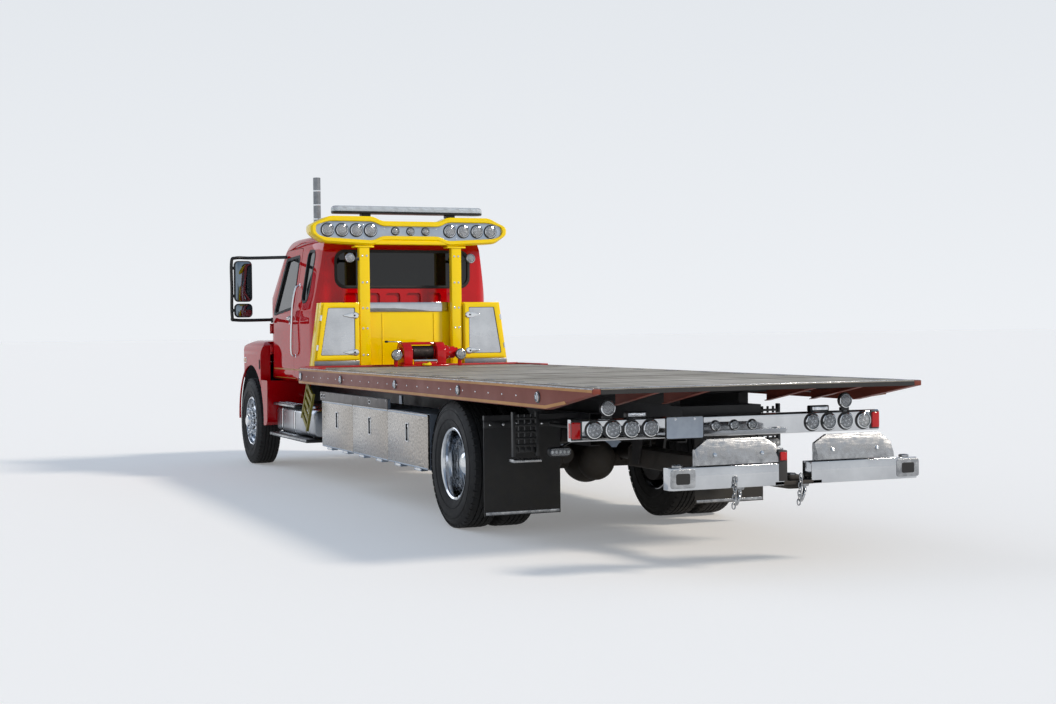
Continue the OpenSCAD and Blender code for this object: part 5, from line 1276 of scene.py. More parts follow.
class TRUCK_OT_deck(bpy.types.Operator):
    """Builds the side rails with their tape and lamps, the deck plate's seams, slots and red edge"""

    bl_idname = "truck.deck"
    bl_label = "Deck and rails"

    def execute(self, context):
        z = DECK_Z
        outline = [(DECK_TAIL, z), (DECK_TAIL, z - 0.035), (TAPER_X, z - RAIL_H), (DECK_FRONT, z - RAIL_H),
            (DECK_FRONT, z)]
        rails = Shape("rail")
        for side in SIDES.values():
            rails.prism(outline, "XZ", (DECK_HALF - 0.06) * side, DECK_HALF * side, "rail", 0.005, 3)
            y0, y1 = (DECK_HALF - 0.002) * side, (DECK_HALF + 0.0009) * side
            rails.prism([(DECK_TAIL + 0.01, z - 0.006), (DECK_TAIL + 0.01, z - 0.024),
                (DECK_FRONT - 0.006, z - 0.024), (DECK_FRONT - 0.006, z - 0.006)], "XZ", y0, y1, "stripe")
            rails.prism([(DECK_TAIL + 0.42, z - 0.112), (TAPER_X + 0.01, z - RAIL_H + 0.006),
                (DECK_FRONT - 0.006, z - RAIL_H + 0.006), (DECK_FRONT - 0.006, z - RAIL_H + 0.028),
                (TAPER_X + 0.02, z - RAIL_H + 0.028), (DECK_TAIL + 0.45, z - 0.094)], "XZ", y0, y1, "stripe")
            for x in (4.4, 2.9, 1.2, -0.4, -2.0):
                lamp(rails, (x, (DECK_HALF + 0.001) * side, z - 0.082), (0, side, 0), 0.034, diodes=3,
                    depth=0.02)
                rails.turned((x, (DECK_HALF + 0.0005) * side, z - 0.082), (0, side, 0),
                    [(0, 0), (0.043, 0), (0.042, 0.004), (0, 0.004)], "trim", 32)
            # a folded lip along the top keeps chains on the deck
            rails.box(DECK_TAIL + 0.004, DECK_FRONT - 0.06, (DECK_HALF - 0.012) * side,
                (DECK_HALF + 0.0014) * side, z - 0.006, z + 0.0028, "scuffed", 0.0014)
        rails.piece("rails", "deck", "rail_maroon", "side_rails")

        rivets = []
        for side in SIDES.values():
            head = Shape("chrome")
            head.turned((-1.6, DECK_HALF * side, z - 0.082), (0, side, 0),
                [(0, 0), (0.007, 0), (0.006, 0.003), (0, 0.0042)], sides=10)
            rivets.append(repeat(head, "rail_rivets", 22, step=(0.275, 0, 0)))
        repeated_piece(rivets, "rail_rivets", "deck", "chrome")

        plate = Shape("deck")
        half = DECK_HALF - 0.0602
        top = z + 0.003
        # weld seams between the plates, raised by the bead
        for x in (-1.9, -0.68, 0.54, 1.76, 2.98, 4.05):
            plate.prism([(-half + 0.02, top - 0.0005), (-half + 0.02, top + 0.0015),
                (half - 0.02, top + 0.0015), (half - 0.02, top - 0.0005)], "YZ", x, x + 0.008, "under")
        for side in SIDES.values():
            plate.prism(round_rect(DECK_TAIL + 0.03, 3.9, min(1.206 * side, 1.214 * side),
                max(1.206 * side, 1.214 * side), 0.003), "XY", top - 0.0005, top + 0.0012, "under")
            # steel caps of the rails, red paint at the front corners
            plate.box(3.72, DECK_FRONT - 0.004, (DECK_HALF - 0.085) * side, (DECK_HALF - 0.004) * side,
                z - 0.001, z + 0.016, "edge_red", 0.006, 3)
        plate.box(DECK_FRONT - 0.065, DECK_FRONT - 0.006, -half, half, z - 0.001, z + 0.02, "edge_red", 0.006,
            3)
        plate.box(DECK_TAIL + 0.002, DECK_TAIL + 0.06, -half, half, z - 0.001, z + 0.0062, "scuffed", 0.0024)
        plate.piece("deck_trim", "deck", "deck_steel")

        slots = []
        for side in SIDES.values():
            x0 = -2.6
            hole = flip_plan(round_rect(x0, x0 + 0.15, 1.1, 1.135, 0.016, 3), side)
            rim = flip_plan(round_rect(x0 - 0.012, x0 + 0.162, 1.088, 1.147, 0.024, 3), side)
            # no hole is cut: the slot's opening is a flat black fill in the rubber finish, painted shade,
            # inside a scuffed lip
            slot = Shape("rubber").prism(hole, "XY", top - 0.001, top + 0.0009)
            lip = Shape("scuffed").ring(rim, hole, "XY", top - 0.001, top + 0.0022)
            slots += [repeat(part, "deck_slots", 11, step=(0.62, 0, 0)) for part in (slot, lip)]
        repeated_piece(slots, "deck_slots", "deck", "deck_steel")
        self.under_deck()
        return {"FINISHED"}

    def under_deck(self):
        """Stiffeners, a wiring conduit and the tail's tapered ribs under the deck."""
        made = Shape("under")
        for side in SIDES.values():
            made.tube(smooth_path([(DECK_FRONT - 0.1, 1.17 * side, DECK_Z - 0.11),
                (2.0, 1.17 * side, DECK_Z - 0.112), (0.0, 1.17 * side, DECK_Z - 0.11),
                (TAPER_X + 0.2, 1.17 * side, DECK_Z - 0.108)], 6), 0.011, "trim", 8)
            made.box(TAPER_X, DECK_FRONT - 0.06, (DECK_HALF - 0.115) * side, (DECK_HALF - 0.062) * side,
                DECK_Z - 0.09, DECK_Z - 0.084, "under", 0.001)
        # tapered ribs that carry the tail edge, each with a bottom flange
        for y in (-0.8, -0.42, 0.42, 0.8):
            slope = [(DECK_TAIL + 0.03, DECK_Z - 0.03), (TAPER_X - 0.1, DECK_Z - RAIL_H + 0.024)]
            made.prism([(DECK_TAIL + 0.03, DECK_Z - 0.012), slope[0], slope[1],
                (TAPER_X - 0.1, DECK_Z - 0.012)], "XZ", y - 0.005, y + 0.005, "rail")
            made.prism([slope[0], (slope[0][0], slope[0][1] - 0.006), (slope[1][0], slope[1][1] - 0.006),
                slope[1]], "XZ", y - 0.022, y + 0.022, "rail", 0.001)
        made.piece("deck_conduit", "deck", "frame_black")


class TRUCK_OT_headboard(bpy.types.Operator):
    """Builds the headboard: cabinets with mirror doors, posts, panel, lamp pylon and light bar"""

    bl_idname = "truck.headboard"
    bl_label = "Headboard and pylon"

    def execute(self, context):
        made = Shape("yellow")
        x, z = BOARD_X, DECK_Z
        for side in SIDES.values():
            outer = [(0.605, z + 0.0004), (1.125, z + 0.0004), (1.03, CABINET_TOP), (0.605, CABINET_TOP)]
            hole = self.face(0.03)
            made.ring(flip(outer, side), flip(hole, side), "YZ", x, x + 0.17, "yellow", 0.004)
            made.prism(flip(outer, side), "YZ", x + 0.166, x + 0.18, "yellow", 0.003)
            # kick strips of bare grey metal below the doors
            made.box(x - 0.004, x + 0.012, 0.61 * side, (1.125 - 0.012) * side, z + 0.004, z + 0.07, "kick",
                0.003)
            made.box(x + 0.02, x + 0.1, 0.475 * side, 0.59 * side, z + 0.0004, POST_TOP, "yellow", 0.006, 3)
            made.box(x + 0.1, x + 0.18, 0.576 * side, 0.6052 * side, z + 0.0004, CABINET_TOP, "yellow", 0.003)
            made.box(x + 0.01, x + 0.15, 0.425 * side, 0.64 * side, POST_TOP - 0.02, POST_TOP, "yellow",
                0.004)
            # bolts at the heads and feet of the posts
            for h in (z + 0.13, CABINET_TOP - 0.28, CABINET_TOP - 0.06, CABINET_TOP + 0.22, POST_TOP - 0.11):
                for y in (0.508, 0.556):
                    made.bolt((x + 0.02, y * side, h), (-1, 0, 0), 0.009, 0.007)
            for h in (z + 0.12, CABINET_TOP - 0.09):
                made.bolt((x, 1.07 * side if h < z + 0.3 else 0.99 * side, h), (-1, 0, 0), 0.006, 0.004)
            # steady lamp bracket and work lamp outside each post
            made.box(x + 0.03, x + 0.06, 0.588 * side, 0.72 * side, POST_TOP - 0.16, POST_TOP - 0.13, "trim",
                0.003)
            made.tube([(x + 0.045, 0.7 * side, POST_TOP - 0.13), (x + 0.045, 0.7 * side, POST_TOP - 0.075)],
                0.008, "trim", 10)
            made.turned((x + 0.03, 0.7 * side, POST_TOP - 0.145 + 0.012), (-1, 0, 0),
                [(0, -0.05), (0.03, -0.045), (0.052, -0.012), (0.054, 0.012), (0, 0.012)], "trim", 32)
            lamp(made, (x + 0.018, 0.7 * side, POST_TOP - 0.133), (-1, 0, 0), 0.05, diodes=6, depth=0.018)
        # back panel with a folded shelf and a polished strip on its top edge
        made.box(x + 0.14, x + 0.158, -0.6052, 0.6052, z + 0.0004, CABINET_TOP, "yellow", 0.003)
        made.box(x + 0.128, x + 0.17, -0.47, 0.47, CABINET_TOP - 0.1, CABINET_TOP + 0.004, "polished", 0.004)
        made.box(x, x + 0.18, -1.125, 1.125, z - 0.14, z + 0.0003, "yellow", 0.005)
        for y in (-0.3, 0.3):
            made.box(x + 0.132, x + 0.142, y - 0.006, y + 0.006, z + 0.02, CABINET_TOP - 0.12, "yellow",
                0.002)
        self.pylon(made)
        made.piece("headboard_frame", "deck", "yellow", "headboard", crease=40)
        self.doors()
        self.light_bar()
        return {"FINISHED"}

    def face(self, g, out=0.0):
        """Outline of one cabinet's face, moved in by g."""
        z = DECK_Z + 0.075
        return [(0.605 + g, z + g), (1.125 - g - out - 0.075 * CABINET_LEAN, z + g),
            (1.03 - g - out, CABINET_TOP - g), (0.605 + g, CABINET_TOP - g)]

    def pylon_outline(self, s):
        """Outline of the lamp pylon from behind, moved in by s."""
        p, w = POST_TOP, PYLON_HALF
        half = [(0.33, p + 0.27 - s), (0.43, p + 0.32 - s), (w - 0.21, p + 0.32 - s), (w - s, p + 0.22),
            (w - s, p + 0.13), (w - 0.15, p + 0.03 + s), (0.43, p + s), (0.33, p + 0.05 + s)]
        return rounded(half + [(-y, h) for y, h in reversed(half)], 0.045, 5)

    def pylon(self, made):
        """The lamp pylon: a deep folded surround, a recessed plate and its lamps."""
        x = BOARD_X
        full = self.pylon_outline(0.0)
        shelf = self.pylon_outline(0.02)
        inner = self.pylon_outline(0.05)
        deep = self.pylon_outline(0.058)
        back = self.pylon_outline(0.012)
        loops = [(inner, x + 0.055), (deep, x + 0.012), (inner, x + 0.001), (shelf, x), (full, x + 0.02),
            (full, x + 0.19), (back, x + 0.22)]
        made.loft([[Vector((depth, y, h)) for y, h in line] for line, depth in loops], "yellow")
        plate = self.pylon_outline(0.052)
        made.prism(plate, "YZ", x + 0.028, x + 0.034, "brushed")
        # folded beam across the middle, below the lamps
        made.prism(round_rect(x + 0.004, x + 0.1, POST_TOP + 0.012, POST_TOP + 0.06, 0.01, 3), "XZ", -0.41,
            0.41, "yellow")
        size = bpy.context.scene.truck_lamps
        for side in SIDES.values():
            for y in (0.943, 0.782, 0.62, 0.459):
                lamp(made, (x + 0.024, y * side, POST_TOP + 0.168), (-1, 0, 0), size.large, diodes=6,
                    depth=0.02)
                made.turned((x + 0.029, y * side, POST_TOP + 0.168), (-1, 0, 0),
                    [(0, 0), (size.large + 0.012, 0), (size.large + 0.01, 0.004), (0, 0.004)], "trim", 36)
        for y in (-0.175, 0.0, 0.175):
            lamp(made, (x + 0.024, y, POST_TOP + 0.162), (-1, 0, 0), size.small, diodes=6, depth=0.02)
            made.turned((x + 0.029, y, POST_TOP + 0.162), (-1, 0, 0),
                [(0, 0), (size.small + 0.01, 0), (size.small + 0.008, 0.004), (0, 0.004)], "trim", 30)
        for y in (-1.02, -0.54, -0.3, 0.3, 0.54, 1.02):
            high = POST_TOP + (0.235 if abs(y) > 0.4 else 0.19)
            made.bolt((x + 0.028, y, high), (-1, 0, 0), 0.006, 0.004)
            made.bolt((x + 0.028, y, POST_TOP + 0.088), (-1, 0, 0), 0.006, 0.004)

    def doors(self):
        """Cabinet doors: yellow frame, mirror-finish panel and two paddle latches."""
        x = BOARD_X
        for name, side in SIDES.items():
            made = Shape("yellow")
            outer = rounded(flip(self.face(0.008, 0.014), side), 0.008, 3)
            inner = rounded(flip(self.face(0.055, 0.014), side), 0.014, 3)
            made.ring(outer, inner, "YZ", x - 0.0183, x - 0.0004, "yellow", 0.0025)
            made.prism(rounded(flip(self.face(0.045, 0.014), side), 0.014, 3), "YZ", x - 0.011, x - 0.004,
                "polished")
            gasket = rounded(flip(self.face(0.052, 0.014), side), 0.014, 3)
            hole = rounded(flip(self.face(0.06, 0.014), side), 0.014, 3)
            made.ring(gasket, hole, "YZ", x - 0.015, x - 0.008, "rubber")
            for h in (DECK_Z + 0.16, DECK_Z + 0.56):
                # teardrop latch: round boss by the edge and a tail over the mirror
                made.turned((x - 0.016, 0.655 * side, h), (-1, 0, 0),
                    [(0, 0), (0.036, 0), (0.036, 0.008), (0.03, 0.014), (0, 0.016)], "chrome", 28)
                tail = [(0.65, h - 0.034), (0.7, h - 0.028), (0.79, h - 0.006), (0.796, h + 0.004),
                    (0.7, h + 0.028), (0.65, h + 0.034)]
                made.prism(rounded(flip(tail, side), 0.02, 4), "YZ", x - 0.025, x - 0.012, "chrome", 0.004, 3)
                made.turned((x - 0.028, 0.668 * side, h), (-1, 0, 0),
                    [(0, 0), (0.012, 0), (0.011, 0.004), (0, 0.005)], "trim", 18)
                made.box(x - 0.024, x - 0.004, 0.618 * side, 0.65 * side, h - 0.022, h + 0.022, "trim", 0.004)
            angle = math.atan(CABINET_LEAN)
            for up in (0.16, 0.48):
                base = Vector((x - 0.01, (1.115 - CABINET_LEAN * (up + 0.04)) * side, DECK_Z + up))
                along = Vector((0, -math.sin(angle) * side, math.cos(angle)))
                made.rod(base + along * 0.0255, along, 0.012, 0.059, "chrome", 18)
            made.piece(f"cabinet_door_{name}_panel", f"cabinet_door_{name}", "steel_polished",
                f"cabinet_door_{name}", crease=40)

    def light_bar(self):
        """A low clear light bar on two rubber feet."""
        x, z = BOARD_X, PYLON_TOP
        made = Shape("bar_lens")
        outline = round_rect(x + 0.03, x + 0.21, -0.87, 0.87, 0.08, 8)
        mid = x + 0.12

        def loop(k, h):
            """The bar's outline at height h, shrunk to k."""
            return [Vector((mid + (px - mid) * k, py * (1 - (1 - k) * 0.12), h)) for px, py in outline]

        made.loft([loop(0.94, z + 0.032), loop(1.0, z + 0.042), loop(1.0, z + 0.056)], "trim")
        made.loft([loop(0.985, z + 0.056), loop(1.0, z + 0.062), loop(1.0, z + 0.085), loop(0.95, z + 0.103),
            loop(0.8, z + 0.1146)], "bar_lens")
        made.loft([loop(0.8, z + 0.058), loop(0.8, z + 0.082)], "reflector")
        for y in (i * 0.145 - 0.725 for i in range(11)):
            made.box(x + 0.045, x + 0.195, y - 0.005, y + 0.005, z + 0.06, z + 0.095, "trim", 0.001)
            for px in (x + 0.05, x + 0.188):
                made.turned((px, y + 0.07, z + 0.076), (1, 0, 0), rect(0, 0.009, -0.004, 0.004), "diode", 12)
        for side in SIDES.values():
            made.box(x + 0.07, x + 0.17, 0.44 * side, 0.54 * side, z + 0.0003, z + 0.034, "trim", 0.006, 3)
        made.piece("light_bar", "deck", "beacon", "beacon_bar", crease=35)


class TRUCK_OT_winch(bpy.types.Operator):
    """Builds the winch: red frame, wound drum, work lamps, levers and hook"""

    bl_idname = "truck.winch"
    bl_label = "Winch"

    def execute(self, context):
        x, z = DECK_FRONT - 0.29, DECK_Z
        axis_z = z + 0.15
        made = Shape("winch")
        # bed plate
        made.box(x - 0.15, x + 0.15, -0.26, 0.26, z + 0.0034, z + 0.02, "winch", 0.003)
        side_face = rounded([(x - 0.13, z + 0.01), (x + 0.13, z + 0.01), (x + 0.13, z + 0.2),
            (x + 0.08, z + 0.262), (x - 0.05, z + 0.265), (x - 0.13, z + 0.19)], 0.03, 5)
        for side in (-1, 1):
            made.prism(side_face, "XZ", *sorted((0.14 * side, 0.24 * side)), "winch", 0.006, 3)
            cap = [(0, -0.001), (0.062, -0.001), (0.062, 0.012), (0.05, 0.018), (0, 0.018)]
            made.turned((x, 0.24 * side, axis_z), (0, side, 0), cap, "winch", 32)
            for u, w in circle(6, 0.046, 30):
                made.bolt((x + u, 0.256 * side, axis_z + w), (0, side, 0), 0.006, 0.005)
        made.prism(rounded([(x - 0.04, z + 0.235), (x + 0.12, z + 0.235), (x + 0.12, z + 0.265),
            (x - 0.03, z + 0.2655)], 0.008, 3), "XZ", -0.15, 0.15, "winch", 0.003)
        # gearbox and hydraulic motor on the right
        made.turned((x, -0.24, axis_z), (0, -1, 0), [(0, 0), (0.075, 0), (0.078, 0.02), (0.078, 0.05),
            (0.066, 0.06), (0.066, 0.13), (0.052, 0.14), (0.052, 0.17), (0.03, 0.18), (0, 0.18)], "winch", 36)
        for u, w in circle(8, 0.066):
            made.bolt((x + u, -0.3, axis_z + w), (0, -1, 0), 0.006, 0.008)
        # lamps on stalks either side
        for y, bracket in ((0.32, 0.24), (-0.41, -0.36)):
            made.box(x - 0.1, x - 0.075, min(bracket, y) - 0.01, max(bracket, y) + 0.01, z + 0.1, z + 0.125,
                "winch", 0.003)
            made.box(x - 0.1, x - 0.075, y - 0.02, y + 0.02, z + 0.0034, z + 0.125, "winch", 0.003)
            made.turned((x - 0.115, y, z + 0.13), (-1, 0, 0), [(0, -0.05), (0.035, -0.045), (0.058, -0.01),
                (0.06, 0.012), (0, 0.012)], "trim", 32)
            lamp(made, (x - 0.127, y, z + 0.13), (-1, 0, 0), 0.054, diodes=6, depth=0.018)
        # free-spool levers
        for y, reach in ((0.2, 0.34), (0.23, 0.3)):
            made.tube([(x - 0.02, y, z + 0.24), (x - 0.03, y + 0.04, z + 0.27),
                (x - 0.03, y + reach * 0.55, z + 0.273)], 0.005, "chrome", 8)
            made.turned((x - 0.03, y + reach * 0.55, z + 0.273), (0, 1, 0),
                [(0, 0), (0.011, 0.004), (0.013, 0.016), (0.008, 0.028), (0, 0.03)], "trim", 14)
        # cable tension plate with its roller and the hook lying in front
        made.box(x - 0.14, x - 0.12, -0.13, 0.13, z + 0.022, z + 0.05, "winch", 0.004)
        made.rod((x - 0.13, -0.13, z + 0.065), (0, 1, 0), 0.014, 0.26, "chrome", 18)
        made.piece("winch_body", "deck", "winch_red", "winch_frame", crease=40)

        hook = Shape("yellow")
        line = smooth_path([(x - 0.16, -0.03, z + 0.03), (x - 0.2, -0.03, z + 0.028),
            (x - 0.235, -0.02, z + 0.027), (x - 0.26, 0.01, z + 0.026), (x - 0.25, 0.045, z + 0.026),
            (x - 0.215, 0.055, z + 0.026), (x - 0.195, 0.035, z + 0.026)], 6)
        hook.tube(line, 0.012, "yellow", 12)
        hook.turned((x - 0.15, -0.03, z + 0.03), (-1, 0, 0), [(0, 0), (0.018, 0), (0.02, 0.012),
            (0.02, 0.022), (0.014, 0.03), (0, 0.03)], "yellow", 20)
        hook.tube(smooth_path([(x - 0.05, -0.02, z + 0.1), (x - 0.1, -0.025, z + 0.085),
            (x - 0.14, -0.03, z + 0.045), (x - 0.155, -0.03, z + 0.031)], 6), 0.006, "cable", 10)
        hook.piece("winch_hook", "deck", "yellow", crease=50)

        cable = context.scene.truck_trim.cable
        turns = int(0.244 / cable)
        layers = []
        for radius, start, count in ((0.0605, 0.0, turns), (0.0605 + cable * 0.86, cable / 2, turns - 1)):
            wrap = Shape("cable")
            ring = [(x + u, start - 0.12, axis_z + w) for u, w in circle(28, radius)]
            wrap.tube(ring, cable / 2, "cable", 8, closed=True)
            layers.append(repeat(wrap, "cable_wraps", count, step=(0, cable, 0)))
        drum = Shape("winch")
        for side in SIDES.values():
            drum.turned((x, 0.131 * side, axis_z), (0, -side, 0), [(0, 0), (0.072, 0), (0.078, 0.003),
                (0.078, 0.009), (0.072, 0.012), (0, 0.012)], "winch", 40)
            drum.rod((x, 0.13 * side, axis_z), (0, side, 0), 0.02, 0.05, "greasy", 20)
        drum.rod((x, -0.125, axis_z), (0, 1, 0), 0.055, 0.25, "greasy", 36)
        layers.append(drum.as_mesh("drum"))
        repeated_piece(layers, "drum_and_cable", "winch_drum", "cable", "winch_drum")
        return {"FINISHED"}


# ---------- underlift and tail lamp bar ----------

TILT_REAR = -2.3
LAMP_BAR_X = TILT_REAR - 0.09
BAR_Z0 = FRAME_TOP - 0.108
BAR_Z1 = FRAME_TOP + 0.042
BOOM_X = -1.15
BOOM_Z = FRAME_BOTTOM - 0.09
CROSSBAR_X = DECK_TAIL - 0.32
CHAIN_Y = (0.43, -0.06)


class TRUCK_OT_tail(bpy.types.Operator):
    """Builds the polished tail lamp bar with its lamps, markers and blank plate"""

    bl_idname = "truck.tail"
    bl_label = "Tail lamp bar"

    def execute(self, context):
        x = LAMP_BAR_X
        made = Shape("polished")
        section = rounded([(x - 0.058, BAR_Z0), (x, BAR_Z0), (x, BAR_Z1), (x - 0.05, BAR_Z1),
            (x - 0.06, BAR_Z1 - 0.012)], 0.006, 3)
        made.prism(section, "XZ", -1.24, 1.24, "polished")
        face = x - 0.06
        mid = (BAR_Z0 + BAR_Z1) / 2
        rows = ((1.074, 0.058), (0.932, 0.058), (0.79, 0.058), (0.642, 0.058), (-0.665, 0.058),
            (-0.806, 0.058), (-0.952, 0.058), (-1.103, 0.058), (0.131, 0.034), (-0.021, 0.034),
            (-0.167, 0.034))
        for y, radius in rows:
            made.turned((face + 0.004, y, mid), (-1, 0, 0), [(0, 0), (radius * 1.18, 0),
                (radius * 1.16, 0.007), (radius, 0.009), (0, 0.009)], "trim", 36)
            lamp(made, (face - 0.006, y, mid), (-1, 0, 0), radius, diodes=6, depth=0.012)
        for side in SIDES.values():
            # red corner markers wrap round the ends
            made.box(face - 0.012, x - 0.004, 1.175 * side, 1.2405 * side, BAR_Z0 + 0.018, BAR_Z1 - 0.018,
                "red_lens", 0.008, 3)
            made.box(face - 0.003, face + 0.01, 1.16 * side, 1.242 * side, BAR_Z0 + 0.01, BAR_Z1 - 0.01,
                "trim", 0.003)
            made.box(x - 0.001, TILT_REAR - 0.0203, 0.15 * side, 0.23 * side, BAR_Z0 + 0.03, BAR_Z1 - 0.02,
                "under", 0.003)
            # work lamps on top of the bar and dark junction boxes beside them
            y = 0.96 * side
            made.box(x - 0.045, x - 0.015, y - 0.035, y + 0.035, BAR_Z1 - 0.002, BAR_Z1 + 0.022, "trim",
                0.004)
            made.turned((x - 0.035, y, BAR_Z1 + 0.072), (-1, 0, 0),
                [(0, -0.045), (0.035, -0.04), (0.056, -0.008), (0.058, 0.012), (0, 0.012)], "trim", 32)
            lamp(made, (x - 0.047, y, BAR_Z1 + 0.072), (-1, 0, 0), 0.053, diodes=8, depth=0.014)
            made.box(x - 0.05, x, (0.74 - 0.08) * side, (0.74 + 0.08) * side, BAR_Z1 - 0.002, BAR_Z1 + 0.042,
                "trim", 0.008, 3)
            made.box(x - 0.054, x - 0.046, (0.74 - 0.066) * side, (0.74 + 0.066) * side, BAR_Z1 + 0.008,
                BAR_Z1 + 0.034, "reflector", 0.003)
        # blank plate with a bevelled rim and its two bolts
        made.prism(round_rect(0.225, 0.525, BAR_Z0 - 0.01, BAR_Z1, 0.012), "YZ", face - 0.004, face - 0.001,
            "trim")
        made.prism(round_rect(0.232, 0.518, BAR_Z0 - 0.004, BAR_Z1 - 0.006, 0.01), "YZ", face - 0.008,
            face - 0.004, "plate", 0.001)
        for y in (0.3, 0.45):
            made.bolt((face - 0.008, y, BAR_Z1 - 0.02), (-1, 0, 0), 0.007, 0.005)
        made.piece("lamp_bar", "tilt_frame", "steel_polished", "tail_lamp_bar", crease=40)
        return {"FINISHED"}


class TRUCK_OT_underlift(bpy.types.Operator):
    """Builds the underlift: boom, inner boom, crossbar with scuffed guards, chains and hooks"""

    bl_idname = "truck.underlift"
    bl_label = "Underlift"

    def execute(self, context):
        z0, z1 = BOOM_Z - 0.075, BOOM_Z + 0.075
        rear, front = BOOM_X - 1.45, BOOM_X + 0.18
        boom = Shape("greasy")
        boom.ring(rounded(rect(-0.085, 0.085, z0, z1), 0.014, 4),
            rounded(rect(-0.068, 0.068, z0 + 0.014, z1 - 0.04), 0.01, 4), "YZ", rear, front - 0.06,
            "greasy", 0.0)
        boom.box(front - 0.062, front, -0.085, 0.085, z0, z1, "greasy", 0.008)
        boom.ring(rounded(rect(-0.0852, 0.0852, z0, z1), 0.014, 4),
            rounded(rect(-0.07, 0.07, z0 + 0.012, z1 - 0.038), 0.01, 4), "YZ", rear - 0.0005, rear + 0.03,
            "scuffed", 0.0)
        boom.piece("boom", "underlift_boom", "frame_black", "underlift_boom", crease=35)
        inner = Shape("greasy")
        stinger_rear = CROSSBAR_X + 0.09
        inner.prism(rounded(rect(-0.062, 0.062, z0 + 0.0145, z1 - 0.046), 0.01, 4), "YZ", stinger_rear,
            rear + 1.22, "greasy", 0.002)
        for h in (z0 + 0.015, z1 - 0.076):
            inner.prism(rounded([(CROSSBAR_X - 0.06, -0.05), (CROSSBAR_X - 0.06, 0.05),
                (stinger_rear + 0.001, 0.06), (stinger_rear + 0.001, -0.06)], 0.03, 5), "XY", h, h + 0.03,
                "greasy", 0.003)
        inner.rod((CROSSBAR_X, 0, z0 + 0.012), (0, 0, 1), 0.025, z1 - 0.046 - z0 - 0.012, "chrome", 28)
        inner.turned((CROSSBAR_X, 0, z1 - 0.046), (0, 0, 1), [(0, 0), (0.036, 0), (0.036, 0.008),
            (0.028, 0.012), (0, 0.012)], "scuffed", 24)
        inner.piece("inner_boom", "underlift_stinger", "frame_black", "underlift_stinger", crease=35)
        self.crossbar(z0, z1)
        return {"FINISHED"}

    def crossbar(self, z0, z1):
        """The crossbar with its slanting guard plates, hooks and chains."""
        x = CROSSBAR_X
        low, high = z0 + 0.047, z1 - 0.078
        made = Shape("greasy")
        made.turned((x, 0, low), (0, 0, 1), [(0.0252, 0), (0.06, 0), (0.06, high - low), (0.0252, high - low),
            (0.0252, 0)], "greasy", 36)
        made.box(x - 0.1, x - 0.03, -0.18, 0.18, low, high, "greasy", 0.003)
        for side in SIDES.values():
            outline = rounded([(x - 0.1, 0.1), (x - 0.1, 0.93), (x - 0.08, 0.95), (x, 0.95), (x + 0.02, 0.93),
                (x + 0.02, 0.1)], 0.012, 3)
            made.prism(flip_plan(outline, side), "XY", low, z1 + 0.04, "polished", 0.004)
            made.turned((x - 0.04, 0.87 * side, z1 + 0.0405), (0, 0, 1),
                [(0.0162, 0), (0.034, 0), (0.034, 0.012), (0.026, 0.016), (0.0162, 0.016), (0.0162, 0)],
                "scuffed", 32)
            # bright guard: slanted plate with cut ends, over a black carrier
            y0, y1 = 0.15, 0.75
            sections = []
            for y, top in ((y0, z1 + 0.16), (y0 + 0.09, z1 + 0.214), (y1 - 0.09, z1 + 0.214),
                    (y1, z1 + 0.15)):
                sections.append([Vector((px, y * side, h)) for px, h in ((x - 0.03, z1 + 0.041),
                    (x - 0.098, z1 + 0.05), (x - 0.0995, z1 + 0.075), (x - 0.06, top), (x - 0.034, top),
                    (x - 0.03, top - 0.01))])
            made.loft(sections, "scuffed")
            for y in (0.27, 0.62):
                made.bolt((x - 0.09, y * side, z1 + 0.115), (-0.93, 0, 0.36), 0.011, 0.009)
            # receiver tube that a fork slides in, with its slots: the black fill on its end plate, in the
            # rubber finish, is painted shade of the tube's mouth
            made.prism(rounded(rect(0.77 * side, 0.95 * side, z0 + 0.06, z1 + 0.03), 0.02, 4), "YZ",
                x - 0.104, x - 0.098, "scuffed", 0.002)
            made.prism(rounded(rect(0.81 * side, 0.91 * side, z0 + 0.085, z1 + 0.005), 0.015, 4), "YZ",
                x - 0.1055, x - 0.1, "rubber")
        made.box(x - 0.116, x - 0.098, 0.095, 0.145, z1 + 0.06, z1 + 0.115, "red_lens", 0.006, 3)
        made.box(x - 0.101, x - 0.03, 0.085, 0.155, z1 - 0.08, z1 + 0.125, "under", 0.006)
        for y in CHAIN_Y:
            # grab hook on a shackle below the bar
            made.tube(smooth_path([(x - 0.07, y, z0 + 0.05), (x - 0.075, y, z0 + 0.01),
                (x - 0.095, y + 0.02, z0 - 0.02), (x - 0.085, y + 0.03, z0 - 0.055),
                (x - 0.05, y + 0.01, z0 - 0.06), (x - 0.038, y - 0.01, z0 - 0.035)], 6), 0.012, "scuffed", 12)
            made.rod((x - 0.07, y - 0.025, z0 + 0.048), (0, 1, 0), 0.02, 0.05, "scuffed", 20)
        made.piece("crossbar", "underlift_crossbar", "frame_black", "underlift_crossbar", crease=35)
        links = []
        for y in CHAIN_Y:
            for k in range(7):
                centre = Vector((x - 0.11 - 0.006 * (k % 2), y + 0.05 + 0.003 * k, z0 + 0.1 - 0.028 * k))
                # every second link stands across the last
                loop = [Vector((u * (k % 2), u * (1 - k % 2), w * 1.75)) + centre
                    for u, w in circle(14, 0.012)]
                link = Shape("scuffed")
                link.tube(loop, 0.0045, "scuffed", 7, closed=True)
                links.append(link.as_mesh("link"))
        repeated_piece(links, "tie_down_chains", "underlift_crossbar", "rod_chrome")


# ---------- wheels ----------


# Radius of a tyre's bead, half a tyre's width, half a rim's width, and the wheels' middles across the truck
BEAD = 0.286
TYRE_HALF = 0.1395
RIM_HALF = TYRE_HALF - 0.034
FRONT_Y = 1.05
REAR_Y = 1.08
INNER_Y = REAR_Y - 2 * TYRE_HALF - 0.039
HUB_Y = (REAR_Y + INNER_Y) / 2
STUD_CIRCLE = 0.143
HAND_HOLES = 10


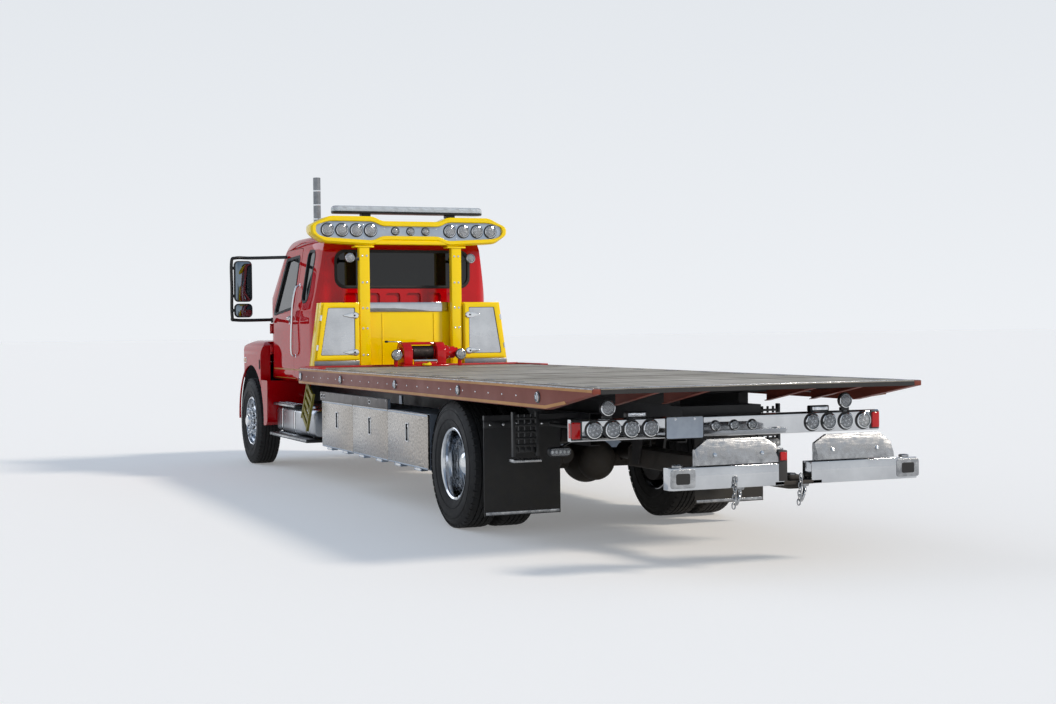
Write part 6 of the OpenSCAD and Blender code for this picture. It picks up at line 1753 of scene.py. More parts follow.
def tyre_section(radius):
    """The profile of one tyre as (radius, distance along the axle)."""
    h = TYRE_HALF
    groove = bpy.context.scene.truck_wheels.groove
    tread = [(-h + 0.052, 0.0)]
    for centre in (-0.06, -0.02, 0.02, 0.06):
        tread += [(centre - 0.0055, 0.0), (centre - 0.004, groove), (centre + 0.004, groove),
            (centre + 0.0055, 0.0)]
    tread.append((h - 0.052, 0.0))
    left = [(BEAD + 0.0005, -RIM_HALF + 0.001), (BEAD + 0.0125, -RIM_HALF + 0.001),
        (BEAD + 0.0125, -RIM_HALF - 0.006), (BEAD + 0.022, -h + 0.02), (BEAD + 0.04, -h + 0.014),
        (BEAD + 0.046, -h + 0.0105), (BEAD + 0.056, -h + 0.009), (BEAD + 0.08, -h + 0.003), (BEAD + 0.11, -h),
        (BEAD + 0.15, -h + 0.001), (radius - 0.066, -h + 0.007), (radius - 0.062, -h + 0.004),
        (radius - 0.05, -h + 0.01), (radius - 0.03, -h + 0.02), (radius - 0.014, -h + 0.027),
        (radius - 0.004, -h + 0.04)]
    right = [(r, -a) for r, a in reversed(left)]
    return left + [(radius - cut, a) for a, cut in tread] + right + left[:1]


class TRUCK_OT_wheels(bpy.types.Operator):
    """Builds the tyres with their tread blocks and the polished rims with hubs and nuts"""

    bl_idname = "truck.wheels"
    bl_label = "Wheels"

    def execute(self, context):
        for name, side in SIDES.items():
            self.tyres(f"rear_tyres_{name}", f"wheels_rear_{name}", 0.0, (REAR_Y * side, INNER_Y * side))
            self.tyres(f"front_tyre_{name}", f"wheel_front_{name}", WHEEL_BASE, (FRONT_Y * side,))
            self.rear_rim(name, side)
            self.front_rim(name, side)
        return {"FINISHED"}

    def tyres(self, cad, body, x, middles):
        """The tyres on one hub, with shoulder blocks and siping all round."""
        count = bpy.context.scene.truck_wheels.blocks
        radius = AXLE_Z
        meshes = []
        pitch = 2 * math.pi / count
        for y in middles:
            made = Shape("tyre")
            made.turned((x, y, AXLE_Z), (0, 1, 0), tyre_section(radius - 0.0015), "tyre", 96)
            for edge in (-1, 1):
                for r in (BEAD + 0.075, radius - 0.085):
                    made.turned((x, y + edge * (TYRE_HALF - 0.006), AXLE_Z), (0, edge, 0),
                        [(r, 0.0), (r + 0.0022, 0.007), (r + 0.0045, 0.0), (r, 0.0)], "tyre", 96)
            meshes.append(made.as_mesh("tyre"))
            for edge in (-1, 1):
                lug = Shape("tyre")
                w = pitch * radius * 0.4
                a, b = y + edge * (TYRE_HALF - 0.0545), y + edge * (TYRE_HALF - 0.012)
                foot = ((-w, a, 0.004), (w, a, 0.004), (w, b, 0.024), (-w, b, 0.024))
                c = b - edge * 0.012
                head = ((-w * 0.9, a, 0), (w * 0.9, a, 0), (w * 0.9, c, 0.004), (-w * 0.9, c, 0.004))
                lug.add([Vector((x + dx, py, AXLE_Z + radius - cut)) for dx, py, cut in foot + head],
                    [(0, 1, 2, 3), (4, 5, 6, 7), (0, 1, 5, 4), (1, 2, 6, 5), (2, 3, 7, 6), (3, 0, 4, 7)],
                    "tyre")
                meshes.append(repeat(lug, "tread", count, turn=(0, pitch, 0), centre=(x, y, AXLE_Z)))
            for row in (-0.04, 0.0, 0.04):
                block = Shape("tyre")
                w = pitch * radius * 0.42
                block.box(x - w, x + w, y + row - 0.0135, y + row + 0.0135, AXLE_Z + radius - 0.006,
                    AXLE_Z + radius - 0.0002, "tyre", 0.0)
                meshes.append(repeat(block, "tread", count, turn=(0, pitch, 0), centre=(x, y, AXLE_Z)))
        repeated_piece(meshes, f"{cad}_rubber", body, "tyre", cad)

    def barrel(self, made, x, y, side):
        """The rim's barrel with rolled flanges."""
        h = RIM_HALF
        made.turned((x, y, AXLE_Z), (0, side, 0), [(BEAD - 0.012, -h), (BEAD + 0.004, -h - 0.008),
            (BEAD + 0.0118, -h - 0.004), (BEAD + 0.0118, -h - 0.0005), (BEAD - 0.001, -h + 0.002),
            (BEAD - 0.001, h - 0.002), (BEAD + 0.0118, h + 0.0005), (BEAD + 0.0118, h + 0.004),
            (BEAD + 0.004, h + 0.008), (BEAD - 0.012, h), (BEAD - 0.02, h - 0.02), (BEAD - 0.024, 0.0),
            (BEAD - 0.02, -h + 0.02), (BEAD - 0.012, -h)], "rim", 72)

    def nuts(self, x, y, out):
        """A ring of wheel nuts with flanged bases."""
        count = bpy.context.scene.truck_wheels.studs
        nut = Shape("chrome")
        nut.turned((x, y, AXLE_Z + STUD_CIRCLE), (0, out, 0), [(0, 0), (0.021, 0), (0.021, 0.004),
            (0.0165, 0.006), (0.0165, 0.03), (0.012, 0.04), (0.006, 0.043), (0, 0.044)], "chrome", 12)
        return repeat(nut, "nuts", count, turn=(0, 2 * math.pi / count, 0), centre=(x, y, AXLE_Z))

    def disc(self, x, y, out, dish):
        """A dished wheel disc with hand holes, facing outward."""
        made = Shape("rim")
        profile = [(0.1, dish), (0.15, dish), (0.168, dish - 0.004), (0.178, 0.012), (0.2, 0.004),
            (0.235, 0.002), (0.262, 0.012), (BEAD - 0.018, 0.045), (BEAD - 0.018, 0.03), (0.262, -0.006),
            (0.235, -0.014), (0.2, -0.012), (0.17, -0.008), (0.1, -0.008), (0.1, dish)]
        made.turned((x, y, AXLE_Z), (0, out, 0), profile, "rim", 72)
        for u, w in circle(HAND_HOLES, 0.217, 180 / HAND_HOLES):
            made.combine(Shape("rim").rod((x + u, y - 0.05 * out, AXLE_Z + w), (0, out, 0), 0.029, 0.1, "rim",
                28))
        return made

    def rear_rim(self, name, side):
        """Twin rims: the outer dishes deep inward to the hub."""
        made = Shape("rim")
        for y in (REAR_Y * side, INNER_Y * side):
            self.barrel(made, 0.0, y, side)
        made.absorb(self.disc(0.0, (HUB_Y + 0.012) * side, side, 0.03))
        # the cone that joins the disc to the barrel
        made.turned((0, HUB_Y * side, AXLE_Z), (0, side, 0), [(0.262, 0.012), (BEAD - 0.014, 0.05),
            (BEAD - 0.014, 0.1), (BEAD - 0.008, 0.1), (BEAD - 0.006, 0.04), (0.262, 0.0), (0.262, 0.012)],
            "rim", 72)
        made.turned((0, HUB_Y * side, AXLE_Z), (0, -side, 0), [(0.1, 0.0), (0.235, 0.0), (BEAD - 0.014, 0.05),
            (BEAD - 0.014, 0.1), (BEAD - 0.022, 0.1), (BEAD - 0.024, 0.055), (0.23, 0.012), (0.1, 0.012),
            (0.1, 0.0)], "under", 72)
        # hub with a domed cover
        made.turned((0, HUB_Y * side, AXLE_Z), (0, side, 0), [(0.0, 0.03), (0.114, 0.03), (0.114, 0.06),
            (0.107, 0.064), (0.107, 0.15), (0.103, 0.165), (0.092, 0.182), (0.07, 0.196), (0.04, 0.204),
            (0, 0.207)], "chrome", 48)
        made.turned((0, (INNER_Y - TYRE_HALF) * side, AXLE_Z), (0, side, 0),
            [(0.0552, 0), (0.215, 0), (0.215, 0.12), (0.112, 0.125), (0.112, 0.16), (0.0552, 0.16),
            (0.0552, 0)], "under", 48)
        meshes = [made.as_mesh("rims"), self.nuts(0.0, (HUB_Y + 0.042) * side, side)]
        repeated_piece(meshes, f"rear_rims_{name}_metal", f"wheels_rear_{name}", "rim", f"rear_rims_{name}")

    def front_rim(self, name, side):
        """A front rim whose disc stands out, with a stepped hub and cap."""
        x, y = WHEEL_BASE, FRONT_Y
        made = Shape("rim")
        self.barrel(made, x, y * side, side)
        face = y + 0.07
        made.absorb(self.disc(x, face * side, side, 0.028))
        made.turned((x, face * side, AXLE_Z), (0, side, 0), [(0.262, 0.012), (BEAD - 0.014, 0.046),
            (BEAD - 0.008, 0.034), (BEAD - 0.006, 0.02), (0.262, -0.004), (0.262, 0.012)], "rim", 72)
        made.turned((x, (y - 0.09) * side, AXLE_Z), (0, side, 0),
            [(0.0352, 0), (0.105, 0), (0.105, 0.176), (0.11, 0.18), (0.11, 0.2), (0.0352, 0.2), (0.0352, 0)],
            "under", 48)
        made.turned((x, face * side, AXLE_Z), (0, side, 0), [(0.0, 0.01), (0.11, 0.01), (0.11, 0.036),
            (0.092, 0.042), (0.09, 0.078), (0.072, 0.084), (0.07, 0.1), (0.05, 0.109), (0, 0.112)], "chrome",
            48)
        made.turned((x, (y - 0.092) * side, AXLE_Z), (0, side, 0),
            [(0.1, 0), (0.205, 0), (0.205, 0.072), (0.1, 0.072), (0.1, 0)], "under", 48)
        for u, w in circle(8, 0.081):
            made.bolt((x + u, (face + 0.04) * side, AXLE_Z + w), (0, side, 0), 0.006, 0.006)
        meshes = [made.as_mesh("rim"), self.nuts(x, (face + 0.028) * side, side)]
        repeated_piece(meshes, f"front_rim_{name}_metal", f"wheel_front_{name}", "rim", f"front_rim_{name}")


# ---------- boxes, tanks, steps and flaps ----------

BOX_FRONT = CAB_X - 0.88
BOX_REAR = AXLE_Z + 0.075
BOX_Z0 = FRAME_TOP - 0.54
BOX_Z1 = FRAME_TOP - 0.06
BOX_Y1 = DECK_HALF - 0.09
BAY = (BOX_FRONT - BOX_REAR) / 3


class TRUCK_OT_boxes(bpy.types.Operator):
    """Builds the side boxes' polished doors with latches and hinges, and the trim board above"""

    bl_idname = "truck.boxes"
    bl_label = "Side boxes"

    def execute(self, context):
        for name, side in SIDES.items():
            for bay, place in enumerate(("rear", "middle", "front")):
                x0, x1 = BOX_REAR + BAY * bay + 0.003, BOX_REAR + BAY * (bay + 1) - 0.003
                y = BOX_Y1
                made = Shape("pebbled")
                made.prism(round_rect(x0, x1, BOX_Z0 + 0.006, BOX_Z1 - 0.002, 0.012, 3), "XZ",
                    (y - 0.0215) * side, y * side, "pebbled", 0.003)
                # paddle latch in its dish, and the folded flanges of the door
                cx, cz = (x0 + x1) / 2, BOX_Z0 + 0.3
                made.combine(Shape("trim").prism(round_rect(cx - 0.033, cx + 0.033, cz - 0.075, cz + 0.075,
                    0.014, 4), "XZ", (y - 0.012) * side, (y + 0.01) * side, "trim"))
                made.ring(round_rect(cx - 0.042, cx + 0.042, cz - 0.084, cz + 0.084, 0.018, 4),
                    round_rect(cx - 0.033, cx + 0.033, cz - 0.075, cz + 0.075, 0.014, 4), "XZ",
                    (y - 0.002) * side, (y + 0.0045) * side, "chrome", 0.0015)
                made.prism(round_rect(cx - 0.024, cx + 0.024, cz - 0.058, cz + 0.03, 0.01, 4), "XZ",
                    (y - 0.009) * side, (y - 0.001) * side, "trim", 0.002)
                made.turned((cx, (y - 0.01) * side, cz + 0.052), (0, side, 0),
                    [(0, 0), (0.01, 0), (0.01, 0.006), (0, 0.007)], "chrome", 16)
                made.box(x0 + 0.01, x1 - 0.01, (y - 0.0205) * side, (y + 0.0015) * side, BOX_Z0 + 0.008,
                    BOX_Z0 + 0.02, "brushed", 0.002)
                made.box(x0 + 0.01, x1 - 0.01, (y - 0.003) * side, (y + 0.0012) * side, BOX_Z1 - 0.02,
                    BOX_Z1 - 0.008, "brushed", 0.001)
                for s in (0.25, 0.75):
                    hx = BOX_REAR + BAY * (bay + s)
                    hy, hz = BOX_Y1 - 0.012, BOX_Z0 - 0.008
                    made.rod((hx - 0.065, hy * side, hz), (1, 0, 0), 0.012, 0.13, "chrome", 18)
                    made.box(hx - 0.065, hx + 0.065, (hy - 0.008) * side, (hy + 0.01) * side, hz, hz + 0.016,
                        "polished", 0.002)
                made.piece(f"box_door_{name}_{place}_panel", f"box_door_{name}_{place}", "steel_polished",
                    f"box_door_{name}_{place}", crease=35)
            self.trim_board(name, side)
        return {"FINISHED"}

    def trim_board(self, name, side):
        """A taupe board above the doors with rimmed slots and a row of bolts."""
        y0, y1 = (BOX_Y1 - 0.0055) * side, (BOX_Y1 + 0.0005) * side
        x0, x1 = BOX_REAR + BAY, BOX_FRONT + 0.06
        made = Shape("board")
        made.prism(round_rect(x0, x1, BOX_Z1 + 0.001, BOX_Z1 + 0.089, 0.008, 3), "XZ", y0, y1, "board",
            0.0015)
        for x in (x1 - 0.06, x1 - 0.16, x0 + 0.55):
            # each slot's opening is a flat black fill in the rubber finish, painted shade, inside a chrome rim
            made.prism(round_rect(x - 0.03, x + 0.03, BOX_Z1 + 0.032, BOX_Z1 + 0.06, 0.0139, 5), "XZ",
                y1 - 0.001 * side, y1 + 0.0008 * side, "rubber")
            made.ring(round_rect(x - 0.035, x + 0.035, BOX_Z1 + 0.027, BOX_Z1 + 0.065, 0.0185, 5),
                round_rect(x - 0.03, x + 0.03, BOX_Z1 + 0.032, BOX_Z1 + 0.06, 0.0139, 5), "XZ",
                y1 - 0.001 * side, y1 + 0.0025 * side, "chrome", 0.0008)
        for k in range(9):
            made.bolt((x0 + 0.05 + k * (x1 - x0 - 0.1) / 8, y1, BOX_Z1 + 0.075), (0, side, 0), 0.004, 0.003)
        made.piece(f"trim_board_{name}", "chassis", "steel_box", crease=35)


class TRUCK_OT_sides(bpy.types.Operator):
    """Builds the tanks, steps, hanging step, slotted racks, oval lamps and mudflaps"""

    bl_idname = "truck.sides"
    bl_label = "Tanks, steps and flaps"

    def execute(self, context):
        x0, x1 = CAB_X - 0.04, SKIRT_X - 0.012
        y0, y1 = 0.54, CAB_HALF + 0.02
        z0, z1 = FRAME_BOTTOM - 0.25, FRAME_BOTTOM + 0.055
        tanks = Shape("tank")
        steps = Shape("trim")
        for side in SIDES.values():
            ends = []
            for x, k in ((x0, 0.9), (x0 + 0.006, 0.96), (x0 + 0.02, 1.0), (x1 - 0.02, 1.0),
                    (x1 - 0.006, 0.96), (x1, 0.9)):
                cy, cz = (y0 + y1) / 2, (z0 + z1) / 2
                ends.append([Vector((x, (cy + (y - cy) * k) * side, cz + (z - cz) * k))
                    for y, z in round_rect(y0, y1, z0, z1, 0.07, 8)])
            tanks.loft(ends, "tank")
            for x in (x0 + 0.25, x1 - 0.25, (x0 + x1) / 2):
                outer = round_rect(y0 - 0.004, y1 + 0.004, z0 - 0.004, z1 + 0.004, 0.074, 8)
                inner = round_rect(y0 - 0.0005, y1 + 0.0005, z0 - 0.0005, z1 + 0.0005, 0.0705, 8)
                tanks.ring(flip(outer, side), flip(inner, side), "YZ", x - 0.03, x + 0.03, "chrome", 0.0012)
                rub = round_rect(y0 - 0.002, y1 + 0.002, z0 - 0.002, z1 + 0.002, 0.072, 8)
                tanks.ring(flip(rub, side), flip(inner, side), "YZ", x - 0.038, x + 0.038, "rubber")
            for x in (x0 + 0.25, x1 - 0.25):
                tanks.box(x - 0.04, x + 0.04, RAIL_FACE * side, 0.49 * side, FRAME_BOTTOM - 0.2,
                    FRAME_BOTTOM + 0.12, "under", 0.006)
                tanks.box(x - 0.04, x + 0.04, 0.49 * side, 0.59 * side, FRAME_BOTTOM - 0.15, FRAME_BOTTOM,
                    "under", 0.006)
            tanks.turned((x0 + 0.5, (y1 - 0.16) * side, z1 - 0.003), (0, 0, 1),
                [(0, 0), (0.05, 0), (0.052, 0.012), (0.046, 0.022), (0, 0.025)], "chrome", 36)
            # upper and lower steps: black trays with bright perforated treads
            step_y1 = CAB_HALF + 0.11
            steps.box(CAB_X + 0.56, x1 - 0.02, (step_y1 - 0.23) * side, (step_y1 - 0.04) * side, z1 + 0.0004,
                z1 + 0.031, "trim", 0.008, 3)
            steps.box(CAB_X - 0.06, x1, (step_y1 - 0.26) * side, step_y1 * side, FRAME_BOTTOM - 0.3,
                FRAME_BOTTOM - 0.26, "trim", 0.01, 3)
            for h in (z1 + 0.031, FRAME_BOTTOM - 0.26):
                steps.box(CAB_X + 0.62, x1 - 0.06, (step_y1 - 0.2) * side, (step_y1 - 0.06) * side, h - 0.002,
                    h + 0.004, "scuffed", 0.0015)
            steps.box(CAB_X - 0.05, x1 - 0.01, (step_y1 - 0.012) * side, (step_y1 + 0.0012) * side,
                FRAME_BOTTOM - 0.29, FRAME_BOTTOM - 0.268, "scuffed", 0.002)
            steps.box(CAB_X + 0.6, x1 - 0.04, (step_y1 - 0.052) * side, (step_y1 - 0.039) * side, z1 + 0.006,
                z1 + 0.026, "scuffed", 0.002)
            for x in (CAB_X + 0.12, x1 - 0.12):
                steps.box(x - 0.025, x + 0.025, 0.61 * side, (step_y1 - 0.2) * side, FRAME_BOTTOM - 0.28,
                    FRAME_BOTTOM - 0.2504, "trim", 0.003)
                steps.tube([(x, (step_y1 - 0.14) * side, FRAME_BOTTOM - 0.262),
                    (x, (step_y1 - 0.16) * side, z0 + 0.07)], 0.012, "trim", 10)
        tanks.piece("tanks", "chassis", "tank", "fuel_tanks", crease=40)
        steps.piece("side_steps", "chassis", "step_black", "cab_steps", crease=40)
        treads = []
        for side in SIDES.values():
            for h in (z1 + 0.035, FRAME_BOTTOM - 0.256):
                for inward in (0.165, 0.095):
                    at = (CAB_X + 0.66, (CAB_HALF + 0.11 - inward) * side, h)
                    stud = [(0.006, -0.001), (0.011, -0.001), (0.0085, 0.003), (0.006, 0.003),
                        (0.006, -0.001)]
                    button = Shape("scuffed").turned(at, (0, 0, 1), stud, sides=8)
                    treads.append(repeat(button, "tread_buttons", 26, step=(0.031, 0, 0)))
        repeated_piece(treads, "tread_buttons", "chassis", "step_black")
        self.hanging_step()
        self.flaps()
        return {"FINISHED"}

    def hanging_step(self):
        """A folding ladder step that hangs from the chassis at each front corner of the boxes."""
        made = Shape("olive")
        for side in SIDES.values():
            top, foot = Vector((4.36, 1.2, 1.02)), Vector((4.64, 1.2, 0.61))
            along = (foot - top).normalized()
            across = Vector((along.z, 0, -along.x))
            for edge in (-0.12, 0.12):
                a, b = top + across * edge, foot + across * edge
                made.loft([[Vector((p.x + dx, (p.y + dy) * side, p.z + dz))
                    for dx, dy, dz in ((-0.014, -0.02, 0), (0.014, -0.02, 0), (0.014, 0.008, 0),
                    (-0.014, 0.008, 0))] for p in (a, a + along * 0.02, b - along * 0.02, b)], "olive")
            for k in range(5):
                mid = top + along * (0.05 + k * 0.1)
                corners = []
                for e in (-0.118, 0.118):
                    p = mid + across * e
                    corners.append([Vector((p.x + along.x * s, (p.y + dy) * side, p.z + along.z * s))
                        for s, dy in ((-0.024, -0.016), (0.024, -0.016), (0.024, 0.004), (-0.024, 0.004))])
                made.loft(corners, "olive")
        made.piece("hanging_steps", "chassis", "step_black", crease=30)

    def flaps(self):
        """Rubber flaps with a clamp bar, and the slotted racks and oval work lamps behind the wheels."""
        made = Shape("flap")
        x, y1 = -0.81, REAR_Y + TYRE_HALF + 0.02
        z0, z1 = AXLE_Z - 0.345, FRAME_TOP - 0.0403
        for side in SIDES.values():
            columns = []
            for i in range(17):
                y = y1 - 0.64 + 0.64 * i / 16
                wave = 0.0022 * math.sin(i * 0.9)
                columns.append([Vector((x + 0.0055 * s + wave * (1 - (z - z0) / (z1 - z0)), y * side, z))
                    for s, z in ((-1, z0), (-1, z0 + 0.25), (-1, z1), (1, z1), (1, z0 + 0.25), (1, z0))])
            made.loft(columns, "flap")
            made.box(x - 0.0135, x - 0.004, (y1 - 0.64) * side, y1 * side, z1 - 0.06, z1 - 0.012, "trim",
                0.002)
            for k in range(6):
                made.bolt((x - 0.013, (y1 - 0.05 - k * 0.108) * side, z1 - 0.036), (-1, 0, 0), 0.008, 0.005)
            made.box(x - 0.01, x - 0.004, (y1 - 0.63) * side, (y1 - 0.01) * side, z0 + 0.006, z0 + 0.03,
                "scuffed", 0.002)
        made.piece("flaps", "chassis", "rubber", "mudflaps", crease=40)
        rack = Shape("trim")
        for side in SIDES.values():
            for y in (0.96, 1.15):
                rack.box(-1.22, -1.18, (y - 0.012) * side, (y + 0.012) * side, 0.66, 1.0, "trim", 0.004)
            for k in range(5):
                rack.box(-1.215, -1.185, 0.96 * side, 1.15 * side, 0.74 + k * 0.05, 0.758 + k * 0.05, "trim",
                    0.004)
            rack.box(-1.2, -1.19, 0.95 * side, 1.16 * side, 0.69, 0.73, "trim", 0.002)
            for y in (1.005, 1.055, 1.105):
                rack.box(-1.21, -1.19, (y - 0.006) * side, (y + 0.006) * side, 0.7, 0.98, "trim", 0.002)
            rack.box(-1.25, -1.15, 0.94 * side, 1.17 * side, 0.62, 0.645, "scuffed", 0.006)
            rack.tube(smooth_path([(-1.2, 0.43 * side, 0.88), (-1.2, 0.7 * side, 0.88),
                (-1.2, 0.86 * side, 0.9)], 5), 0.016, "trim", 10)
            rack.tube(smooth_path([(-1.3, 0.7 * side, 0.78), (-1.4, 0.86 * side, 0.73),
                (-1.47, 0.9 * side, 0.71)], 5), 0.009, "trim", 8)
            oval = round_rect(0.81, 0.99, 0.675, 0.745, 0.0345, 8)
            rack.prism(flip(oval, side), "YZ", -1.5, -1.45, "trim", 0.008, 3)
            face = round_rect(0.818, 0.982, 0.683, 0.737, 0.0265, 8)
            rack.prism(flip(face, side), "YZ", -1.507, -1.498, "lens", 0.003)
            for k in range(5):
                rack.turned((-1.4995, (0.836 + 0.032 * k) * side, 0.71), (-1, 0, 0),
                    [(0, 0), (0.011, 0), (0.009, 0.004), (0, 0.005)], "diode", 12)
        rack.piece("tail_racks", "chassis", "frame_black", crease=40)


# ---------- seats and dash ----------

# The steering column: where it ends at the wheel, and the way it runs, 35 degrees down to the front
COLUMN_TOP = Vector((DOOR_FRONT - 0.29, 0.49, FLOOR_Z + 0.8))
COLUMN_AXIS = Vector((math.cos(math.radians(35)), 0, -math.sin(math.radians(35))))


class TRUCK_OT_inside(bpy.types.Operator):
    """Builds the seats, dash, steering wheel and the roof mast"""

    bl_idname = "truck.inside"
    bl_label = "Inside the cab"

    def execute(self, context):
        for name, side in SIDES.items():
            self.seat(name, side)
        self.dash()
        self.wheel()
        self.mast()
        return {"FINISHED"}

    def pad(self, low, high, crown):
        """A crowned cushion: a grid of panels pulled in along its sewn channels."""
        (x0, y0, z0), (x1, y1, z1) = low, high
        nx, ny = 14, 14
        layers = []
        for top in (1, 0):
            for i in range(nx + 1):
                for j in range(ny + 1):
                    u, v = i / nx * 2 - 1, j / ny * 2 - 1
                    swell = (1 - u**4) * (1 - v**4)
                    pull = 0.012 * math.exp(-((abs(v) - 0.5) / 0.06) ** 2) * (1 - abs(u) ** 6)
                    shrink = 1 - 0.05 * (u * u * v * v) - 0.02
                    x = (x0 + x1) / 2 + (x1 - x0) / 2 * u * (1 - 0.03 * v * v)
                    y = (y0 + y1) / 2 + (y1 - y0) / 2 * v * shrink
                    z = z1 - crown * (1 - swell) - pull if top else z0 + crown * 0.3 * (1 - swell)
                    layers.append(Vector((x, y, z)))
        faces = []
        row = ny + 1
        size = (nx + 1) * row
        for i in range(nx):
            for j in range(ny):
                a = i * row + j
                faces.append((a, a + row, a + row + 1, a + 1))
                faces.append((size + a, size + a + 1, size + a + row + 1, size + a + row))
        rim = [i * row for i in range(nx)] + [nx * row + j for j in range(ny)] + [i * row + ny
            for i in range(nx, 0, -1)] + [j for j in range(ny, 0, -1)]
        for a, b in zip(rim, rim[1:] + rim[:1]):
            faces.append((a, b, size + b, size + a))
        return Shape("cloth").add(layers, faces)

    def seat(self, name, side):
        """One air-ride seat: base, cushion, backrest and headrest in woven cloth."""
        x, y0, y1 = DOOR_REAR + 0.06, 0.25, 0.73
        lo, hi = sorted((y0 * side, y1 * side))
        base = Shape("coarse")
        base.box(x + 0.03, x + 0.46, lo + 0.03, hi - 0.03, FLOOR_Z + 0.0504, FLOOR_Z + 0.11, "coarse", 0.02,
            3)
        for k in range(5):
            h = FLOOR_Z + 0.12 + k * 0.04
            base.prism(round_rect(x + 0.05, x + 0.44, lo + 0.05, hi - 0.05, 0.05), "XY", h, h + 0.03,
                "rubber", 0.012, 3)
        for y in ((lo + hi) / 2 - 0.05, (lo + hi) / 2 + 0.05):
            base.tube([(x - 0.06, y, FLOOR_Z + 1.03), (x - 0.06, y, FLOOR_Z + 1.11)], 0.007, "chrome", 10)
        cushion = self.pad((x, lo - 0.01, FLOOR_Z + 0.335), (x + 0.52, hi + 0.01, FLOOR_Z + 0.455), 0.05)
        # the left base stands for the one CAD node that holds both seats
        stands_for = ("seats",) if side > 0 else ()
        base.piece(f"seat_base_{name}", "chassis", "seat", *stands_for, crease=40)
        cushion.piece(f"seat_cushion_{name}", "chassis", "seat", crease=60)
        back = self.pad((0, lo + 0.01, 0), (0.56, hi - 0.01, 0.12), 0.045)
        place = Matrix.Translation((x + 0.095, 0, FLOOR_Z + 0.475)) @ Matrix.Rotation(math.radians(-101), 4,
            "Y")
        back.moved(place).piece(f"seat_back_{name}", "chassis", "seat", crease=60)
        head = self.pad((0, lo + 0.12, 0), (0.17, hi - 0.12, 0.085), 0.035)
        place = Matrix.Translation((x - 0.015, 0, FLOOR_Z + 1.105)) @ Matrix.Rotation(math.radians(-96), 4,
            "Y")
        head.moved(place).piece(f"headrest_{name}", "chassis", "seat", crease=60)

    def dash(self):
        """The dash: grained shell, dials, vents and the steering column."""
        made = Shape("coarse")
        w = CAB_HALF - 0.13
        outline = rounded([(COWL_X - 0.06, FLOOR_Z + 0.56), (COWL_X - 0.33, FLOOR_Z + 0.6),
            (COWL_X - 0.4, FLOOR_Z + 0.76), (COWL_X - 0.34, FLOOR_Z + 0.85), (COWL_X - 0.06, FLOOR_Z + 0.84)],
            0.05, 5)
        made.prism(outline, "XZ", -w + 0.02, w - 0.02, "coarse", 0.01, 3)
        for y in (0.32, 0.43, 0.54, 0.65):
            at = Vector((COWL_X - 0.385, y, FLOOR_Z + 0.72))
            made.turned(at, (-1, 0, 0.35), [(0, 0), (0.048, 0), (0.05, 0.012), (0.044, 0.014), (0.042, 0.004),
                (0, 0.004)], "chrome", 30)
            made.turned(at, (-1, 0, 0.35), rect(0, 0.041, 0.002, 0.006), "gauge", 30)
        for y in (-0.6, -0.2, 0.15, 0.8):
            made.box(COWL_X - 0.392, COWL_X - 0.37, y - 0.06, y + 0.06, FLOOR_Z + 0.7, FLOOR_Z + 0.76, "trim",
                0.006)
            for k in range(4):
                made.box(COWL_X - 0.396, COWL_X - 0.385, y - 0.052, y + 0.052, FLOOR_Z + 0.708 + k * 0.013,
                    FLOOR_Z + 0.712 + k * 0.013, "coarse", 0.001)
        made.box(COWL_X - 0.0595, COWL_X - 0.0503, -0.4, 0.4, FLOOR_Z + 0.57, FLOOR_Z + 0.83, "coarse", 0.002)
        axis, base = COLUMN_AXIS, COLUMN_TOP
        made.turned(base, axis, [(0, -0.04), (0.0118, -0.04), (0.0118, 0.0), (0.03, 0.0), (0.032, 0.03),
            (0.032, 0.24), (0, 0.24)], "coarse", 28)
        made.tube([base + axis * 0.07, base + axis * 0.06 + Vector((0, 0.11, 0.02))], 0.007, "trim", 10)
        made.piece("dash", "chassis", "dash", "dashboard", crease=35)

    def wheel(self):
        """The steering wheel: thick rim, three spokes and a padded boss."""
        axis, centre = COLUMN_AXIS, COLUMN_TOP
        up, side = Vector((-axis.z, 0, axis.x)), Vector((0, 1, 0))
        made = Shape("coarse")
        rim_centre = centre - axis * 0.034
        made.tube([rim_centre + (up * u + side * w) * 0.215 for u, w in circle(48, 1)], 0.0145, "coarse", 14,
            closed=True)
        made.turned(centre - axis * 0.005, -axis, [(0.0122, 0), (0.048, 0), (0.05, 0.02), (0.044, 0.035),
            (0.03, 0.039), (0.0122, 0.04), (0.0122, 0)], "coarse", 32)
        for u, w in circle(3, 1, 180):
            ray = up * u + side * w
            cross = axis.cross(ray)
            sections = []
            for r, wide, thick in ((0.04, 0.02, 0.008), (0.1, 0.016, 0.006), (0.17, 0.014, 0.005),
                    (0.208, 0.018, 0.006)):
                p = centre - axis * 0.033 + ray * r
                sections.append([p + cross * a * wide + axis * b * thick
                    for a, b in ((-1, 0), (-0.7, 0.8), (0.7, 0.8), (1, 0), (0.7, -0.8), (-0.7, -0.8))])
            made.loft(sections, "coarse")
        made.piece("steering_wheel_rim", "steering_wheel", "dash", "steering_wheel", crease=50)

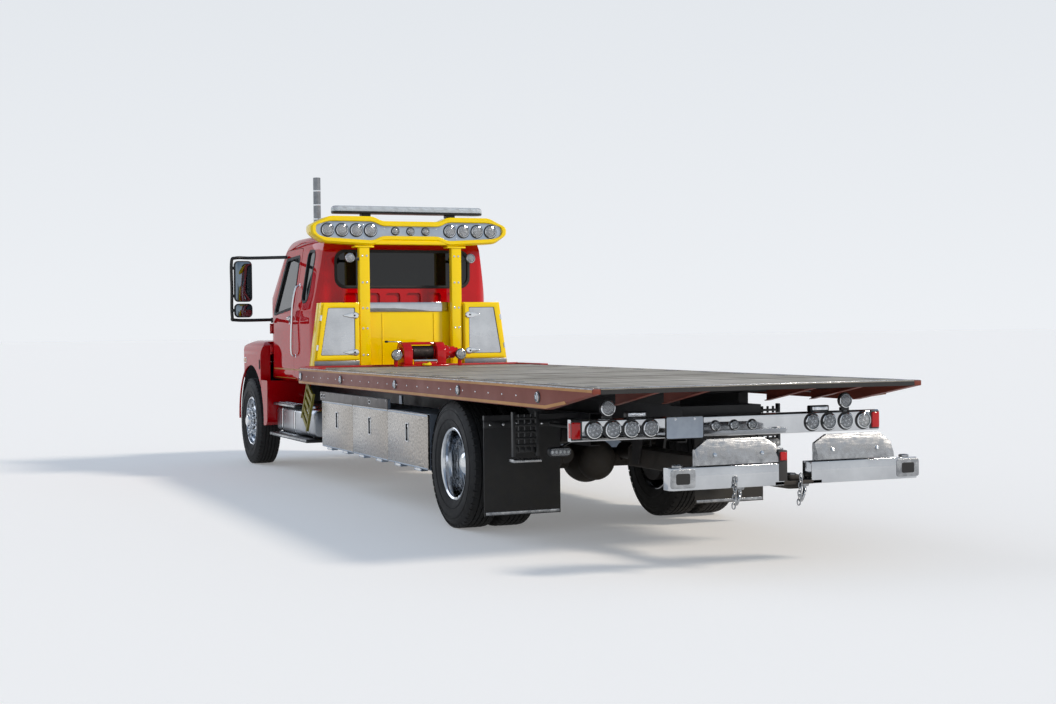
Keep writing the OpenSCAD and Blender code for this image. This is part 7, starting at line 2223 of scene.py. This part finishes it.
    def mast(self):
        """The roof mast in bright pipe, its base and the air horn beside it."""
        x, y = CAB_X + 0.72, CAB_HALF - 0.26
        z0 = ROOF_Z - 0.03
        made = Shape("chrome")
        made.turned((x, y, z0 + 0.06), (0, 0, 1), [(0.036, 0), (0.042, 0), (0.042, 0.578), (0.039, 0.58),
            (0.036, 0.578), (0.036, 0.0)], "kick", 36)
        made.rod((x, y, z0 + 0.05), (0, 0, 1), 0.0362, 0.5, "under", 24)
        made.turned((x, y, z0), (0, 0, 1), [(0, -0.02), (0.08, -0.02), (0.08, 0.03), (0.07, 0.055),
            (0.05, 0.068), (0, 0.07)], "chrome", 40)
        for u, w in circle(6, 0.066):
            made.bolt((x + u, y + w, z0 + 0.052), (0, 0, 1), 0.007, 0.006)
        for h in (0.16, 0.32, 0.48):
            made.turned((x, y, z0 + h), (0, 0, 1), [(0.0422, 0), (0.0445, 0.002), (0.0445, 0.016),
                (0.0422, 0.018), (0.0422, 0)], "chrome", 36)
        made.turned((x - 0.21, y, z0 + 0.084), (1, 0, 0), [(0, 0.02), (0.016, 0.02), (0.02, 0.0),
            (0.024, 0.02), (0.026, 0.06), (0.044, 0.1), (0.044, 0.15), (0.03, 0.17), (0.018, 0.2),
            (0.017, 0.4), (0.022, 0.47), (0.034, 0.52), (0.043, 0.539), (0.04, 0.54), (0.03, 0.522),
            (0.016, 0.48), (0, 0.47)], "chrome", 32)
        made.piece("mast_and_horn", "chassis", "chrome", "roof_mast", crease=35)


# ---------- chassis ----------


def paint_node(name, key):
    """Gives a CAD node that stays one of the truck's finishes."""
    shown = NODES[name]
    shown.data.materials.clear()
    shown.data.materials.append(material(key))
    shown.active_material_index = 0


class TRUCK_OT_chassis(bpy.types.Operator):
    """Finishes the frame, axles, engine, cylinders and glass, and adds brake chambers, hoses and air tanks"""

    bl_idname = "truck.chassis"
    bl_label = "Chassis"

    def execute(self, context):
        finishes = {"chassis_frame": "under", "front_axle": "greasy", "rear_axle": "greasy",
            "drive_shaft": "greasy", "engine_block": "engine", "knuckle_left": "greasy",
            "knuckle_right": "greasy", "tilt_frame": "under", "tilt_barrels": "under", "tilt_rods": "chrome",
            "cab_glass": "privacy", "door_glass_left": "glass", "door_glass_right": "glass", "deck": "deck",
            "side_boxes": "brushed"}
        for name, key in finishes.items():
            paint_node(name, key)
        made = Shape("greasy")
        # differential cover, brake chambers, air tanks
        made.turned((-0.2, 0, AXLE_Z), (-1, 0, 0), [(0, 0.0), (0.17, 0), (0.17, 0.02), (0.15, 0.06),
            (0.1, 0.085), (0, 0.095)], "greasy", 40)
        for u, w in circle(10, 0.155):
            made.bolt((-0.222, u, AXLE_Z + w), (-1, 0, 0), 0.009, 0.007)
        for side in SIDES.values():
            made.turned((-0.33, 0.42 * side, AXLE_Z + 0.02), (1, 0, 0),
                [(0, 0), (0.05, 0.0), (0.072, 0.02), (0.075, 0.05), (0.08, 0.055), (0.08, 0.07),
                (0.075, 0.075), (0.075, 0.13), (0.05, 0.15), (0, 0.155)], "greasy", 32)
            made.tube(smooth_path([(-0.33, 0.42 * side, AXLE_Z + 0.02), (-0.42, 0.4 * side, AXLE_Z + 0.12),
                (-0.45, 0.36 * side, 0.82), (-0.3, 0.34 * side, 0.87)], 6), 0.009, "rubber", 8)
        air_tank = [(0, 0.0), (0.07, 0.01), (0.11, 0.05), (0.12, 0.1), (0.12, 0.6), (0.11, 0.65),
            (0.07, 0.69), (0, 0.7)]
        for y in (0.2, -0.2):
            made.turned((2.95, y, 0.58), (1, 0, 0), air_tank, "under", 36)
        made.piece("axle_fittings", "chassis", "frame_black", crease=40)
        return {"FINISHED"}


# ---------- floor, light and camera ----------

# Each sun: its name, where it shines from, its strength, its width in degrees and its tint
SUNS = (
    ("key", (-11.0, -11.0, 11.5), 2.2, 9.0, "#FFF4E6"),
    ("front", (12.0, 7.0, 9.0), 0.5, 40.0, "#EEF3FF"),
)
FLOOR_HALF = 300.0
PAPER_GLOW = 0.2
LENS_MM = 55.07
SENSOR_MM = 36.0
# The camera in metres from the rear axle, and its yaw, pitch and roll in radians
EYE_PLACE = (-12.387, 5.739, 1.626)
EYE_TURN = (-0.39884, -0.01476, -0.01117)


class TRUCK_OT_stage(bpy.types.Operator):
    """Lays the floor, lights it like a low sun from behind right, and sets the camera"""

    bl_idname = "truck.stage"
    bl_label = "Floor, light and camera"

    def execute(self, context):
        scene = context.scene
        floor = bpy.data.meshes.new("floor")
        corners = [(-FLOOR_HALF, -FLOOR_HALF, 0), (FLOOR_HALF, -FLOOR_HALF, 0), (FLOOR_HALF, FLOOR_HALF, 0),
            (-FLOOR_HALF, FLOOR_HALF, 0)]
        floor.from_pydata(corners, [], [(0, 1, 2, 3)])
        paper = bpy.data.materials.new("pale studio floor")
        paper.use_nodes = True
        tree = paper.node_tree
        tree.nodes.clear()
        shader = node(tree, "ShaderNodeBsdfPrincipled", {"Base Color": linear("#E9E7E3"), "Roughness": 0.9,
            "Specular IOR Level": 0.1})
        # the paper is lifted for the eye, for metal and for glass, and never for the light on the truck
        path = node(tree, "ShaderNodeLightPath").outputs
        seen = maths(tree, "MAXIMUM", path["Is Camera Ray"], path["Is Glossy Ray"])
        seen = maths(tree, "MAXIMUM", seen, path["Is Transmission Ray"])
        glow = maths(tree, "MULTIPLY", seen, PAPER_GLOW)
        lift = node(tree, "ShaderNodeEmission", {"Color": linear("#FFFFFF"), "Strength": glow})
        both = node(tree, "ShaderNodeAddShader", {0: shader.outputs[0], 1: lift.outputs[0]})
        node(tree, "ShaderNodeOutputMaterial", {"Surface": both.outputs[0]})
        floor.materials.append(paper)
        ground = bpy.data.objects.new("floor", floor)
        scene.collection.objects.link(ground)

        world = bpy.data.worlds.new("studio")
        scene.world = world
        world.use_nodes = True
        tree = world.node_tree
        tree.nodes.clear()
        where = node(tree, "ShaderNodeTexCoord").outputs["Generated"]
        height = node(tree, "ShaderNodeSeparateXYZ", {0: where}).outputs[2]
        ramp = node(tree, "ShaderNodeValToRGB", {"Fac": height})
        stops = ramp.color_ramp.elements
        # pale near the horizon, then a soft blue overhead
        stops[0].color = linear("#EDF0F4")
        stops[1].color = linear("#7F93AD")
        stops[1].position = 0.9
        stops.new(0.2).color = linear("#E4E8ED")
        stops.new(0.4).color = linear("#A5B3C4")
        glow = node(tree, "ShaderNodeBackground", {"Color": ramp.outputs[0], "Strength": 1.0})
        node(tree, "ShaderNodeOutputWorld", {"Surface": glow.outputs[0]})

        for name, place, power, width, tone in SUNS:
            light = bpy.data.lights.new(name, "SUN")
            light.energy = power
            light.angle = math.radians(width)
            light.color = linear(tone)[:3]
            lit = bpy.data.objects.new(name, light)
            lit.location = place
            lit.rotation_euler = (Vector((0, 0, 1.2)) - Vector(place)).to_track_quat("-Z", "Y").to_euler()
            scene.collection.objects.link(lit)

        camera = bpy.data.cameras.new("camera")
        camera.sensor_width = SENSOR_MM
        camera.lens = LENS_MM
        camera.clip_end = 800.0
        eye = bpy.data.objects.new("camera", camera)
        yaw, pitch, roll = EYE_TURN
        ahead = Vector((math.cos(yaw) * math.cos(pitch), math.sin(yaw) * math.cos(pitch), math.sin(pitch)))
        right = Vector((math.sin(yaw), -math.cos(yaw), 0.0))
        up = right.cross(ahead)
        turned_right = right * math.cos(roll) + up * math.sin(roll)
        turned_up = up * math.cos(roll) - right * math.sin(roll)
        place = Matrix.Identity(4)
        for column, axis in enumerate((turned_right, turned_up, -ahead)):
            for row in range(3):
                place[row][column] = axis[row]
        place.translation = Vector(EYE_PLACE) + Vector((AXLE_X, 0, 0))
        eye.matrix_world = place
        scene.collection.objects.link(eye)
        scene.camera = eye
        scene.view_settings.view_transform = "Standard"
        return {"FINISHED"}


class VIEW3D_PT_truck(bpy.types.Panel):
    """The tow truck's sizes, colours and build steps"""

    bl_label = "Tow truck"
    bl_space_type = "VIEW_3D"
    bl_region_type = "UI"
    bl_category = "Tow truck"

    def draw(self, context):
        for group in (context.scene.truck_paint, context.scene.truck_wheels, context.scene.truck_lamps,
                context.scene.truck_trim):
            box = self.layout.box()
            for name in group.bl_rna.properties.keys():
                if name not in ("rna_type", "name"):
                    box.prop(group, name)
        for step in STEPS:
            self.layout.operator(step.bl_idname)


GROUPS = {"truck_paint": TruckPaint, "truck_wheels": TruckWheels, "truck_lamps": TruckLamps,
    "truck_trim": TruckTrim}
STEPS = (TRUCK_OT_stage, TRUCK_OT_chassis, TRUCK_OT_deck, TRUCK_OT_headboard, TRUCK_OT_winch, TRUCK_OT_tail,
    TRUCK_OT_underlift, TRUCK_OT_wheels, TRUCK_OT_cab, TRUCK_OT_doors, TRUCK_OT_hood, TRUCK_OT_boxes,
    TRUCK_OT_sides, TRUCK_OT_inside)


def register():
    """Registers the sizes, the steps and the panel."""
    for name, group in GROUPS.items():
        bpy.utils.register_class(group)
        setattr(bpy.types.Scene, name, bpy.props.PointerProperty(type=group))
    for step in (*STEPS, VIEW3D_PT_truck):
        bpy.utils.register_class(step)


def unregister():
    """Removes what register added."""
    for step in reversed((*STEPS, VIEW3D_PT_truck)):
        bpy.utils.unregister_class(step)
    for name, group in reversed(GROUPS.items()):
        delattr(bpy.types.Scene, name)
        bpy.utils.unregister_class(group)


def main():
    """Builds everything."""
    register()
    for step in STEPS:
        family, name = step.bl_idname.split(".")
        getattr(getattr(bpy.ops, family), name)()


if __name__ == "__main__":
    main()
